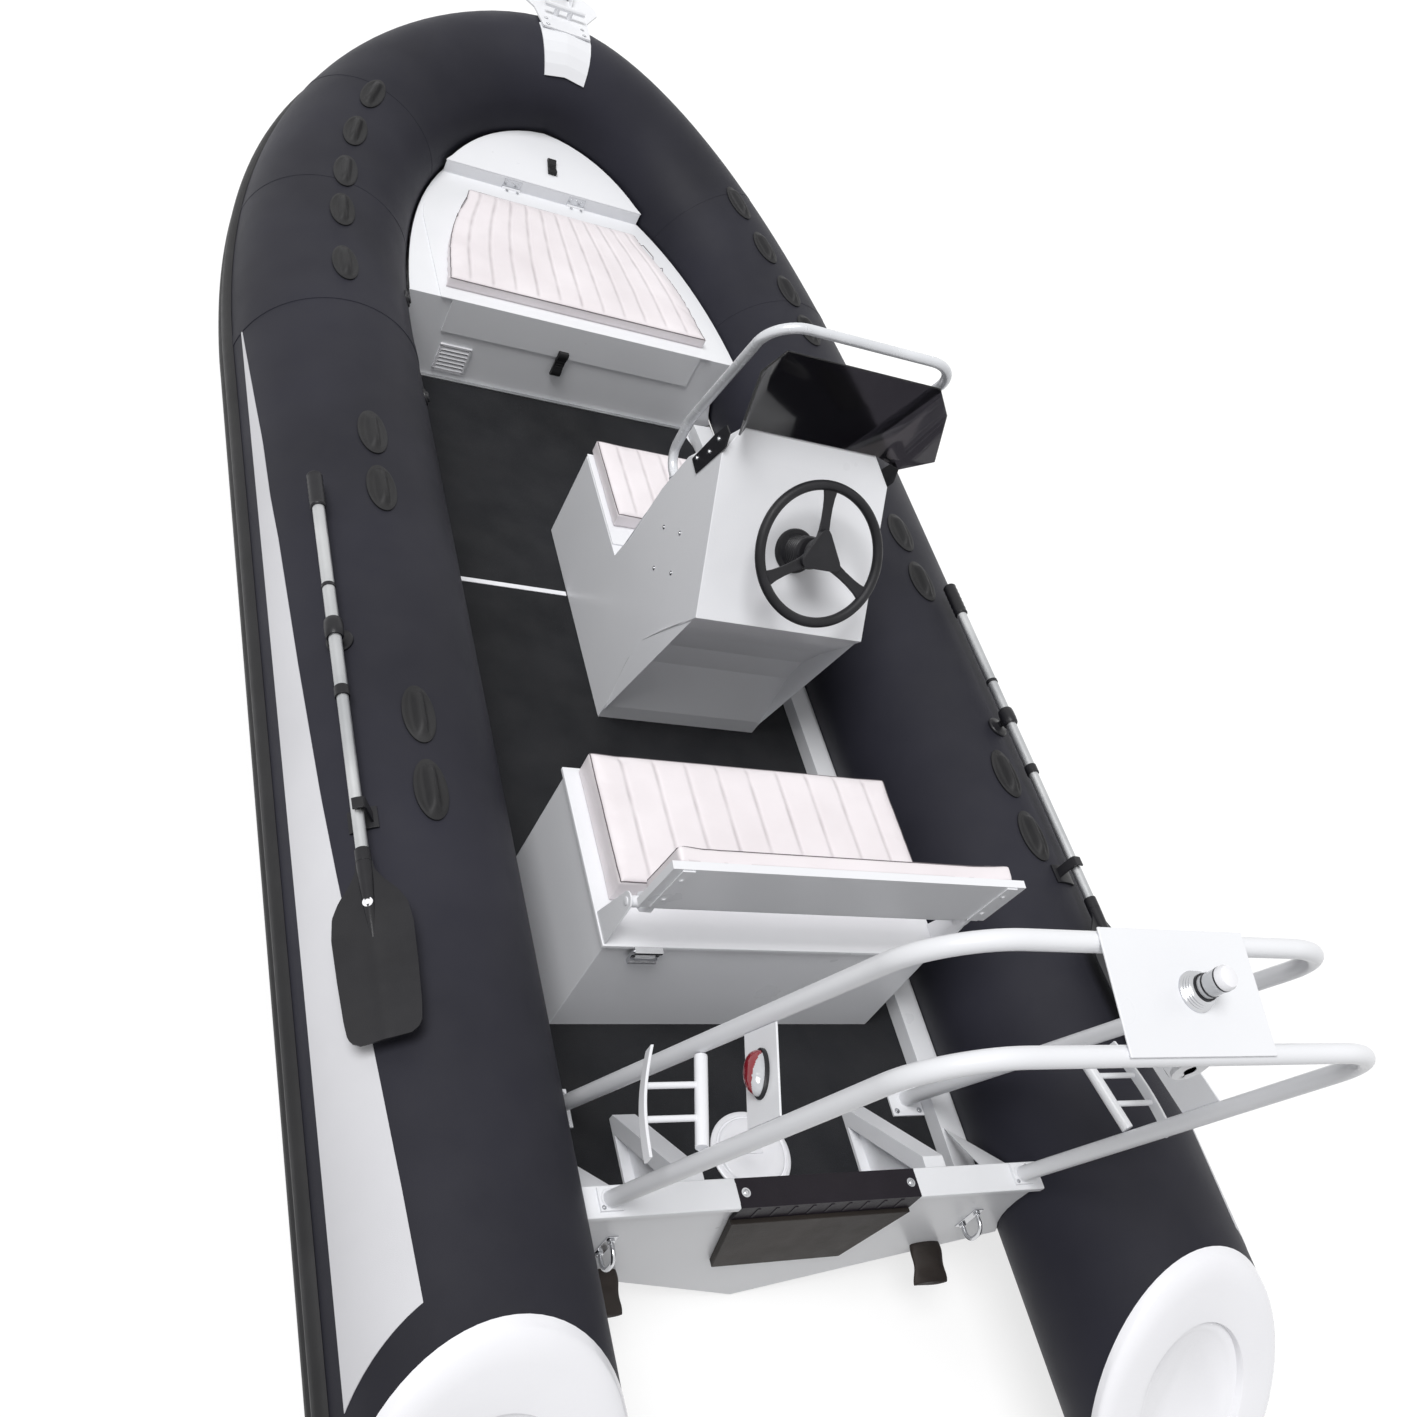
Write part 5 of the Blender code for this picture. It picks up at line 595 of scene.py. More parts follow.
bm = bmesh.new()
for side in (-1, 1):
    for station in handle_stations:
        def handle_place(u, v, level):
            u, v = 2 * u - 1, 2 * v - 1
            x, y = u * sqrt(1 - v * v / 2), v * sqrt(1 - u * u / 2)
            lift = handle_height(x, y) if level else -HANDLE_BASE
            turn = pi / 2 + y * HANDLE_HALF_WIDTH / TUBE_RADIUS
            return on_tube(station + x * HANDLE_HALF_LENGTH, turn, lift, side)

        slab(bm, 20, 16, handle_place)
finish("grab_handles", bm, black_rubber, "hull", "black_rubber", sharp=60)

# Air valves: black moulded valves, one for each chamber, screwed into a seat in the inboard skin.
# Each is closed by a low stepped cap.
VALVE_RADIUS = 0.024
VALVE_HEIGHT = 0.010
VALVE_ANGLE = radians(150)
valve_places = ((-1, 2.25), (1, 2.25), (-1, 2.70))
valve_shares = ((0, -0.3), (1, -0.3), (1, 0.25), (0.92, 0.4), (0.62, 0.45), (0.58, 0.9), (0.5, 1), (0, 1))
black_plastic = skin_material(
    "black_plastic", (22, 22, 26), (31, 31, 35), 0.30, 0.42, 8, 500, 0.0003, dust=0.03, shine=0.25)


def facing(point, axis):
    """A matrix that puts local Z along an axis, with its origin at a point."""
    return Matrix.Translation(Vector(point)) @ Vector(axis).to_track_quat("Z", "Y").to_matrix().to_4x4()


def turn_profile(bm, profile, place, steps=32):
    """Spin a profile of (radius, height) points round local Z and put it in place."""
    before = set(bm.verts)
    chain = [bm.verts.new((radius, 0, height)) for radius, height in profile]
    edges = [bm.edges.new(pair) for pair in zip(chain[:-1], chain[1:])]
    bmesh.ops.spin(bm, geom=chain + edges, cent=(0, 0, 0), axis=(0, 0, 1), angle=2 * pi, steps=steps,
                   use_merge=True)
    made = [vertex for vertex in bm.verts if vertex not in before]
    bmesh.ops.transform(bm, matrix=place, verts=made)
    bmesh.ops.remove_doubles(bm, verts=made, dist=0.00001)


bm = bmesh.new()
for side, station in valve_places:
    foot = on_tube(station, VALVE_ANGLE, 0, side)
    profile = [(VALVE_RADIUS * radius, VALVE_HEIGHT * height) for radius, height in valve_shares]
    turn_profile(bm, profile, facing(foot, foot - tube_frame(station, side)[0]))
finish("air_valves", bm, black_plastic, "hull", "black_plastic")

# Hull bottom: a V of white painted aluminium sheet, welded along the keel and rolled up to the bow.
# Its chines lie along the underside of the tubes.
SHEET = 0.004
HULL_DEPTH = 0.235
CHINE_ANGLE = radians(220)
CHINE_CLEARANCE = 0.006
KEEL_RISE_START = 2.000
HULL_BOW_TRIM = 0.120
KEEL_SWEEP = 2.4
HULL_RINGS = 60
white_paint = skin_material(
    "white_paint", (231, 232, 236), (240, 241, 244), 0.24, 0.36, 1.2, 260, 0.0002, dust=0.04)
chine_tip = on_tube(TUBE_END, CHINE_ANGLE, CHINE_CLEARANCE, 1)


def keel_height(y):
    """The keel's height: level under the deck, then rising in a sweep to the bow."""
    share = max(0, (y - KEEL_RISE_START) / (chine_tip.y - KEEL_RISE_START))
    return -HULL_DEPTH + (chine_tip.z + HULL_DEPTH) * share ** KEEL_SWEEP


bm = bmesh.new()
rings = []
for k in range(HULL_RINGS + 1):
    chine = on_tube((TUBE_END - HULL_BOW_TRIM) * k / HULL_RINGS, CHINE_ANGLE, CHINE_CLEARANCE, 1)
    keel = Vector((0, max(chine.y, SEAM_GAP), keel_height(chine.y)))
    chine.y = keel.y
    ring = [keel.lerp(Vector((side * chine.x, chine.y, chine.z)), share)
            for side, share in ((-1, 1), (-1, 0.66), (-1, 0.33), (1, 0), (1, 0.33), (1, 0.66), (1, 1))]
    rings.append(ring + [point + Vector((0, 0, SHEET)) for point in reversed(ring)])
sweep(bm, rings)
finish("hull_plating", bm, white_paint, "hull", "white_paint", "hull_bottom", sharp=25)

# Hull fittings left as the frame has them: keel strip, transom, knees, coamings, decks and motor board.
# They are painted or bare aluminium, a dark non-slip deck pad and a stained board, with filed edges.
bare_aluminium = skin_material(
    "bare_aluminium", (176, 178, 180), (206, 207, 208), 0.30, 0.48, 5, 400, 0.0003, metallic=0.9)
deck_pad = skin_material(
    "deck_pad", (25, 26, 29), (36, 37, 41), 0.62, 0.80, 2.2, 420, 0.0016, dust=0.03, shine=0.1)
brown_board = skin_material(
    "brown_board", (31, 26, 23), (42, 36, 32), 0.50, 0.66, 4, 300, 0.0006, dust=0.02, shine=0.25)


def dress(node, paint, width):
    """Give a node of the frame its finish, and edges rounded to a width."""
    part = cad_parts[node]
    part.material_slots[0].material = paint
    weld = part.modifiers.new("weld", "WELD")
    weld.merge_threshold = 0.00005
    round_edges(part, width)


for node, paint, width in (("keel_strip", bare_aluminium, 0.0015), ("transom", white_paint, 0.003),
                           ("transom_knee_port", white_paint, 0.0015),
                           ("transom_knee_stbd", white_paint, 0.0015),
                           ("side_coaming_port", white_paint, 0.001),
                           ("side_coaming_stbd", white_paint, 0.001),
                           ("deck_aft", deck_pad, 0.001), ("deck_forward", deck_pad, 0.001),
                           ("motor_board", brown_board, 0.002)):
    dress(node, paint, width)

# Transom caps: folded sheet over the transom's two shoulders, painted with the hull.
# Each stands proud of both faces of the board and runs from the motor notch to the tube.
TRANSOM_THICKNESS = 0.045
SHOULDER_TOP = 0.262
CAP_FOLD = 0.016
CAP_OVERHANG = 0.010
MOTOR_PAD_HALF = 0.219
HAIR = 0.0003


def block(bm, low, high, place=Matrix()):
    """A box between two corners, in a place of its own."""
    for vertex in bmesh.ops.create_cube(bm, size=1)["verts"]:
        vertex.co = place @ Vector([a + (b - a) * (share + 0.5) for share, a, b in zip(vertex.co, low, high)])


bm = bmesh.new()
cap_end = TUBE_SPACING - sqrt(TUBE_RADIUS ** 2 - (SHOULDER_TOP - TUBE_HEIGHT) ** 2) + SHEET
for side in (-1, 1):
    near, far = sorted((side * (MOTOR_PAD_HALF + HAIR), side * cap_end))
    block(bm, (near, -TRANSOM_THICKNESS - CAP_OVERHANG, SHOULDER_TOP - CAP_FOLD),
          (far, CAP_OVERHANG, SHOULDER_TOP + HAIR / 2))
finish("transom_caps", bm, white_paint, "hull", "white_paint", rounded=0.003)

# Motor pad: a moulded saddle that drops over the transom's notch and takes the motor's clamps.
# It is dark purple-black plastic with upright ribs aft, screwed down at each end.
PAD_WALL = 0.009
PAD_LOW = 0.207
PAD_RIBS = 9
PAD_RIB_HALF = 0.004
PAD_RIB_PROUD = 0.0015
PAD_RIB_SPREAD = 1.6
PAD_RIB_MARGIN = 0.008
PAD_SCREW_X = 0.92 * MOTOR_PAD_HALF
NOTCH_TOP = 0.246
bolt_shares = ((0, -0.1), (1.7, -0.1), (1.7, 0.22), (1.0, 0.26), (1.0, 0.55), (0.82, 0.85), (0.45, 1), (0, 1))


def plate(bm, outline, direction):
    """A flat outline pushed along a direction into a closed plate."""
    circle = bmesh.ops.create_circle(bm, segments=len(outline), radius=1, cap_ends=True)["verts"]
    for vertex, point in zip(circle, outline):
        vertex.co = point
    raised = bmesh.ops.extrude_face_region(bm, geom=circle[0].link_faces[:], use_keep_orig=True)["geom"]
    top = [item for item in raised if isinstance(item, bmesh.types.BMVert)]
    bmesh.ops.translate(bm, verts=top, vec=direction)


def bolt(bm, point, axis, radius=0.005, head=0.004):
    """A domed screw head on its washer."""
    turn_profile(bm, [(radius * r, head * h) for r, h in bolt_shares], facing(point, axis), steps=16)


pad_plastic = skin_material(
    "pad_plastic", (21, 16, 24), (29, 24, 33), 0.32, 0.46, 8, 600, 0.0004, dust=0.02, shine=0.15)
stainless = skin_material(
    "stainless", (186, 187, 190), (214, 215, 218), 0.14, 0.26, 9, 500, 0.0001, metallic=1.0)
pad_aft = -TRANSOM_THICKNESS - PAD_WALL
pad_outline = ((pad_aft, PAD_LOW), (pad_aft, SHOULDER_TOP), (PAD_WALL, SHOULDER_TOP), (PAD_WALL, PAD_LOW),
               (HAIR, PAD_LOW), (HAIR, NOTCH_TOP + HAIR), (-TRANSOM_THICKNESS - HAIR, NOTCH_TOP + HAIR),
               (-TRANSOM_THICKNESS - HAIR, PAD_LOW))
bm = bmesh.new()
plate(bm, [Vector((-MOTOR_PAD_HALF, y, z)) for y, z in pad_outline], (2 * MOTOR_PAD_HALF, 0, 0))
for k in range(PAD_RIBS):
    x = MOTOR_PAD_HALF * PAD_RIB_SPREAD * (k / (PAD_RIBS - 1) - 0.5)
    block(bm, (x - PAD_RIB_HALF, pad_aft - PAD_RIB_PROUD, PAD_LOW + PAD_RIB_MARGIN),
          (x + PAD_RIB_HALF, pad_aft + 0.001, SHOULDER_TOP - PAD_RIB_MARGIN))
finish("motor_saddle", bm, pad_plastic, "hull", "black_plastic", "motor_pad", rounded=0.002)
bm = bmesh.new()
for x in (-PAD_SCREW_X, PAD_SCREW_X):
    bolt(bm, (x, -TRANSOM_THICKNESS / 2, SHOULDER_TOP), (0, 0, 1), 0.006)
finish("motor_pad_screws", bm, stainless, "hull", "stainless")

# Towing eyes: U bolts of stainless rod through the transom, one towards each side.
# Each is drawn up by two nuts on a polished backing plate.
EYE_X = 0.450
EYE_HIGH = 0.135
EYE_LOW = 0.075
EYE_BEND = 0.024
EYE_REACH = 0.045
EYE_ROD = 0.005
EYE_PLATE = 0.0025
EYE_PLATE_HALF = 0.012
EYE_PLATE_MARGIN = 0.014
nut_profile = ((0, 0), (0.009, 0), (0.009, 0.005), (0.006, 0.0065), (0, 0.0065))


def bent_path(corners, bend, steps=8):
    """Replace each inner corner of a chain with an arc of the given bend radius."""
    corners = [Vector(corner) for corner in corners]
    path = [corners[0]]
    for before, corner, after in zip(corners[:-2], corners[1:-1], corners[2:]):
        into = (corner - before).normalized()
        out = (after - corner).normalized()
        half_turn = into.angle(out) / 2
        centre = corner + (out - into).normalized() * (bend / cos(half_turn))
        start = corner - into * (bend * tan(half_turn)) - centre
        end = corner + out * (bend * tan(half_turn)) - centre
        turn = half_turn * 2
        for k in range(steps + 1):
            reach = start * sin((1 - k / steps) * turn) + end * sin(k / steps * turn)
            path.append(centre + reach / sin(turn))
    return path + [corners[-1]]


def bar_rings(path, radius, sides=20, closed=False):
    """Rings square to a path, carried along it without a twist."""
    rings = []
    upright = None
    last = len(path) - 1
    for k, point in enumerate(path):
        ahead = path[(k + 1) % len(path)] if closed else path[min(k + 1, last)]
        behind = path[k - 1] if closed else path[max(k - 1, 0)]
        tangent = (ahead - behind).normalized()
        upright = tangent.orthogonal() if upright is None else upright
        upright = (upright - tangent * upright.dot(tangent)).normalized()
        across = tangent.cross(upright)
        turns = [2 * pi * turn / sides for turn in range(sides)]
        rings.append([point + (upright * cos(turn) + across * sin(turn)) * radius for turn in turns])
    return rings


bm = bmesh.new()
for side in (-1, 1):
    x, face = side * EYE_X, -TRANSOM_THICKNESS - HAIR
    corners = [(x, face, EYE_HIGH), (x, face - EYE_REACH, EYE_HIGH), (x, face - EYE_REACH, EYE_LOW),
               (x, face, EYE_LOW)]
    sweep(bm, bar_rings(bent_path(corners, EYE_BEND), EYE_ROD, 16))
    block(bm, (x - EYE_PLATE_HALF, face - EYE_PLATE, EYE_LOW - EYE_PLATE_MARGIN),
          (x + EYE_PLATE_HALF, face, EYE_HIGH + EYE_PLATE_MARGIN))
    for z in (EYE_LOW, EYE_HIGH):
        turn_profile(bm, nut_profile, facing((x, face - EYE_PLATE, z), (0, -1, 0)), steps=6)
finish("towing_eyes", bm, stainless, "hull", "stainless", "towing_eye_port", "towing_eye_stbd",
       rounded=0.0008)

# Stern trunks: two short sleeves of soft black rubber, clamped over the drains in the transom.
# They let water out, and hang shut by their own weight.
TRUNK_X = 0.410
TRUNK_HEIGHT = -0.030
TRUNK_LENGTH = 0.095
TRUNK_HALF = 0.040
TRUNK_THICKNESS = 0.030
TRUNK_DROOP = 0.022
TRUNK_WAVE = 0.002
TRUNK_STEPS = 24
TRUNK_SIDES = 32
trunk_rubber = skin_material(
    "trunk_rubber", (34, 29, 27), (50, 43, 40), 0.45, 0.62, 12, 500, 0.0008, dust=0.03, shine=0.2)
bm = bmesh.new()
for side in (-1, 1):
    rings = []
    for k in range(TRUNK_STEPS + 1):
        share = k / TRUNK_STEPS
        flare = 1 + 0.12 * share + 0.04 * sin(9 * share)
        flat = TRUNK_THICKNESS / 2 * (1 - 0.45 * share) * (1 + 0.10 * sin(14 * share))
        centre = Vector((side * TRUNK_X,
                         -TRANSOM_THICKNESS - HAIR - TRUNK_LENGTH * share * (1 - 0.12 * share),
                         TRUNK_HEIGHT - TRUNK_DROOP * share ** 1.6))
        ring = []
        for turn in [2 * pi * t / TRUNK_SIDES for t in range(TRUNK_SIDES)]:
            wave = TRUNK_WAVE * sin(3 * turn + 8 * share) * share
            ring.append(centre + Vector((TRUNK_HALF * flare * cos(turn), 0, flat * sin(turn) + wave)))
        rings.append(ring)
    sweep(bm, rings)
finish("stern_trunks", bm, trunk_rubber, "hull", "black_rubber", sharp=60)

# Drain hatch: a white moulded screw cover set in the deck ahead of the transom.
# It turns in its ring by a bar across a shallow well.
HATCH_PLACE = Vector((0, 0.180, 0))
HATCH_BAR_HALF = Vector((0.026, 0.005, 0))
HATCH_BAR_LOW = Vector((0, 0, 0.0083))
HATCH_BAR_TOP = Vector((0, 0, 0.0118))
hatch_profile = ((0, 0.0003), (0.100, 0.0003), (0.100, 0.0035), (0.097, 0.0062), (0.088, 0.0075),
                 (0.0865, 0.0045), (0.083, 0.0045), (0.081, 0.0095), (0.076, 0.0118), (0.030, 0.0105),
                 (0.026, 0.0085), (0, 0.0085))
bm = bmesh.new()
turn_profile(bm, hatch_profile, Matrix.Translation(HATCH_PLACE), steps=72)
block(bm, HATCH_PLACE - HATCH_BAR_HALF + HATCH_BAR_LOW, HATCH_PLACE + HATCH_BAR_HALF + HATCH_BAR_TOP)
finish("drain_cover", bm, white_moulding, "hull", "white_moulding", "drain_hatch", rounded=0.0008)

# Deck joint: a low white plastic strip that covers the butt of the two deck sheets.
# It is glued down in two lengths, one either side of the console.
DECK_JOINT = 1.885
DECK_HALF = 0.509
JOINT_STRIP_HALF = 0.008
JOINT_STRIP_HEIGHT = 0.003
JOINT_STRIP_GAP = 0.0015
CONSOLE_X = 0.130
CONSOLE_HALF = 0.239
CONSOLE_GAP = 0.002
bm = bmesh.new()
for low, high in ((-DECK_HALF, CONSOLE_X - CONSOLE_HALF - CONSOLE_GAP),
                  (CONSOLE_X + CONSOLE_HALF + CONSOLE_GAP, DECK_HALF)):
    block(bm, (low + JOINT_STRIP_GAP, DECK_JOINT - JOINT_STRIP_HALF, -HAIR),
          (high - JOINT_STRIP_GAP, DECK_JOINT + JOINT_STRIP_HALF, JOINT_STRIP_HEIGHT))
finish("deck_joint_strip", bm, white_moulding, "hull", "white_moulding", rounded=0.0012)

# Bow locker: a welded sheet box between the tubes, with a slatted vent, a toe strip at its foot and
# hinge leaves on its step. It is painted white like the hull.
LOCKER_FACE = 2.763
LOCKER_TOP = 0.287
LOCKER_STEP = 3.465
VENT_X = -0.350
VENT_HALF = 0.050
VENT_LOW = 0.028
VENT_HIGH = 0.128
VENT_DEPTH = 0.006
VENT_BORDER = 0.008
VENT_SLATS = 6
SLAT_LEAN = radians(-32)
SLAT_HALF = 0.0006
HINGE_SPACING = 0.115
HINGE_HALF = 0.030
HINGE_LEAF = 0.0014
HINGE_SEAT = 0.0002
SMALL_SCREW = (0.003, 0.0015)
dress("bow_locker", white_paint, 0.001)
bm = bmesh.new()
front, back = LOCKER_FACE - VENT_DEPTH, LOCKER_FACE
for low, high in ((VENT_LOW, VENT_LOW + VENT_BORDER), (VENT_HIGH - VENT_BORDER, VENT_HIGH)):
    block(bm, (VENT_X - VENT_HALF, front, low), (VENT_X + VENT_HALF, back, high))
for low in (VENT_X - VENT_HALF, VENT_X + VENT_HALF - VENT_BORDER):
    block(bm, (low, front, VENT_LOW + VENT_BORDER / 2),
          (low + VENT_BORDER, back, VENT_HIGH - VENT_BORDER / 2))
for k in range(VENT_SLATS):
    height = VENT_LOW + VENT_BORDER + (VENT_HIGH - VENT_LOW - 2 * VENT_BORDER) * (k + 0.5) / VENT_SLATS
    place = Matrix.Translation((VENT_X, LOCKER_FACE - VENT_DEPTH / 2, height))
    block(bm, (VENT_BORDER / 2 - VENT_HALF, -SLAT_HALF, -0.0065),
          (VENT_HALF - VENT_BORDER / 2, SLAT_HALF, 0.0035), place @ Matrix.Rotation(SLAT_LEAN, 4, "X"))
finish("locker_vent", bm, white_moulding, "hull", "white_moulding", rounded=0.0005)
# A thin black sheet on the locker face behind the slats: painted shade for the dark locker seen through the
# vent.
bm = bmesh.new()
block(bm, (VENT_BORDER / 2 + VENT_X - VENT_HALF, back - 0.0008, VENT_LOW + VENT_BORDER / 2),
      (VENT_X + VENT_HALF - VENT_BORDER / 2, back - HAIR, VENT_HIGH - VENT_BORDER / 2))
finish("vent_shade_sheet", bm, black_plastic, "hull", "black_plastic", rounded=0.0001)
bm = bmesh.new()
block(bm, (0.020 - DECK_HALF, LOCKER_FACE - 0.012, HAIR), (DECK_HALF - 0.020, LOCKER_FACE - HAIR, 0.006))
finish("locker_toe_strip", bm, bare_aluminium, "hull", "bare_aluminium", rounded=0.001)
bm = bmesh.new()
for side in (-1, 1):
    x = side * HINGE_SPACING
    block(bm, (x - HINGE_HALF, LOCKER_STEP - HINGE_LEAF, LOCKER_TOP + 0.006),
          (x + HINGE_HALF, LOCKER_STEP - HINGE_SEAT, LOCKER_TOP + 0.036))
    for across in (-0.6, 0, 0.6):
        place = (x + HINGE_HALF * across, LOCKER_STEP - HINGE_LEAF, LOCKER_TOP + 0.026)
        bolt(bm, place, (0, -1, 0), *SMALL_SCREW)
finish("step_hinge_leaves", bm, stainless, "hull", "stainless", rounded=0.0004)

# Bow locker lid: a painted sheet with a folded apron, screwed to hinges along the step.
# A black rubber toggle on its after edge hooks over the locker's face and holds it down.
LATCH_THICKNESS = 0.014
LATCH_RIB = 0.0016
LATCH_PIN = 0.003
LATCH_PIN_PROUD = 0.002
latch_shares = ((0, 0), (1, 0), (1, 0.55), (0.95, 0.88), (0.85, 1), (0.75, 0.84), (0.62, 0.60), (0.42, 0.56),
                (0.27, 0.80), (0.19, 1), (0.06, 1), (0, 0.8))
latch_rib_shares = (0.40, 0.50, 0.60)
dress("bow_locker_lid", white_paint, 0.001)


def latch(name, foot, run, rise, length, half, paint, slot, body, node):
    """A toggle from its pin at the foot: run is the strap's direction and rise points off the panel."""
    corner = Vector(foot) - Vector((half, 0, 0))
    bm = bmesh.new()
    plate(bm, [corner + run * (length * along) + rise * (LATCH_THICKNESS * height)
               for along, height in latch_shares], Vector((2 * half, 0, 0)))
    for along in latch_rib_shares:
        rib = corner + run * (length * along) + rise * (LATCH_THICKNESS * 0.58)
        ends = [rib + Vector((half * 0.3, 0, 0)), rib + Vector((half * 1.7, 0, 0))]
        sweep(bm, bar_rings(ends, LATCH_RIB, 10))
    pin = corner + run * (length * 0.12) + rise * (LATCH_THICKNESS * 0.5)
    ends = [pin - Vector((LATCH_PIN_PROUD, 0, 0)), pin + Vector((2 * half + LATCH_PIN_PROUD, 0, 0))]
    sweep(bm, bar_rings(ends, LATCH_PIN, 14))
    finish(name, bm, paint, body, slot, node, rounded=0.0014)


latch("bow_toggle", (-0.025, 2.7572, 0.198), Vector((0, 0, -1)), Vector((0, -1, 0)), 0.090, 0.016,
      black_rubber, "black_rubber", "bow_strap", "bow_latch")
bm = bmesh.new()
for side in (-1, 1):
    for across in (-0.6, 0.6):
        place = (side * HINGE_SPACING + HINGE_HALF * across, LOCKER_STEP - 0.022, LOCKER_TOP + 0.0085)
        bolt(bm, place, (0, 0, 1), *SMALL_SCREW)
finish("lid_hinge_screws", bm, stainless, "bow_lid", "stainless")

# Cushions: foam under pale sewn vinyl, with pucker lines that run fore and aft and a dark seam just
# inside the edge. The cover is drawn over its foam by a short cloth run, and sewn after it.
CUSHION_CUT = 0.004
CUSHION_SWELL = 0.006
CUSHION_PRESSURE = 4
CUSHION_FRAMES = 20
PUCKER_DEPTH = 0.0038
PUCKER_WIDTH = 0.0048
SEAM_INSET = 0.012
SEAM_WIDTH = 0.0035
SEAM_DEPTH = 0.0016
SEAM_ROD = 0.0015
SEAM_STEP = 0.012
SOFTNESS = 0.0012
# the cushion's foot, up to this height, takes painted shade where it meets its seat
SHADED_FOOT_HEIGHT = 0.006
cushion_vinyl = skin_material(
    "cushion_vinyl", (232, 225, 228), (243, 237, 240), 0.38, 0.52, 5, 850, 0.0005, dust=0.04)
vinyl_tree = cushion_vinyl.node_tree
vinyl_colour = vinyl_tree.nodes["Principled BSDF"].inputs["Base Color"]
# Painted shade: the vinyl darkens towards grey brown in its pucker lines, its seam groove and along its foot,
# by the crease attribute that cushion() writes.
crease = vinyl_tree.nodes.new("ShaderNodeAttribute")
crease.attribute_name = "crease"
crease_shade_colour = add_mix(vinyl_tree, crease.outputs["Fac"], vinyl_colour.links[0].from_socket, shade(128, 118, 122))
vinyl_tree.links.new(crease_shade_colour, vinyl_colour)
seam_cord = skin_material("seam_cord", (92, 86, 90), (112, 105, 108), 0.45, 0.6, 20, 900, 0.0003)


def apply_modifiers(made):
    """Make what the modifiers show the piece's own mesh."""
    shaped = bpy.data.meshes.new_from_object(made.evaluated_get(bpy.context.evaluated_depsgraph_get()))
    made.modifiers.clear()
    made.data = shaped


def draw_cover(made):
    """Let the cover swell as cloth under pressure, but no further than the foam does, nor below its base."""
    before = [vertex.co.copy() for vertex in made.data.vertices]
    cloth = made.modifiers.new("cover", "CLOTH")
    cloth.settings.use_pressure = True
    cloth.settings.uniform_pressure_force = CUSHION_PRESSURE
    cloth.settings.effector_weights.gravity = 0
    for moment in range(1, CUSHION_FRAMES + 1):
        bpy.context.scene.frame_set(moment)
    apply_modifiers(made)
    bpy.context.scene.frame_set(1)
    for vertex, start in zip(made.data.vertices, before):
        move = vertex.co - start
        if move.length > CUSHION_SWELL:
            vertex.co = start + move * (CUSHION_SWELL / move.length)
        vertex.co.z = max(vertex.co.z, 0)


def cushion(name, body, node, half_at, length, thickness, place, channels, voxel=0.006):
    """A sewn cushion: local X across, local Y along, local Z up from its base."""
    def cage_place(u, v, level):
        pull = 0.4 * CUSHION_CUT * (1 - level)
        half = half_at(v) - CUSHION_CUT - pull
        y = CUSHION_CUT + pull + (length - 2 * CUSHION_CUT - 2 * pull) * v
        return Vector(((2 * u - 1) * half, y, (thickness - CUSHION_CUT) * level))

    bm = bmesh.new()
    slab(bm, 24, 16, cage_place)
    cage = bpy.data.meshes.new(name)
    bm.to_mesh(cage)
    bm.free()
    made = bpy.data.objects.new(name, cage)
    bpy.context.scene.collection.objects.link(made)
    voxels = made.modifiers.new("even", "REMESH")
    voxels.mode = "VOXEL"
    voxels.voxel_size = voxel
    apply_modifiers(made)
    draw_cover(made)
    finer = made.modifiers.new("finer", "SUBSURF")
    finer.levels = finer.render_levels = 1
    apply_modifiers(made)

    bm = bmesh.new()
    bm.from_mesh(made.data)
    bpy.data.objects.remove(made)
    bm.normal_update()
    creases = bm.verts.layers.float.new("crease")
    for vertex in bm.verts:
        x, y, z = vertex.co
        v = min(max(y / length, 0), 1)
        edge = min(half_at(v) - abs(x), y, length - y)
        upward = max(0, vertex.normal.z) * min(1, max(0, z / thickness * 2 - 1))
        lane = (x / half_at(v) + 1) / 2 * channels
        nearest = max(1, min(channels - 1, round(lane)))
        away = abs(lane - nearest) * 2 * half_at(v) / channels
        uneven = 0.75 + 0.5 * noise.noise(Vector((nearest * 3.1, y * 22, 0)))
        pucker = exp(-(away / PUCKER_WIDTH) ** 2) * uneven * min(1, max(0, (edge - SEAM_INSET) / 0.02))
        soft = noise.noise(Vector((x * 14, y * 14, channels))) * SOFTNESS
        seam = exp(-((edge - SEAM_INSET) / SEAM_WIDTH) ** 2)
        vertex.co.z += upward * (soft - PUCKER_DEPTH * pucker - SEAM_DEPTH * seam)
        # how much painted shade the vinyl takes: in the pucker lines and seam groove on top, and along the foot
        vertex[creases] = min(1, upward * (0.38 * pucker + 0.35 * seam) + 0.3 * (z < SHADED_FOOT_HEIGHT))
    rim_shares = [(1, k / 60) for k in range(61)] + [(-1, 1 - k / 60) for k in range(61)]
    around = [Vector((share * (half_at(v) - SEAM_INSET),
                      min(max(v * length, SEAM_INSET), length - SEAM_INSET), 0)) for share, v in rim_shares]
    loop = []
    for near, far in zip(around, around[1:] + around[:1]):
        steps = max(1, int((far - near).length / SEAM_STEP))
        loop += [near.lerp(far, k / steps) for k in range(steps) if (far - near).length > 0.0001]
    surface = BVHTree.FromBMesh(bm)
    welt = []
    for point in loop:
        struck = surface.ray_cast(point + Vector((0, 0, thickness * 2)), Vector((0, 0, -1)))[0]
        welt.append(place @ (struck if struck else point + Vector((0, 0, thickness))))
    bmesh.ops.transform(bm, matrix=place, verts=bm.verts)
    cover = finish(name, bm, cushion_vinyl, body, "cushion_vinyl", node, sharp=80)
    bm = bmesh.new()
    sweep(bm, bar_rings(welt, SEAM_ROD, 8, closed=True), closed=True)
    finish(name + "_seam", bm, seam_cord, body, "cushion_vinyl", sharp=80)


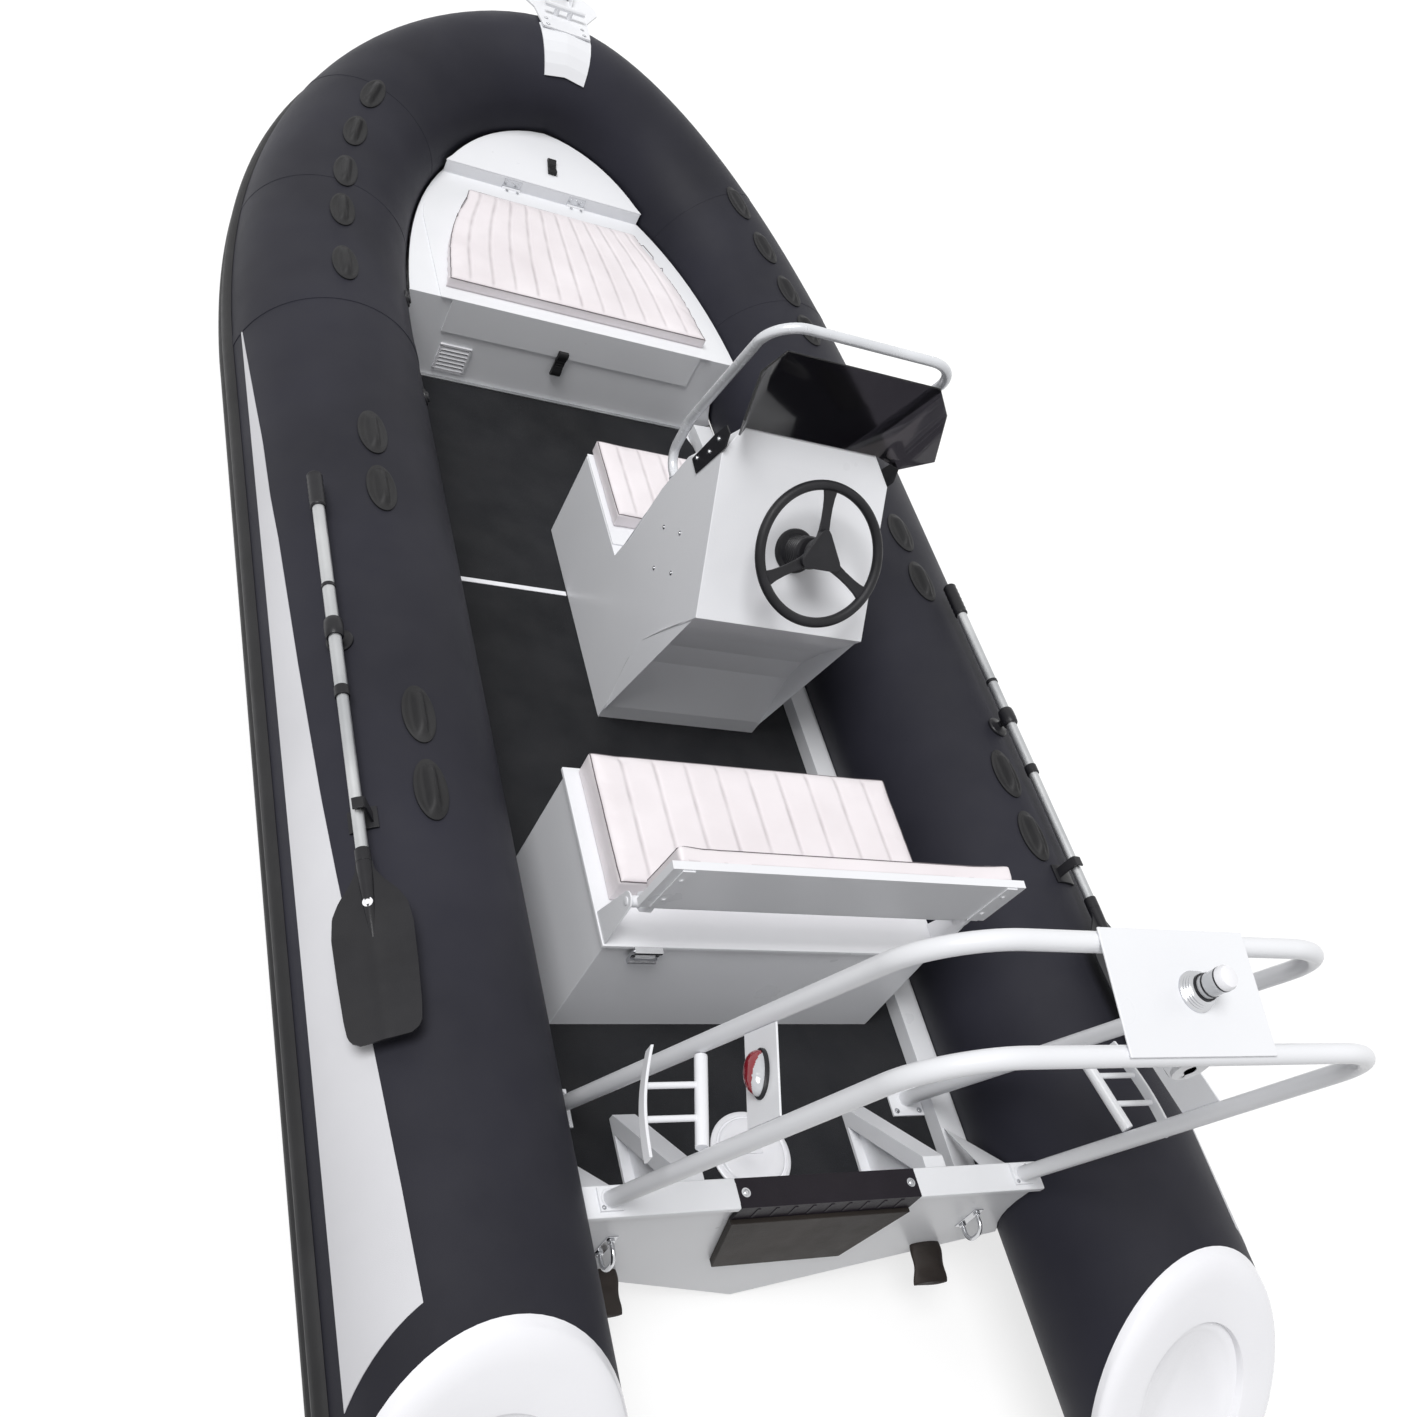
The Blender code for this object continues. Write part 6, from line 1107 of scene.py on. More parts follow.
bow_half_shares = [(k / 9, share) for k, share in enumerate(
    (1.00, 0.98, 0.963, 0.945, 0.916, 0.88, 0.835, 0.78, 0.72, 0.68))]
cushion("bow_seat_cushion", "bow_lid", "bow_cushion", lambda v: 0.440 * between(bow_half_shares, v), 0.540,
        0.040, Matrix.Translation((0, 2.800, 0.2916)), 12, voxel=0.007)
cushion("console_seat_cushion", "console_seat", "console_cushion", lambda v: 0.2335, 0.320, 0.048,
        Matrix.Translation((CONSOLE_X, 1.860, 0.2928)), 7)
cushion("bench_cushion", "bench_lid", "seat_cushion", lambda v: 0.409, 0.368, 0.075,
        Matrix.Translation((0, 0.600, 0.3396)), 10)
BACKREST_PIVOT = Vector((0, 0.520, 0.470))
BOARD_SETBACK = 0.020
BOARD_LEAN = radians(7.5)
BOARD_LOW = 0.050
BOARD_HEIGHT = 0.165
board_place = Matrix.Translation(BACKREST_PIVOT - Vector((0, BOARD_SETBACK, 0))) @ (
    Matrix.Rotation(BOARD_LEAN, 4, "X"))
pad_place = board_place @ Matrix.Translation((0, HAIR, BOARD_LOW)) @ Matrix.Rotation(radians(90), 4, "X") @ (
    Matrix.Scale(-1, 4, (0, 0, 1)))
cushion("backrest_cushion", "backrest", "backrest_pad", lambda v: 0.424, BOARD_HEIGHT, 0.042, pad_place, 10)

# Anchor lid: a painted sheet that slopes up from the step to the bow tube, over the anchor's locker.
# It is hinged at its foot, by the step, and has a black rubber toggle of its own.
ANCHOR_SLOPE = 0.3382
dress("anchor_lid", white_paint, 0.001)
slope_run = Vector((0, 1, ANCHOR_SLOPE)).normalized()
slope_rise = Vector((0, -ANCHOR_SLOPE, 1)).normalized()
latch("anchor_toggle", (0.020, 3.520, 0.3502), slope_run, slope_rise, 0.060, 0.014,
      black_rubber, "black_rubber", "anchor_strap", "anchor_latch")

# Console: a folded sheet box, painted white, with a screwed hatch frame on each side and a seat locker
# forward. Its brow carries the windscreen.
CONSOLE_AFT = 1.290
CONSOLE_LENGTH = 0.865
CONSOLE_HEIGHT = 0.897
console_screw_shares = ((0.374, 0.599), (0.284, 0.661), (0.311, 0.496), (0.220, 0.566))
dress("console_shell", white_paint, 0.003)
dress("console_seat_lid", white_paint, 0.001)


def console_point(x, y, z):
    """A point beside the console, at shares of its length and height."""
    return Vector((x, CONSOLE_AFT + CONSOLE_LENGTH * y, CONSOLE_HEIGHT * z))


bm = bmesh.new()
for side in (-1, 1):
    for y, z in console_screw_shares:
        bolt(bm, console_point(CONSOLE_X + side * CONSOLE_HALF, y, z), (side, 0, 0), 0.0035, 0.003)
finish("console_screws", bm, stainless, "hull", "stainless")

# Helm: the steering head, a black moulded boss with a ribbed collar round its shaft.
# It is bolted to the middle of the sloping dash.
DASH_LOW = Vector((CONSOLE_X, 1.2900, 0.5502))
DASH_HIGH = Vector((CONSOLE_X, 1.5521, 0.8453))
HELM_HEIGHT = 0.107
dash_run = (DASH_HIGH - DASH_LOW).normalized()
dash_normal = Vector((0, -dash_run.z, dash_run.y))
helm_foot = (DASH_LOW + DASH_HIGH) / 2 + dash_normal * HAIR
helm_profile = [(0, 0), (0.055, 0), (0.055, 0.006), (0.0525, 0.010), (0.044, 0.012), (0.041, 0.018)]
for k in range(6):
    low = 0.024 + 0.009 * k
    helm_profile += [(0.0405, low), (0.0385, low + 0.0015), (0.0385, low + 0.004), (0.0405, low + 0.0055)]
helm_profile += [(0.040, 0.080), (0.036, 0.086), (0.020, 0.088), (0.018, 0.091), (0.018, HELM_HEIGHT),
                 (0, HELM_HEIGHT)]
bm = bmesh.new()
turn_profile(bm, helm_profile, facing(helm_foot, dash_normal), steps=48)
finish("helm_boss", bm, black_plastic, "hull", "black_plastic", "helm")

# Steering wheel: a black moulded rim on three broad flat spokes, with a three-sided centre pad.
# A hub behind the pad slides over the helm's shaft.
WHEEL_RADIUS = 0.164
WHEEL_ROD = 0.0125
RIM_STEPS = 120
SPOKE_BACK = 0.0045
PAD_BACK = 0.0012
PAD_REACH = 0.060
HUB_RADIUS = 0.036
HUB_HALF = 0.016
wheel_centre = helm_foot + dash_normal * (HELM_HEIGHT + HAIR + HUB_HALF)
wheel_place = Matrix((
    (1, dash_run.x, dash_normal.x, wheel_centre.x), (0, dash_run.y, dash_normal.y, wheel_centre.y),
    (0, dash_run.z, dash_normal.z, wheel_centre.z), (0, 0, 0, 1)))
spoke_angles = (90, 210, 330)
spoke_shares = ((0.16, 0.130), (0.24, 0.104), (0.35, 0.082), (0.50, 0.072), (0.68, 0.074), (0.82, 0.086),
                (0.92, 0.108), (0.99, 0.140))
rim_plastic = skin_material(
    "rim_plastic", (24, 24, 27), (34, 34, 38), 0.34, 0.48, 14, 800, 0.0005, dust=0.02, shine=0.25)
bm = bmesh.new()
rim_turns = [2 * pi * k / RIM_STEPS for k in range(RIM_STEPS)]
rim = [wheel_place @ Vector((WHEEL_RADIUS * cos(turn), WHEEL_RADIUS * sin(turn), 0)) for turn in rim_turns]
sweep(bm, bar_rings(rim, WHEEL_ROD, 24, closed=True), closed=True)
spoke_up = wheel_place.to_3x3() @ Vector((0, 0, 2 * SPOKE_BACK))
pad_up = wheel_place.to_3x3() @ Vector((0, 0, 0.014))
for angle in spoke_angles:
    turned = wheel_place @ Matrix.Rotation(radians(angle), 4, "Z")
    outline = [Vector((share * WHEEL_RADIUS, half * WHEEL_RADIUS, -SPOKE_BACK))
               for share, half in spoke_shares]
    outline += [Vector((point.x, -point.y, point.z)) for point in reversed(outline)]
    plate(bm, [turned @ point for point in outline], spoke_up)
pad_corners = []
for angle in spoke_angles:
    for offset in (-16, -8, 0, 8, 16):
        turn = radians(angle + offset)
        reach = PAD_REACH - 0.00003 * offset * offset
        pad_corners.append(wheel_place @ Vector((reach * cos(turn), reach * sin(turn), PAD_BACK)))
plate(bm, pad_corners, pad_up)
hub_profile = ((0, -HUB_HALF), (HUB_RADIUS, -HUB_HALF), (HUB_RADIUS, 0.002), (0, 0.002))
turn_profile(bm, hub_profile, wheel_place, steps=48)
finish("wheel", bm, rim_plastic, "wheel", "black_plastic", "steering_wheel", rounded=0.002)

# Windscreen: a smoked acrylic sheet bent in three facets, with its wings folded aft.
# It stands on the console's brow between two brackets.
SCREEN_HEIGHT = 0.255
SCREEN_LEAN = 0.035
SCREEN_THICKNESS = 0.005
screen_foot = Vector((CONSOLE_X, 1.6023, 0.898))
screen_wing = ((0.190, 0, 0), (0.215, 1, 0), (0.263, 0.78, 0.029), (0.271, 0.37, 0.095), (0.231, 0.06, 0.057))
smoked_screen = bpy.data.materials.new("smoked_screen")
smoked_screen.use_nodes = True
screen_tree = smoked_screen.node_tree
screen_shader = screen_tree.nodes["Principled BSDF"]
screen_shader.inputs["Transmission Weight"].default_value = 0.92
screen_shader.inputs["IOR"].default_value = 1.49
screen_shader.inputs["Specular IOR Level"].default_value = 0.3
screen_skin = screen_tree.nodes.new("ShaderNodeGroup")
screen_skin.node_tree = WORN_SKIN
for label, value in (("Dark", shade(44, 42, 47)), ("Light", shade(56, 54, 59)), ("Gloss", 0.04),
                     ("Matt", 0.10), ("Cloud scale", 2.5), ("Grain scale", 60)):
    screen_skin.inputs[label].default_value = value
screen_tree.links.new(screen_skin.outputs["Colour"], screen_shader.inputs["Base Color"])
screen_tree.links.new(screen_skin.outputs["Roughness"], screen_shader.inputs["Roughness"])


def screen_point(half, share, reach):
    """A point of the screen: half width, share of its height and distance aft of the centre facet."""
    return screen_foot + Vector((half, -SCREEN_LEAN * share - reach, SCREEN_HEIGHT * share))


bm = bmesh.new()
inner = []
for side in (-1, 1):
    corners = [bm.verts.new(screen_point(side * half, share, reach)) for half, share, reach in screen_wing]
    inner.append(corners[:2])
    for k in (1, 2, 3):
        bm.faces.new((corners[0], corners[k], corners[k + 1]))
bm.faces.new((inner[0][0], inner[0][1], inner[1][1], inner[1][0]))
bmesh.ops.recalc_face_normals(bm, faces=bm.faces)
bmesh.ops.solidify(bm, geom=bm.faces[:], thickness=SCREEN_THICKNESS)
finish("screen_sheet", bm, smoked_screen, "hull", "smoked_screen", "windscreen", rounded=0.001)

# Screen brackets: black cut plates that carry the screen's wings.
# Each lies against the console's side and is held by three bright bolts.
bracket_shares = ((0.418, 0.820), (0.362, 0.815), (0.297, 0.968), (0.312, 1.004), (0.345, 1.004),
                  (0.372, 0.955))
bracket_bolt_shares = ((0.395, 0.842), (0.355, 0.900), (0.345, 0.955))
bm = bmesh.new()
bolts = bmesh.new()
for side in (-1, 1):
    start = CONSOLE_X + side * (CONSOLE_HALF + HAIR)
    plate(bm, [console_point(start, y, z) for y, z in bracket_shares], (side * SHEET, 0, 0))
    for y, z in bracket_bolt_shares:
        bolt(bolts, console_point(start + side * SHEET, y, z), (side, 0, 0))
finish("screen_brackets", bm, black_plastic, "hull", "black_plastic", "screen_bracket_port",
       "screen_bracket_stbd", rounded=0.0012)
finish("bracket_bolts", bolts, stainless, "hull", "stainless")

# Console rail: one bent aluminium tube, painted silver-white, that goes up and round the screen.
# It is welded to flanges that are bolted to the console's front.
RAIL_RADIUS = 0.0125
RAIL_LOW_HALF = 0.222
RAIL_TOP_HALF = 0.262
RAIL_FOOT = 0.622
RAIL_REACH = 0.075
RAIL_TOP = 1.200
RAIL_AFT = 0.110
CONSOLE_FRONT_LOW = Vector((0, 1.7130, 0.5789))
CONSOLE_FRONT_HIGH = Vector((0, 1.6767, 0.7197))
rail_paint = skin_material(
    "rail_paint", (214, 216, 220), (232, 234, 238), 0.20, 0.32, 7, 300, 0.0002, dust=0.03, metallic=0.2)
front_lean = (CONSOLE_FRONT_LOW.y - CONSOLE_FRONT_HIGH.y) / (CONSOLE_FRONT_HIGH.z - CONSOLE_FRONT_LOW.z)
rail_y = (CONSOLE_FRONT_LOW.y - front_lean * (RAIL_FOOT - CONSOLE_FRONT_LOW.z) + HAIR
          + RAIL_RADIUS * front_lean)
rail_corners = [Vector((RAIL_LOW_HALF, rail_y, RAIL_FOOT)),
                Vector((RAIL_LOW_HALF, rail_y + RAIL_REACH, RAIL_FOOT)),
                Vector((RAIL_LOW_HALF + (RAIL_TOP_HALF - RAIL_LOW_HALF) / 4, rail_y + RAIL_REACH * 0.8,
                        RAIL_FOOT + (RAIL_TOP - RAIL_FOOT) / 4)),
                Vector((RAIL_TOP_HALF, rail_y - RAIL_AFT, RAIL_TOP))]
rail_side = bent_path(rail_corners, 0.050)
across_top = Vector((-RAIL_TOP_HALF, rail_side[-1].y, rail_side[-1].z))
rail_side = rail_side[:-1] + bent_path([rail_side[-2], rail_side[-1], across_top], 0.085, 12)[1:-1]
rail_path = rail_side + [Vector((-point.x, point.y, point.z)) for point in reversed(rail_side)]
bm = bmesh.new()
sweep(bm, bar_rings([point + Vector((CONSOLE_X, 0, 0)) for point in rail_path], RAIL_RADIUS, 28))
for side in (-1, 1):
    foot = Vector((CONSOLE_X + side * RAIL_LOW_HALF, rail_y, RAIL_FOOT))
    turn_profile(bm, ((0, 0.001), (0.0165, 0.001), (0.0165, 0.004), (0.0135, 0.007), (0, 0.007)),
                 facing(foot, (0, 1, front_lean)), steps=36)
finish("console_rail_tube", bm, rail_paint, "hull", "white_paint", "console_rail")

# Bench: a box of painted sheet across the aft deck, a locker with a folded lid for a seat.
# The lid is hinged forward, and a bright toggle latch on the aft face holds it down.
BENCH_FORWARD = 0.958
dress("seat_box", white_paint, 0.002)
dress("seat_lid", white_paint, 0.002)
latch("bench_toggle", (-0.329, 0.4957, 0.3393), Vector((0, 0, -1)), Vector((0, -1, 0)), 0.050, 0.033,
      stainless, "stainless", "bench_strap", "seat_latch")
bm = bmesh.new()
for x in (-0.28, 0, 0.28):
    block(bm, (x - 0.035, BENCH_FORWARD, 0.285), (x + 0.035, BENCH_FORWARD + HINGE_LEAF, 0.3285))
    for across in (-0.022, 0.022):
        bolt(bm, (x + across, BENCH_FORWARD + HINGE_LEAF, 0.300), (0, 1, 0), *SMALL_SCREW)
finish("bench_hinge_leaves", bm, stainless, "hull", "stainless", rounded=0.0004)

# Backrest: a cross tube between two cut brackets on the bench lid, all painted and screwed down.
# A board with two straps on its back swings on the tube, and carries the pad.
PIVOT_RADIUS = 0.0125
BRACKET_X = 0.428
BRACKET_FOOT = 0.080
BRACKET_HEAD = 0.021
LID_TOP = 0.3393
STRAP_X = 0.400
STRAP_HALF = 0.014
STRAP_BACK = 0.0215
STRAP_FRONT = 0.0181
STRAP_MARGIN = 0.004
cap_nut_profile = ((0, 0), (0.009, 0), (0.009, 0.002), (0.004, 0.003), (0, 0.003))
tube_end = Vector((BRACKET_X + SHEET / 2, 0, 0))
bracket_turns = [radians(a) for a in range(20, 161, 14)]
bm = bmesh.new()
sweep(bm, bar_rings([BACKREST_PIVOT - tube_end, BACKREST_PIVOT + tube_end], PIVOT_RADIUS, 32))
for side in (-1, 1):
    x, y, z = side * BRACKET_X, BACKREST_PIVOT.y, BACKREST_PIVOT.z
    outline = [Vector((x, y - BRACKET_FOOT / 4, LID_TOP + HAIR)),
               Vector((x, y + BRACKET_FOOT * 0.75, LID_TOP + HAIR))]
    outline += [Vector((x, y + BRACKET_HEAD * cos(turn), z + BRACKET_HEAD * sin(turn)))
                for turn in bracket_turns]
    plate(bm, outline, (side * SHEET, 0, 0))
    turn_profile(bm, cap_nut_profile, facing((side * (BRACKET_X + SHEET), y, z), (side, 0, 0)), steps=24)
finish("backrest_brackets", bm, white_paint, "bench_lid", "white_paint", "backrest_frame", rounded=0.001)
dress("backrest_board", white_paint, 0.002)
bm = bmesh.new()
for x in (-STRAP_X, STRAP_X):
    block(bm, (x - STRAP_HALF, -STRAP_BACK, BOARD_LOW + STRAP_MARGIN),
          (x + STRAP_HALF, -STRAP_FRONT, BOARD_LOW + BOARD_HEIGHT - STRAP_MARGIN), board_place)
    for height in (0.25, 0.75):
        bolt(bm, board_place @ Vector((x, -STRAP_BACK, BOARD_LOW + BOARD_HEIGHT * height)),
             board_place.to_3x3() @ Vector((0, -1, 0)), 0.004, 0.0025)
finish("backrest_straps", bm, white_paint, "backrest", "white_paint", rounded=0.001)

# Oars: silver shafts in two telescoped lengths with black collars, grips and ribbed blades.
# Each lies along its tube in a swivel holder and a hook, whose feet are glued to the tube.
OAR_RADIUS = 0.014
OAR_LIFT = 0.045
OAR_JOIN = 0.430
OAR_GRIP_LENGTH = 0.110
OAR_GRIP_RIDGES = 13
OAR_BLADE_LENGTH = 0.380
OAR_BLADE_HALF = 0.078
OAR_SIDES = 36
HOLDER_HALF = 0.025
CLIP_HALF = 0.013
CLIP_PAD_HALF = (0.026, 0.030)
SOCKET_RIVET = 0.095
blade_shares = ((0, 0.22), (0.05, 0.24), (0.12, 0.44), (0.20, 0.74), (0.28, 0.93), (0.40, 1), (0.64, 0.97),
                (0.86, 0.92), (0.95, 0.87), (0.985, 0.75), (1, 0.60))
socket_profile = ((0, -0.190), (0.0040, -0.185), (0.0118, -0.100), (0.0145, -0.050), (0.0155, 0), (0, 0))
# start, length and radius of each collar on the shaft
collar_rows = ((0, 0.030, 0.0155), (OAR_JOIN - 0.012, 0.026, 0.0162), (OAR_JOIN + 0.30, 0.010, 0.0158))
sleeve_profile = ((OAR_RADIUS + HAIR, -HOLDER_HALF), (0.0175, -HOLDER_HALF), (0.020, 0.004 - HOLDER_HALF),
                  (0.021, -0.008), (0.021, 0.008), (0.020, HOLDER_HALF - 0.004), (0.0175, HOLDER_HALF),
                  (OAR_RADIUS + HAIR, HOLDER_HALF), (OAR_RADIUS + HAIR, -HOLDER_HALF))
stem_profile = ((0, HAIR), (0.030, HAIR), (0.030, 0.005), (0.027, 0.008), (0.015, 0.010), (0.009, 0.014),
                (0.009, OAR_LIFT - OAR_RADIUS - 0.004), (0, OAR_LIFT - OAR_RADIUS - 0.004))
post = OAR_RADIUS + 0.0025
# across the tube and out from it, from the foot of the hook round its lip and back
hook_outline = ((post, 0.004 - OAR_LIFT), (post + 0.005, 0.004 - OAR_LIFT), (post + 0.005, 0.012),
                (post + 0.001, 0.0195), (0.006, 0.0215), (-OAR_RADIUS / 3, 0.0215), (-OAR_RADIUS / 3, 0.0168),
                (0.006, 0.0168), (post - 0.002, 0.0155), (post, 0.011))
for side, word, angle, shift in ((-1, "port", radians(58), 0), (1, "starboard", radians(80), -0.055)):
    tag = TAGS[side]
    centre, outboard, up = tube_frame(0, side)
    normal = outboard * cos(angle) + up * sin(angle)
    inboard = up * cos(angle) - outboard * sin(angle)

    def oar_point(station, radial, across=0.0):
        along = centre + Vector((0, station, 0))
        return along + normal * (TUBE_RADIUS + OAR_LIFT + radial) + inboard * across

    neck, grip_end, holder, clip = (station + shift for station in (0.610, 1.705, 1.220, 0.740))
    grip_start = grip_end - OAR_GRIP_LENGTH
    body = tag + "_oar"
    along_oar = facing(oar_point(neck, 0), (0, 1, 0))
    shaft = ((0, 0), (0.0125, 0), (0.0125, OAR_JOIN), (OAR_RADIUS, OAR_JOIN),
             (OAR_RADIUS, grip_start - neck + 0.01), (0, grip_start - neck + 0.01))
    bm = bmesh.new()
    turn_profile(bm, shaft, along_oar, steps=OAR_SIDES)
    finish(word + "_oar_shaft", bm, bare_aluminium, body, "bare_aluminium", "oar_" + tag)
    grip = [(0, grip_start - neck), (0.016, grip_start - neck)]
    for k in range(OAR_GRIP_RIDGES):
        grip.append((0.0188 - 0.0012 * (k % 2), grip_start - neck + 0.004 + 0.0085 * k))
    grip += [(0.017, grip_end - neck - 0.001), (0.012, grip_end - neck), (0, grip_end - neck)]
    bm = bmesh.new()
    turn_profile(bm, grip, along_oar, steps=OAR_SIDES)
    for start, length, radius in collar_rows:
        collar = ((0, start), (radius, start), (radius, start + length), (0, start + length))
        turn_profile(bm, collar, along_oar, steps=OAR_SIDES)
    turn_profile(bm, socket_profile, along_oar, steps=OAR_SIDES)
    finish(word + "_oar_grip", bm, black_plastic, body, "black_plastic", rounded=0.0012)
    bm = bmesh.new()
    for facing_out in (1, -1):
        bolt(bm, oar_point(neck - SOCKET_RIVET, facing_out * 0.0105), normal * facing_out, 0.006, 0.0035)
    finish(word + "_oar_rivet", bm, white_moulding, body, "white_moulding")

    def blade_place(u, v, level):
        across = 2 * v - 1
        half = OAR_BLADE_HALF * between(blade_shares, u)
        spine = exp(-(across / 0.16) ** 2) * (1 - 0.75 * u)
        thick = 0.0026 + 0.0042 * spine - 0.0008 * abs(across)
        dish = 0.0015 * sin(pi * u) * across * across
        rise = (thick if level else -thick) - dish
        return oar_point(neck - HAIR - OAR_BLADE_LENGTH * u, rise, half * across)

    bm = bmesh.new()
    slab(bm, 48, 24, blade_place)
    finish(word + "_oar_blade", bm, black_plastic, body, "black_plastic", "oar_blade_" + tag, sharp=50)
    bm = bmesh.new()
    turn_profile(bm, sleeve_profile, facing(oar_point(holder, 0), (0, 1, 0)), steps=OAR_SIDES)
    turn_profile(bm, stem_profile, facing(oar_point(holder, -OAR_LIFT), normal), steps=OAR_SIDES)
    finish(word + "_oar_holder", bm, black_plastic, body, "black_plastic", "rowlock_" + tag)

    def clip_place(u, v, level):
        x, y = (2 * u - 1) * CLIP_PAD_HALF[0], (2 * v - 1) * CLIP_PAD_HALF[1]
        thick = 0.0077 * (1 - 0.35 * abs(2 * v - 1) ** 3) if level else HAIR
        return on_tube(clip + x, angle + y / TUBE_RADIUS, thick, side)

    bm = bmesh.new()
    slab(bm, 8, 10, clip_place)
    plate(bm, [oar_point(clip - CLIP_HALF, radial, across) for across, radial in hook_outline],
          (0, 2 * CLIP_HALF, 0))
    finish(word + "_oar_hook", bm, black_plastic, "hull", "black_plastic", "oar_clip_" + tag, rounded=0.001)

# Stern arch: two hoops of bent tube, painted white, on bolted foot plates. A lifting tab hangs from the
# aft hoop, and a folded plate joins the two at the top.
HOOP_RADIUS = 0.017
HOOP_BEND = 0.150
FOOT_PLATE = 0.006
FRONT_PLATE_HALF = 0.045
REAR_PLATE_HALF = 0.024
WELD_ROD = 0.0028
WELD_STEPS = 40
TAB_HALF = 0.030
TAB_DROP = 0.0335
TAB_HOLE = 0.011
TAB_STEPS = 48
front_foot, front_top = Vector((0.462, 0.300, 0)), Vector((0.433, -0.115, 1.332))
rear_foot, rear_top = Vector((0.500, -0.020, SHOULDER_TOP)), Vector((0.478, -0.290, 1.294))
four_corners = ((1, 1), (1, -1), (-1, 1), (-1, -1))
plate_bolts = bmesh.new()
for name, node, foot, top, half, spots, bolt_size in (
        ("front_hoop", "arch_front_hoop", front_foot, front_top, FRONT_PLATE_HALF, four_corners, 0.0042),
        ("rear_hoop", "arch_rear_hoop", rear_foot, rear_top, REAR_PLATE_HALF, ((1, 1), (-1, -1)), 0.0028)):
    bm = bmesh.new()
    far_foot, far_top = Vector((-foot.x, foot.y, foot.z)), Vector((-top.x, top.y, top.z))
    rings = bar_rings(bent_path([foot, top, far_top, far_foot], HOOP_BEND, 14), HOOP_RADIUS, 32)
    for ring, leg in ((rings[0], top - foot), (rings[-1], far_top - far_foot)):
        for point in ring:
            point += leg * ((foot.z + FOOT_PLATE / 2 - point.z) / leg.z)
    sweep(bm, rings)
    for side in (-1, 1):
        x = side * foot.x
        block(bm, (x - half, foot.y - half, foot.z + HAIR),
              (x + half, foot.y + half, foot.z + HAIR + FOOT_PLATE))
        lean = Vector((side * (top.x - foot.x), top.y - foot.y, top.z - foot.z)).normalized()
        weld_turns = [2 * pi * k / WELD_STEPS for k in range(WELD_STEPS)]
        weld_centre = Vector((x, foot.y, foot.z + FOOT_PLATE))
        weld = [weld_centre + Vector((cos(turn), sin(turn) * 1.04, 0)) * HOOP_RADIUS + lean * 0.001
                for turn in weld_turns]
        sweep(bm, bar_rings(weld, WELD_ROD, 8, closed=True), closed=True)
        for across, along in spots:
            place = (x + across * half * 0.72, foot.y + along * half * 0.72, foot.z + HAIR + FOOT_PLATE)
            bolt(plate_bolts, place, (0, 0, 1), bolt_size, 0.0035)
    if name == "rear_hoop":
        eye = Vector((0.020, rear_top.y, rear_top.z - HOOP_RADIUS / 2 - TAB_DROP))
        outer, inner = [], []
        for k in range(TAB_STEPS):
            turn = 2 * pi * k / TAB_STEPS
            reach = TAB_HALF
            if sin(turn) >= 0:
                reach = min(TAB_HALF / max(abs(cos(turn)), 0.001), TAB_DROP / max(sin(turn), 0.001))
            outer.append(Vector((reach * cos(turn), 0, reach * sin(turn))))
            inner.append(Vector((TAB_HOLE * cos(turn), 0, TAB_HOLE * sin(turn))))
        thick = Vector((0, SHEET, 0))
        sweep(bm, [[eye + point + offset for point in ring] for ring, offset in (
            (outer, thick), (outer, -thick), (inner, -thick), (inner, thick))], closed=True)
    finish(name, bm, white_paint, "hull", "white_paint", node, rounded=0.001)
finish("foot_plate_bolts", plate_bolts, stainless, "hull", "stainless")
dress("arch_top_plate", white_paint, 0.0015)

# Arch racks: a round strut between the hoops at each side, with a bowed flat bar outside it on two rungs.
# All of it is aluminium, welded to the arch and painted white with it.
RACK_HEIGHT = 0.625
RACK_REACH = 0.100
RACK_BOW = 0.012
RACK_BAR = 0.006
RACK_ROD = 0.0125
RACK_STEPS = 24
RUNG_ROD = 0.006


def leg_point(foot, top, height, side, forward=0.0):
    """A point of an arch leg at a height above the deck."""
    point = foot + (top - foot) * ((height - foot.z) / (top.z - foot.z))
    return Vector((side * point.x, point.y + forward, point.z))


def leg_half(foot, top):
    """Half the leg's width fore and aft in a level cut, and a hair."""
    return HOOP_RADIUS * sqrt(1 + ((foot.y - top.y) / (top.z - foot.z)) ** 2) + 2 * HAIR


front_half, rear_half = leg_half(front_foot, front_top), leg_half(rear_foot, rear_top)
fore_lean = (front_foot.y - front_top.y) / (front_top.z - front_foot.z)
aft_lean = (rear_foot.y - rear_top.y) / (rear_top.z - rear_foot.z)
for side, word in SIDES:
    fore = leg_point(front_foot, front_top, RACK_HEIGHT, side, -front_half - RACK_ROD * fore_lean)
    rear = leg_point(rear_foot, rear_top, RACK_HEIGHT, side, rear_half + RACK_ROD * aft_lean)
    flat = []
    for k in range(RACK_STEPS + 1):
        share = k / RACK_STEPS
        reach = RACK_REACH + RACK_BOW * sin(pi * share)
        flat.append(rear + (fore - rear) * (share * 1.2 - 0.1) + Vector((side * reach, 0, -RACK_ROD)))
    bm = bmesh.new()
    sweep(bm, bar_rings([rear, fore], RACK_ROD, 28))
    outer_edge = [point + Vector((side * RACK_BAR, 0, 0)) for point in reversed(flat)]
    plate(bm, flat + outer_edge, (0, 0, 2 * RACK_ROD))
    for share in (0.32, 0.68):
        spot = rear.lerp(fore, share)
        reach = Vector((side * (RACK_REACH + RACK_BOW / 2 + RACK_BAR / 2), 0, 0))
        sweep(bm, bar_rings([spot, spot + reach], RUNG_ROD, 18))
    finish(word + "_rack", bm, white_paint, "hull", "white_paint", "arch_rack_" + TAGS[side], rounded=0.0012)

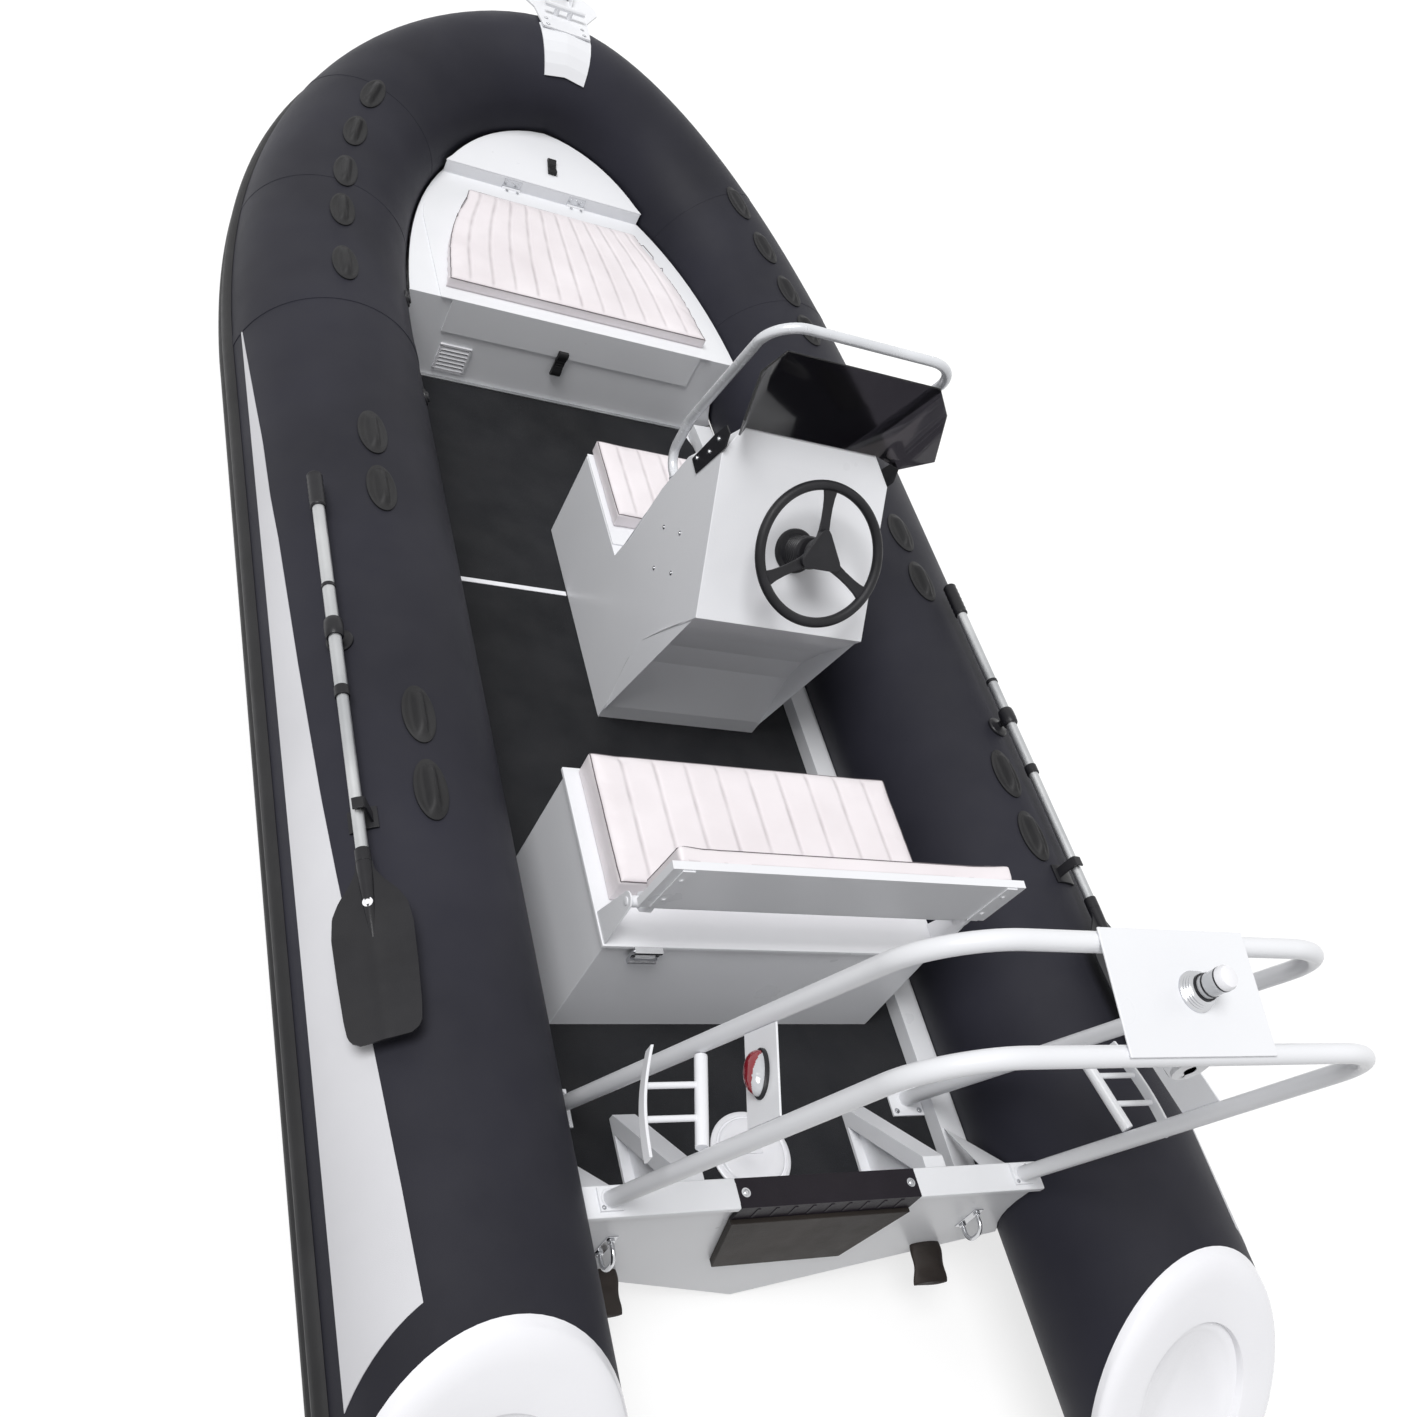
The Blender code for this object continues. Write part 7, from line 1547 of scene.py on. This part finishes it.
# Side lamps: oval lamps in black rims, red to port and green to starboard, clear in their upper after part.
# Each is screwed to a plate that is welded between the arch's hoops.
LAMP_HEIGHT = 0.830
LAMP_PLATE_HALF = 0.050
LAMP_LONG = 0.047
LAMP_SHORT = 0.027
LAMP_DEPTH = 0.030
LAMP_SIDES = 96
LENS_PLEATS = 24
LENS_PLEAT_DEPTH = 0.006
bezel_shares = ((1.00, -0.05), (1.00, 0.12), (0.97, 0.18), (0.91, 0.20), (0.89, 0.12))
lens_shares = [(0.90 * cos(turn) ** 0.7, 0.08 + 0.92 * sin(turn))
               for turn in [radians(4 * k) for k in range(22)]]


def lens_material(name, colour):
    light = [min(255, value + 18) for value in colour]
    made = skin_material(name, colour, light, 0.05, 0.12, 9, 120, 0.0004, coat=0.5)
    made.node_tree.nodes["Principled BSDF"].inputs["Transmission Weight"].default_value = 0.35
    return made


red_lens = lens_material("red_lens", (150, 14, 30))
green_lens = lens_material("green_lens", (18, 140, 78))
clear_lens = lens_material("clear_lens", (214, 216, 220))
lamp_plate_corners = ((front_foot, front_top, -1, -front_half), (front_foot, front_top, 1, -front_half),
                      (rear_foot, rear_top, 1, rear_half), (rear_foot, rear_top, -1, rear_half))
for side, word, colour in ((-1, "port", red_lens), (1, "starboard", green_lens)):
    corners = [leg_point(foot, top, LAMP_HEIGHT + LAMP_PLATE_HALF * level, side, forward)
               for foot, top, level, forward in lamp_plate_corners]
    bm = bmesh.new()
    plate(bm, corners, (side * SHEET, 0, 0))
    finish(word + "_lamp_plate", bm, white_paint, "hull", "white_paint", rounded=0.0012)
    middle = sum(corners, Vector()) / 4
    along = (corners[0] - corners[3]).normalized()
    face_out = Vector((along.y, -along.x, 0)).normalized()
    face_out *= side if face_out.x > 0 else -side
    across = along.cross(face_out)
    start = middle + face_out * SHEET

    def oval(share, depth, pleats=0.0):
        """A ring of the lamp, by its shares of the full oval and of the depth, and its pleats."""
        ring = []
        for turn in [2 * pi * k / LAMP_SIDES for k in range(LAMP_SIDES)]:
            size = share * (1 + pleats * sin(LENS_PLEATS * turn))
            ring.append(start + face_out * (LAMP_DEPTH * depth) + along * (LAMP_LONG * size * cos(turn))
                        + across * (LAMP_SHORT * size * sin(turn)))
        return ring

    bm = bmesh.new()
    sweep(bm, [oval(share, depth) for share, depth in bezel_shares])
    finish(word + "_lamp_rim", bm, black_plastic, "hull", "black_plastic")
    bm = bmesh.new()
    sweep(bm, [oval(share, depth, LENS_PLEAT_DEPTH) for share, depth in lens_shares])
    lens = finish(word + "_lamp_lens", bm, colour, "hull", "lamp_lens", "side_lamp_" + TAGS[side], sharp=25)
    lens.data.materials.append(clear_lens)
    clearer = across * -side * 0.6 - along * 0.25 - face_out * 0.5
    for face in lens.data.polygons:
        if (face.center - ORIGIN - start).dot(clearer) > 0:
            face.material_index = 1

# All-round light: a clear cylinder between black rings, under a pale cap.
# Its ribbed stainless foot is screwed to the plate that joins the arch's hoops.
LIGHT_X = 0.013
LIGHT_GLASS_LOW = 0.0215
LIGHT_GLASS_HIGH = 0.062
light_run = rear_top - front_top
light_run.x = 0
light_run.normalize()
light_up = Vector((0, light_run.z, -light_run.y))
plate_lift = light_up * (HOOP_RADIUS + HAIR)
front_edge = Vector((0, front_top.y, front_top.z)) + plate_lift - light_run * HOOP_RADIUS
rear_edge = Vector((0, rear_top.y, rear_top.z)) + plate_lift + light_run * HOOP_RADIUS / 2
light_foot = (front_edge + rear_edge) / 2 + Vector((LIGHT_X, 0, 0)) + light_up * (SHEET + HAIR)
light_place = facing(light_foot, light_up)
foot_profile = [(0, 0), (0.034, 0), (0.034, 0.003)]
for k in range(4):
    foot_profile += [(0.033 - 0.0015 * k, 0.004 + 0.0042 * k), (0.0305 - 0.0015 * k, 0.0055 + 0.0042 * k)]
foot_profile += [(0.024, LIGHT_GLASS_LOW), (0, LIGHT_GLASS_LOW)]
glass_profile = ((0, LIGHT_GLASS_LOW), (0.0198, LIGHT_GLASS_LOW), (0.0198, LIGHT_GLASS_HIGH),
                 (0, LIGHT_GLASS_HIGH))
cap_profile = ((0, LIGHT_GLASS_HIGH), (0.0203, LIGHT_GLASS_HIGH), (0.0203, 0.069), (0.017, 0.0745),
               (0.008, 0.077), (0, 0.077))
bm = bmesh.new()
turn_profile(bm, foot_profile, light_place, steps=48)
finish("light_foot", bm, stainless, "hull", "stainless", "all_round_light")
bm = bmesh.new()
turn_profile(bm, glass_profile, light_place, steps=48)
finish("light_glass", bm, clear_lens, "hull", "stainless", rounded=0.001)
bm = bmesh.new()
turn_profile(bm, cap_profile, light_place, steps=48)
finish("light_cap", bm, white_moulding, "hull", "white_moulding")
bm = bmesh.new()
for low, radius in ((LIGHT_GLASS_LOW, 0.0225), (0.0325, 0.0206), (0.0595, 0.0206)):
    ring_profile = ((0, low), (radius, low), (radius, low + 0.0028), (0, low + 0.0028))
    turn_profile(bm, ring_profile, light_place, steps=48)
finish("light_rings", bm, black_plastic, "hull", "black_plastic")

# Bow step: a folded bracket of white painted sheet, strapped over the bow tube, with a cleat on top.
# A black rubber roller for the anchor's line turns on a pin between its cheeks.
ROLLER_PLACE = Vector((0, 4.084, 0.7214))
ROLLER_HALF = 0.0495
CHEEK_X = 0.0543
CLEAT_BOLT_X = 0.065
CLEAT_BOLT_HEIGHT = 0.6959
roller_shares = ((0, -1), (0.021, -1), (0.024, -0.95), (0.024, -0.82), (0.0185, -0.52), (0.0155, -0.30),
                 (0.015, 0), (0.0155, 0.30), (0.0185, 0.52), (0.024, 0.82), (0.024, 0.95), (0.021, 1), (0, 1))
dress("bow_step", white_paint, 0.0015)
bm = bmesh.new()
roller_profile = [(radius, ROLLER_HALF * share) for radius, share in roller_shares]
turn_profile(bm, roller_profile, facing(ROLLER_PLACE, (1, 0, 0)), steps=40)
finish("anchor_roller", bm, black_rubber, "roller", "black_rubber", "bow_roller")
bm = bmesh.new()
for side in (-1, 1):
    bolt(bm, ROLLER_PLACE + Vector((side * CHEEK_X, 0, 0)), (side, 0, 0), 0.006, 0.006)
    for y in (3.842, 3.880):
        bolt(bm, (side * CLEAT_BOLT_X, y, CLEAT_BOLT_HEIGHT), (0, 0, 1), 0.0045, 0.0035)
finish("roller_pin_heads", bm, stainless, "hull", "stainless")

low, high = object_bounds()
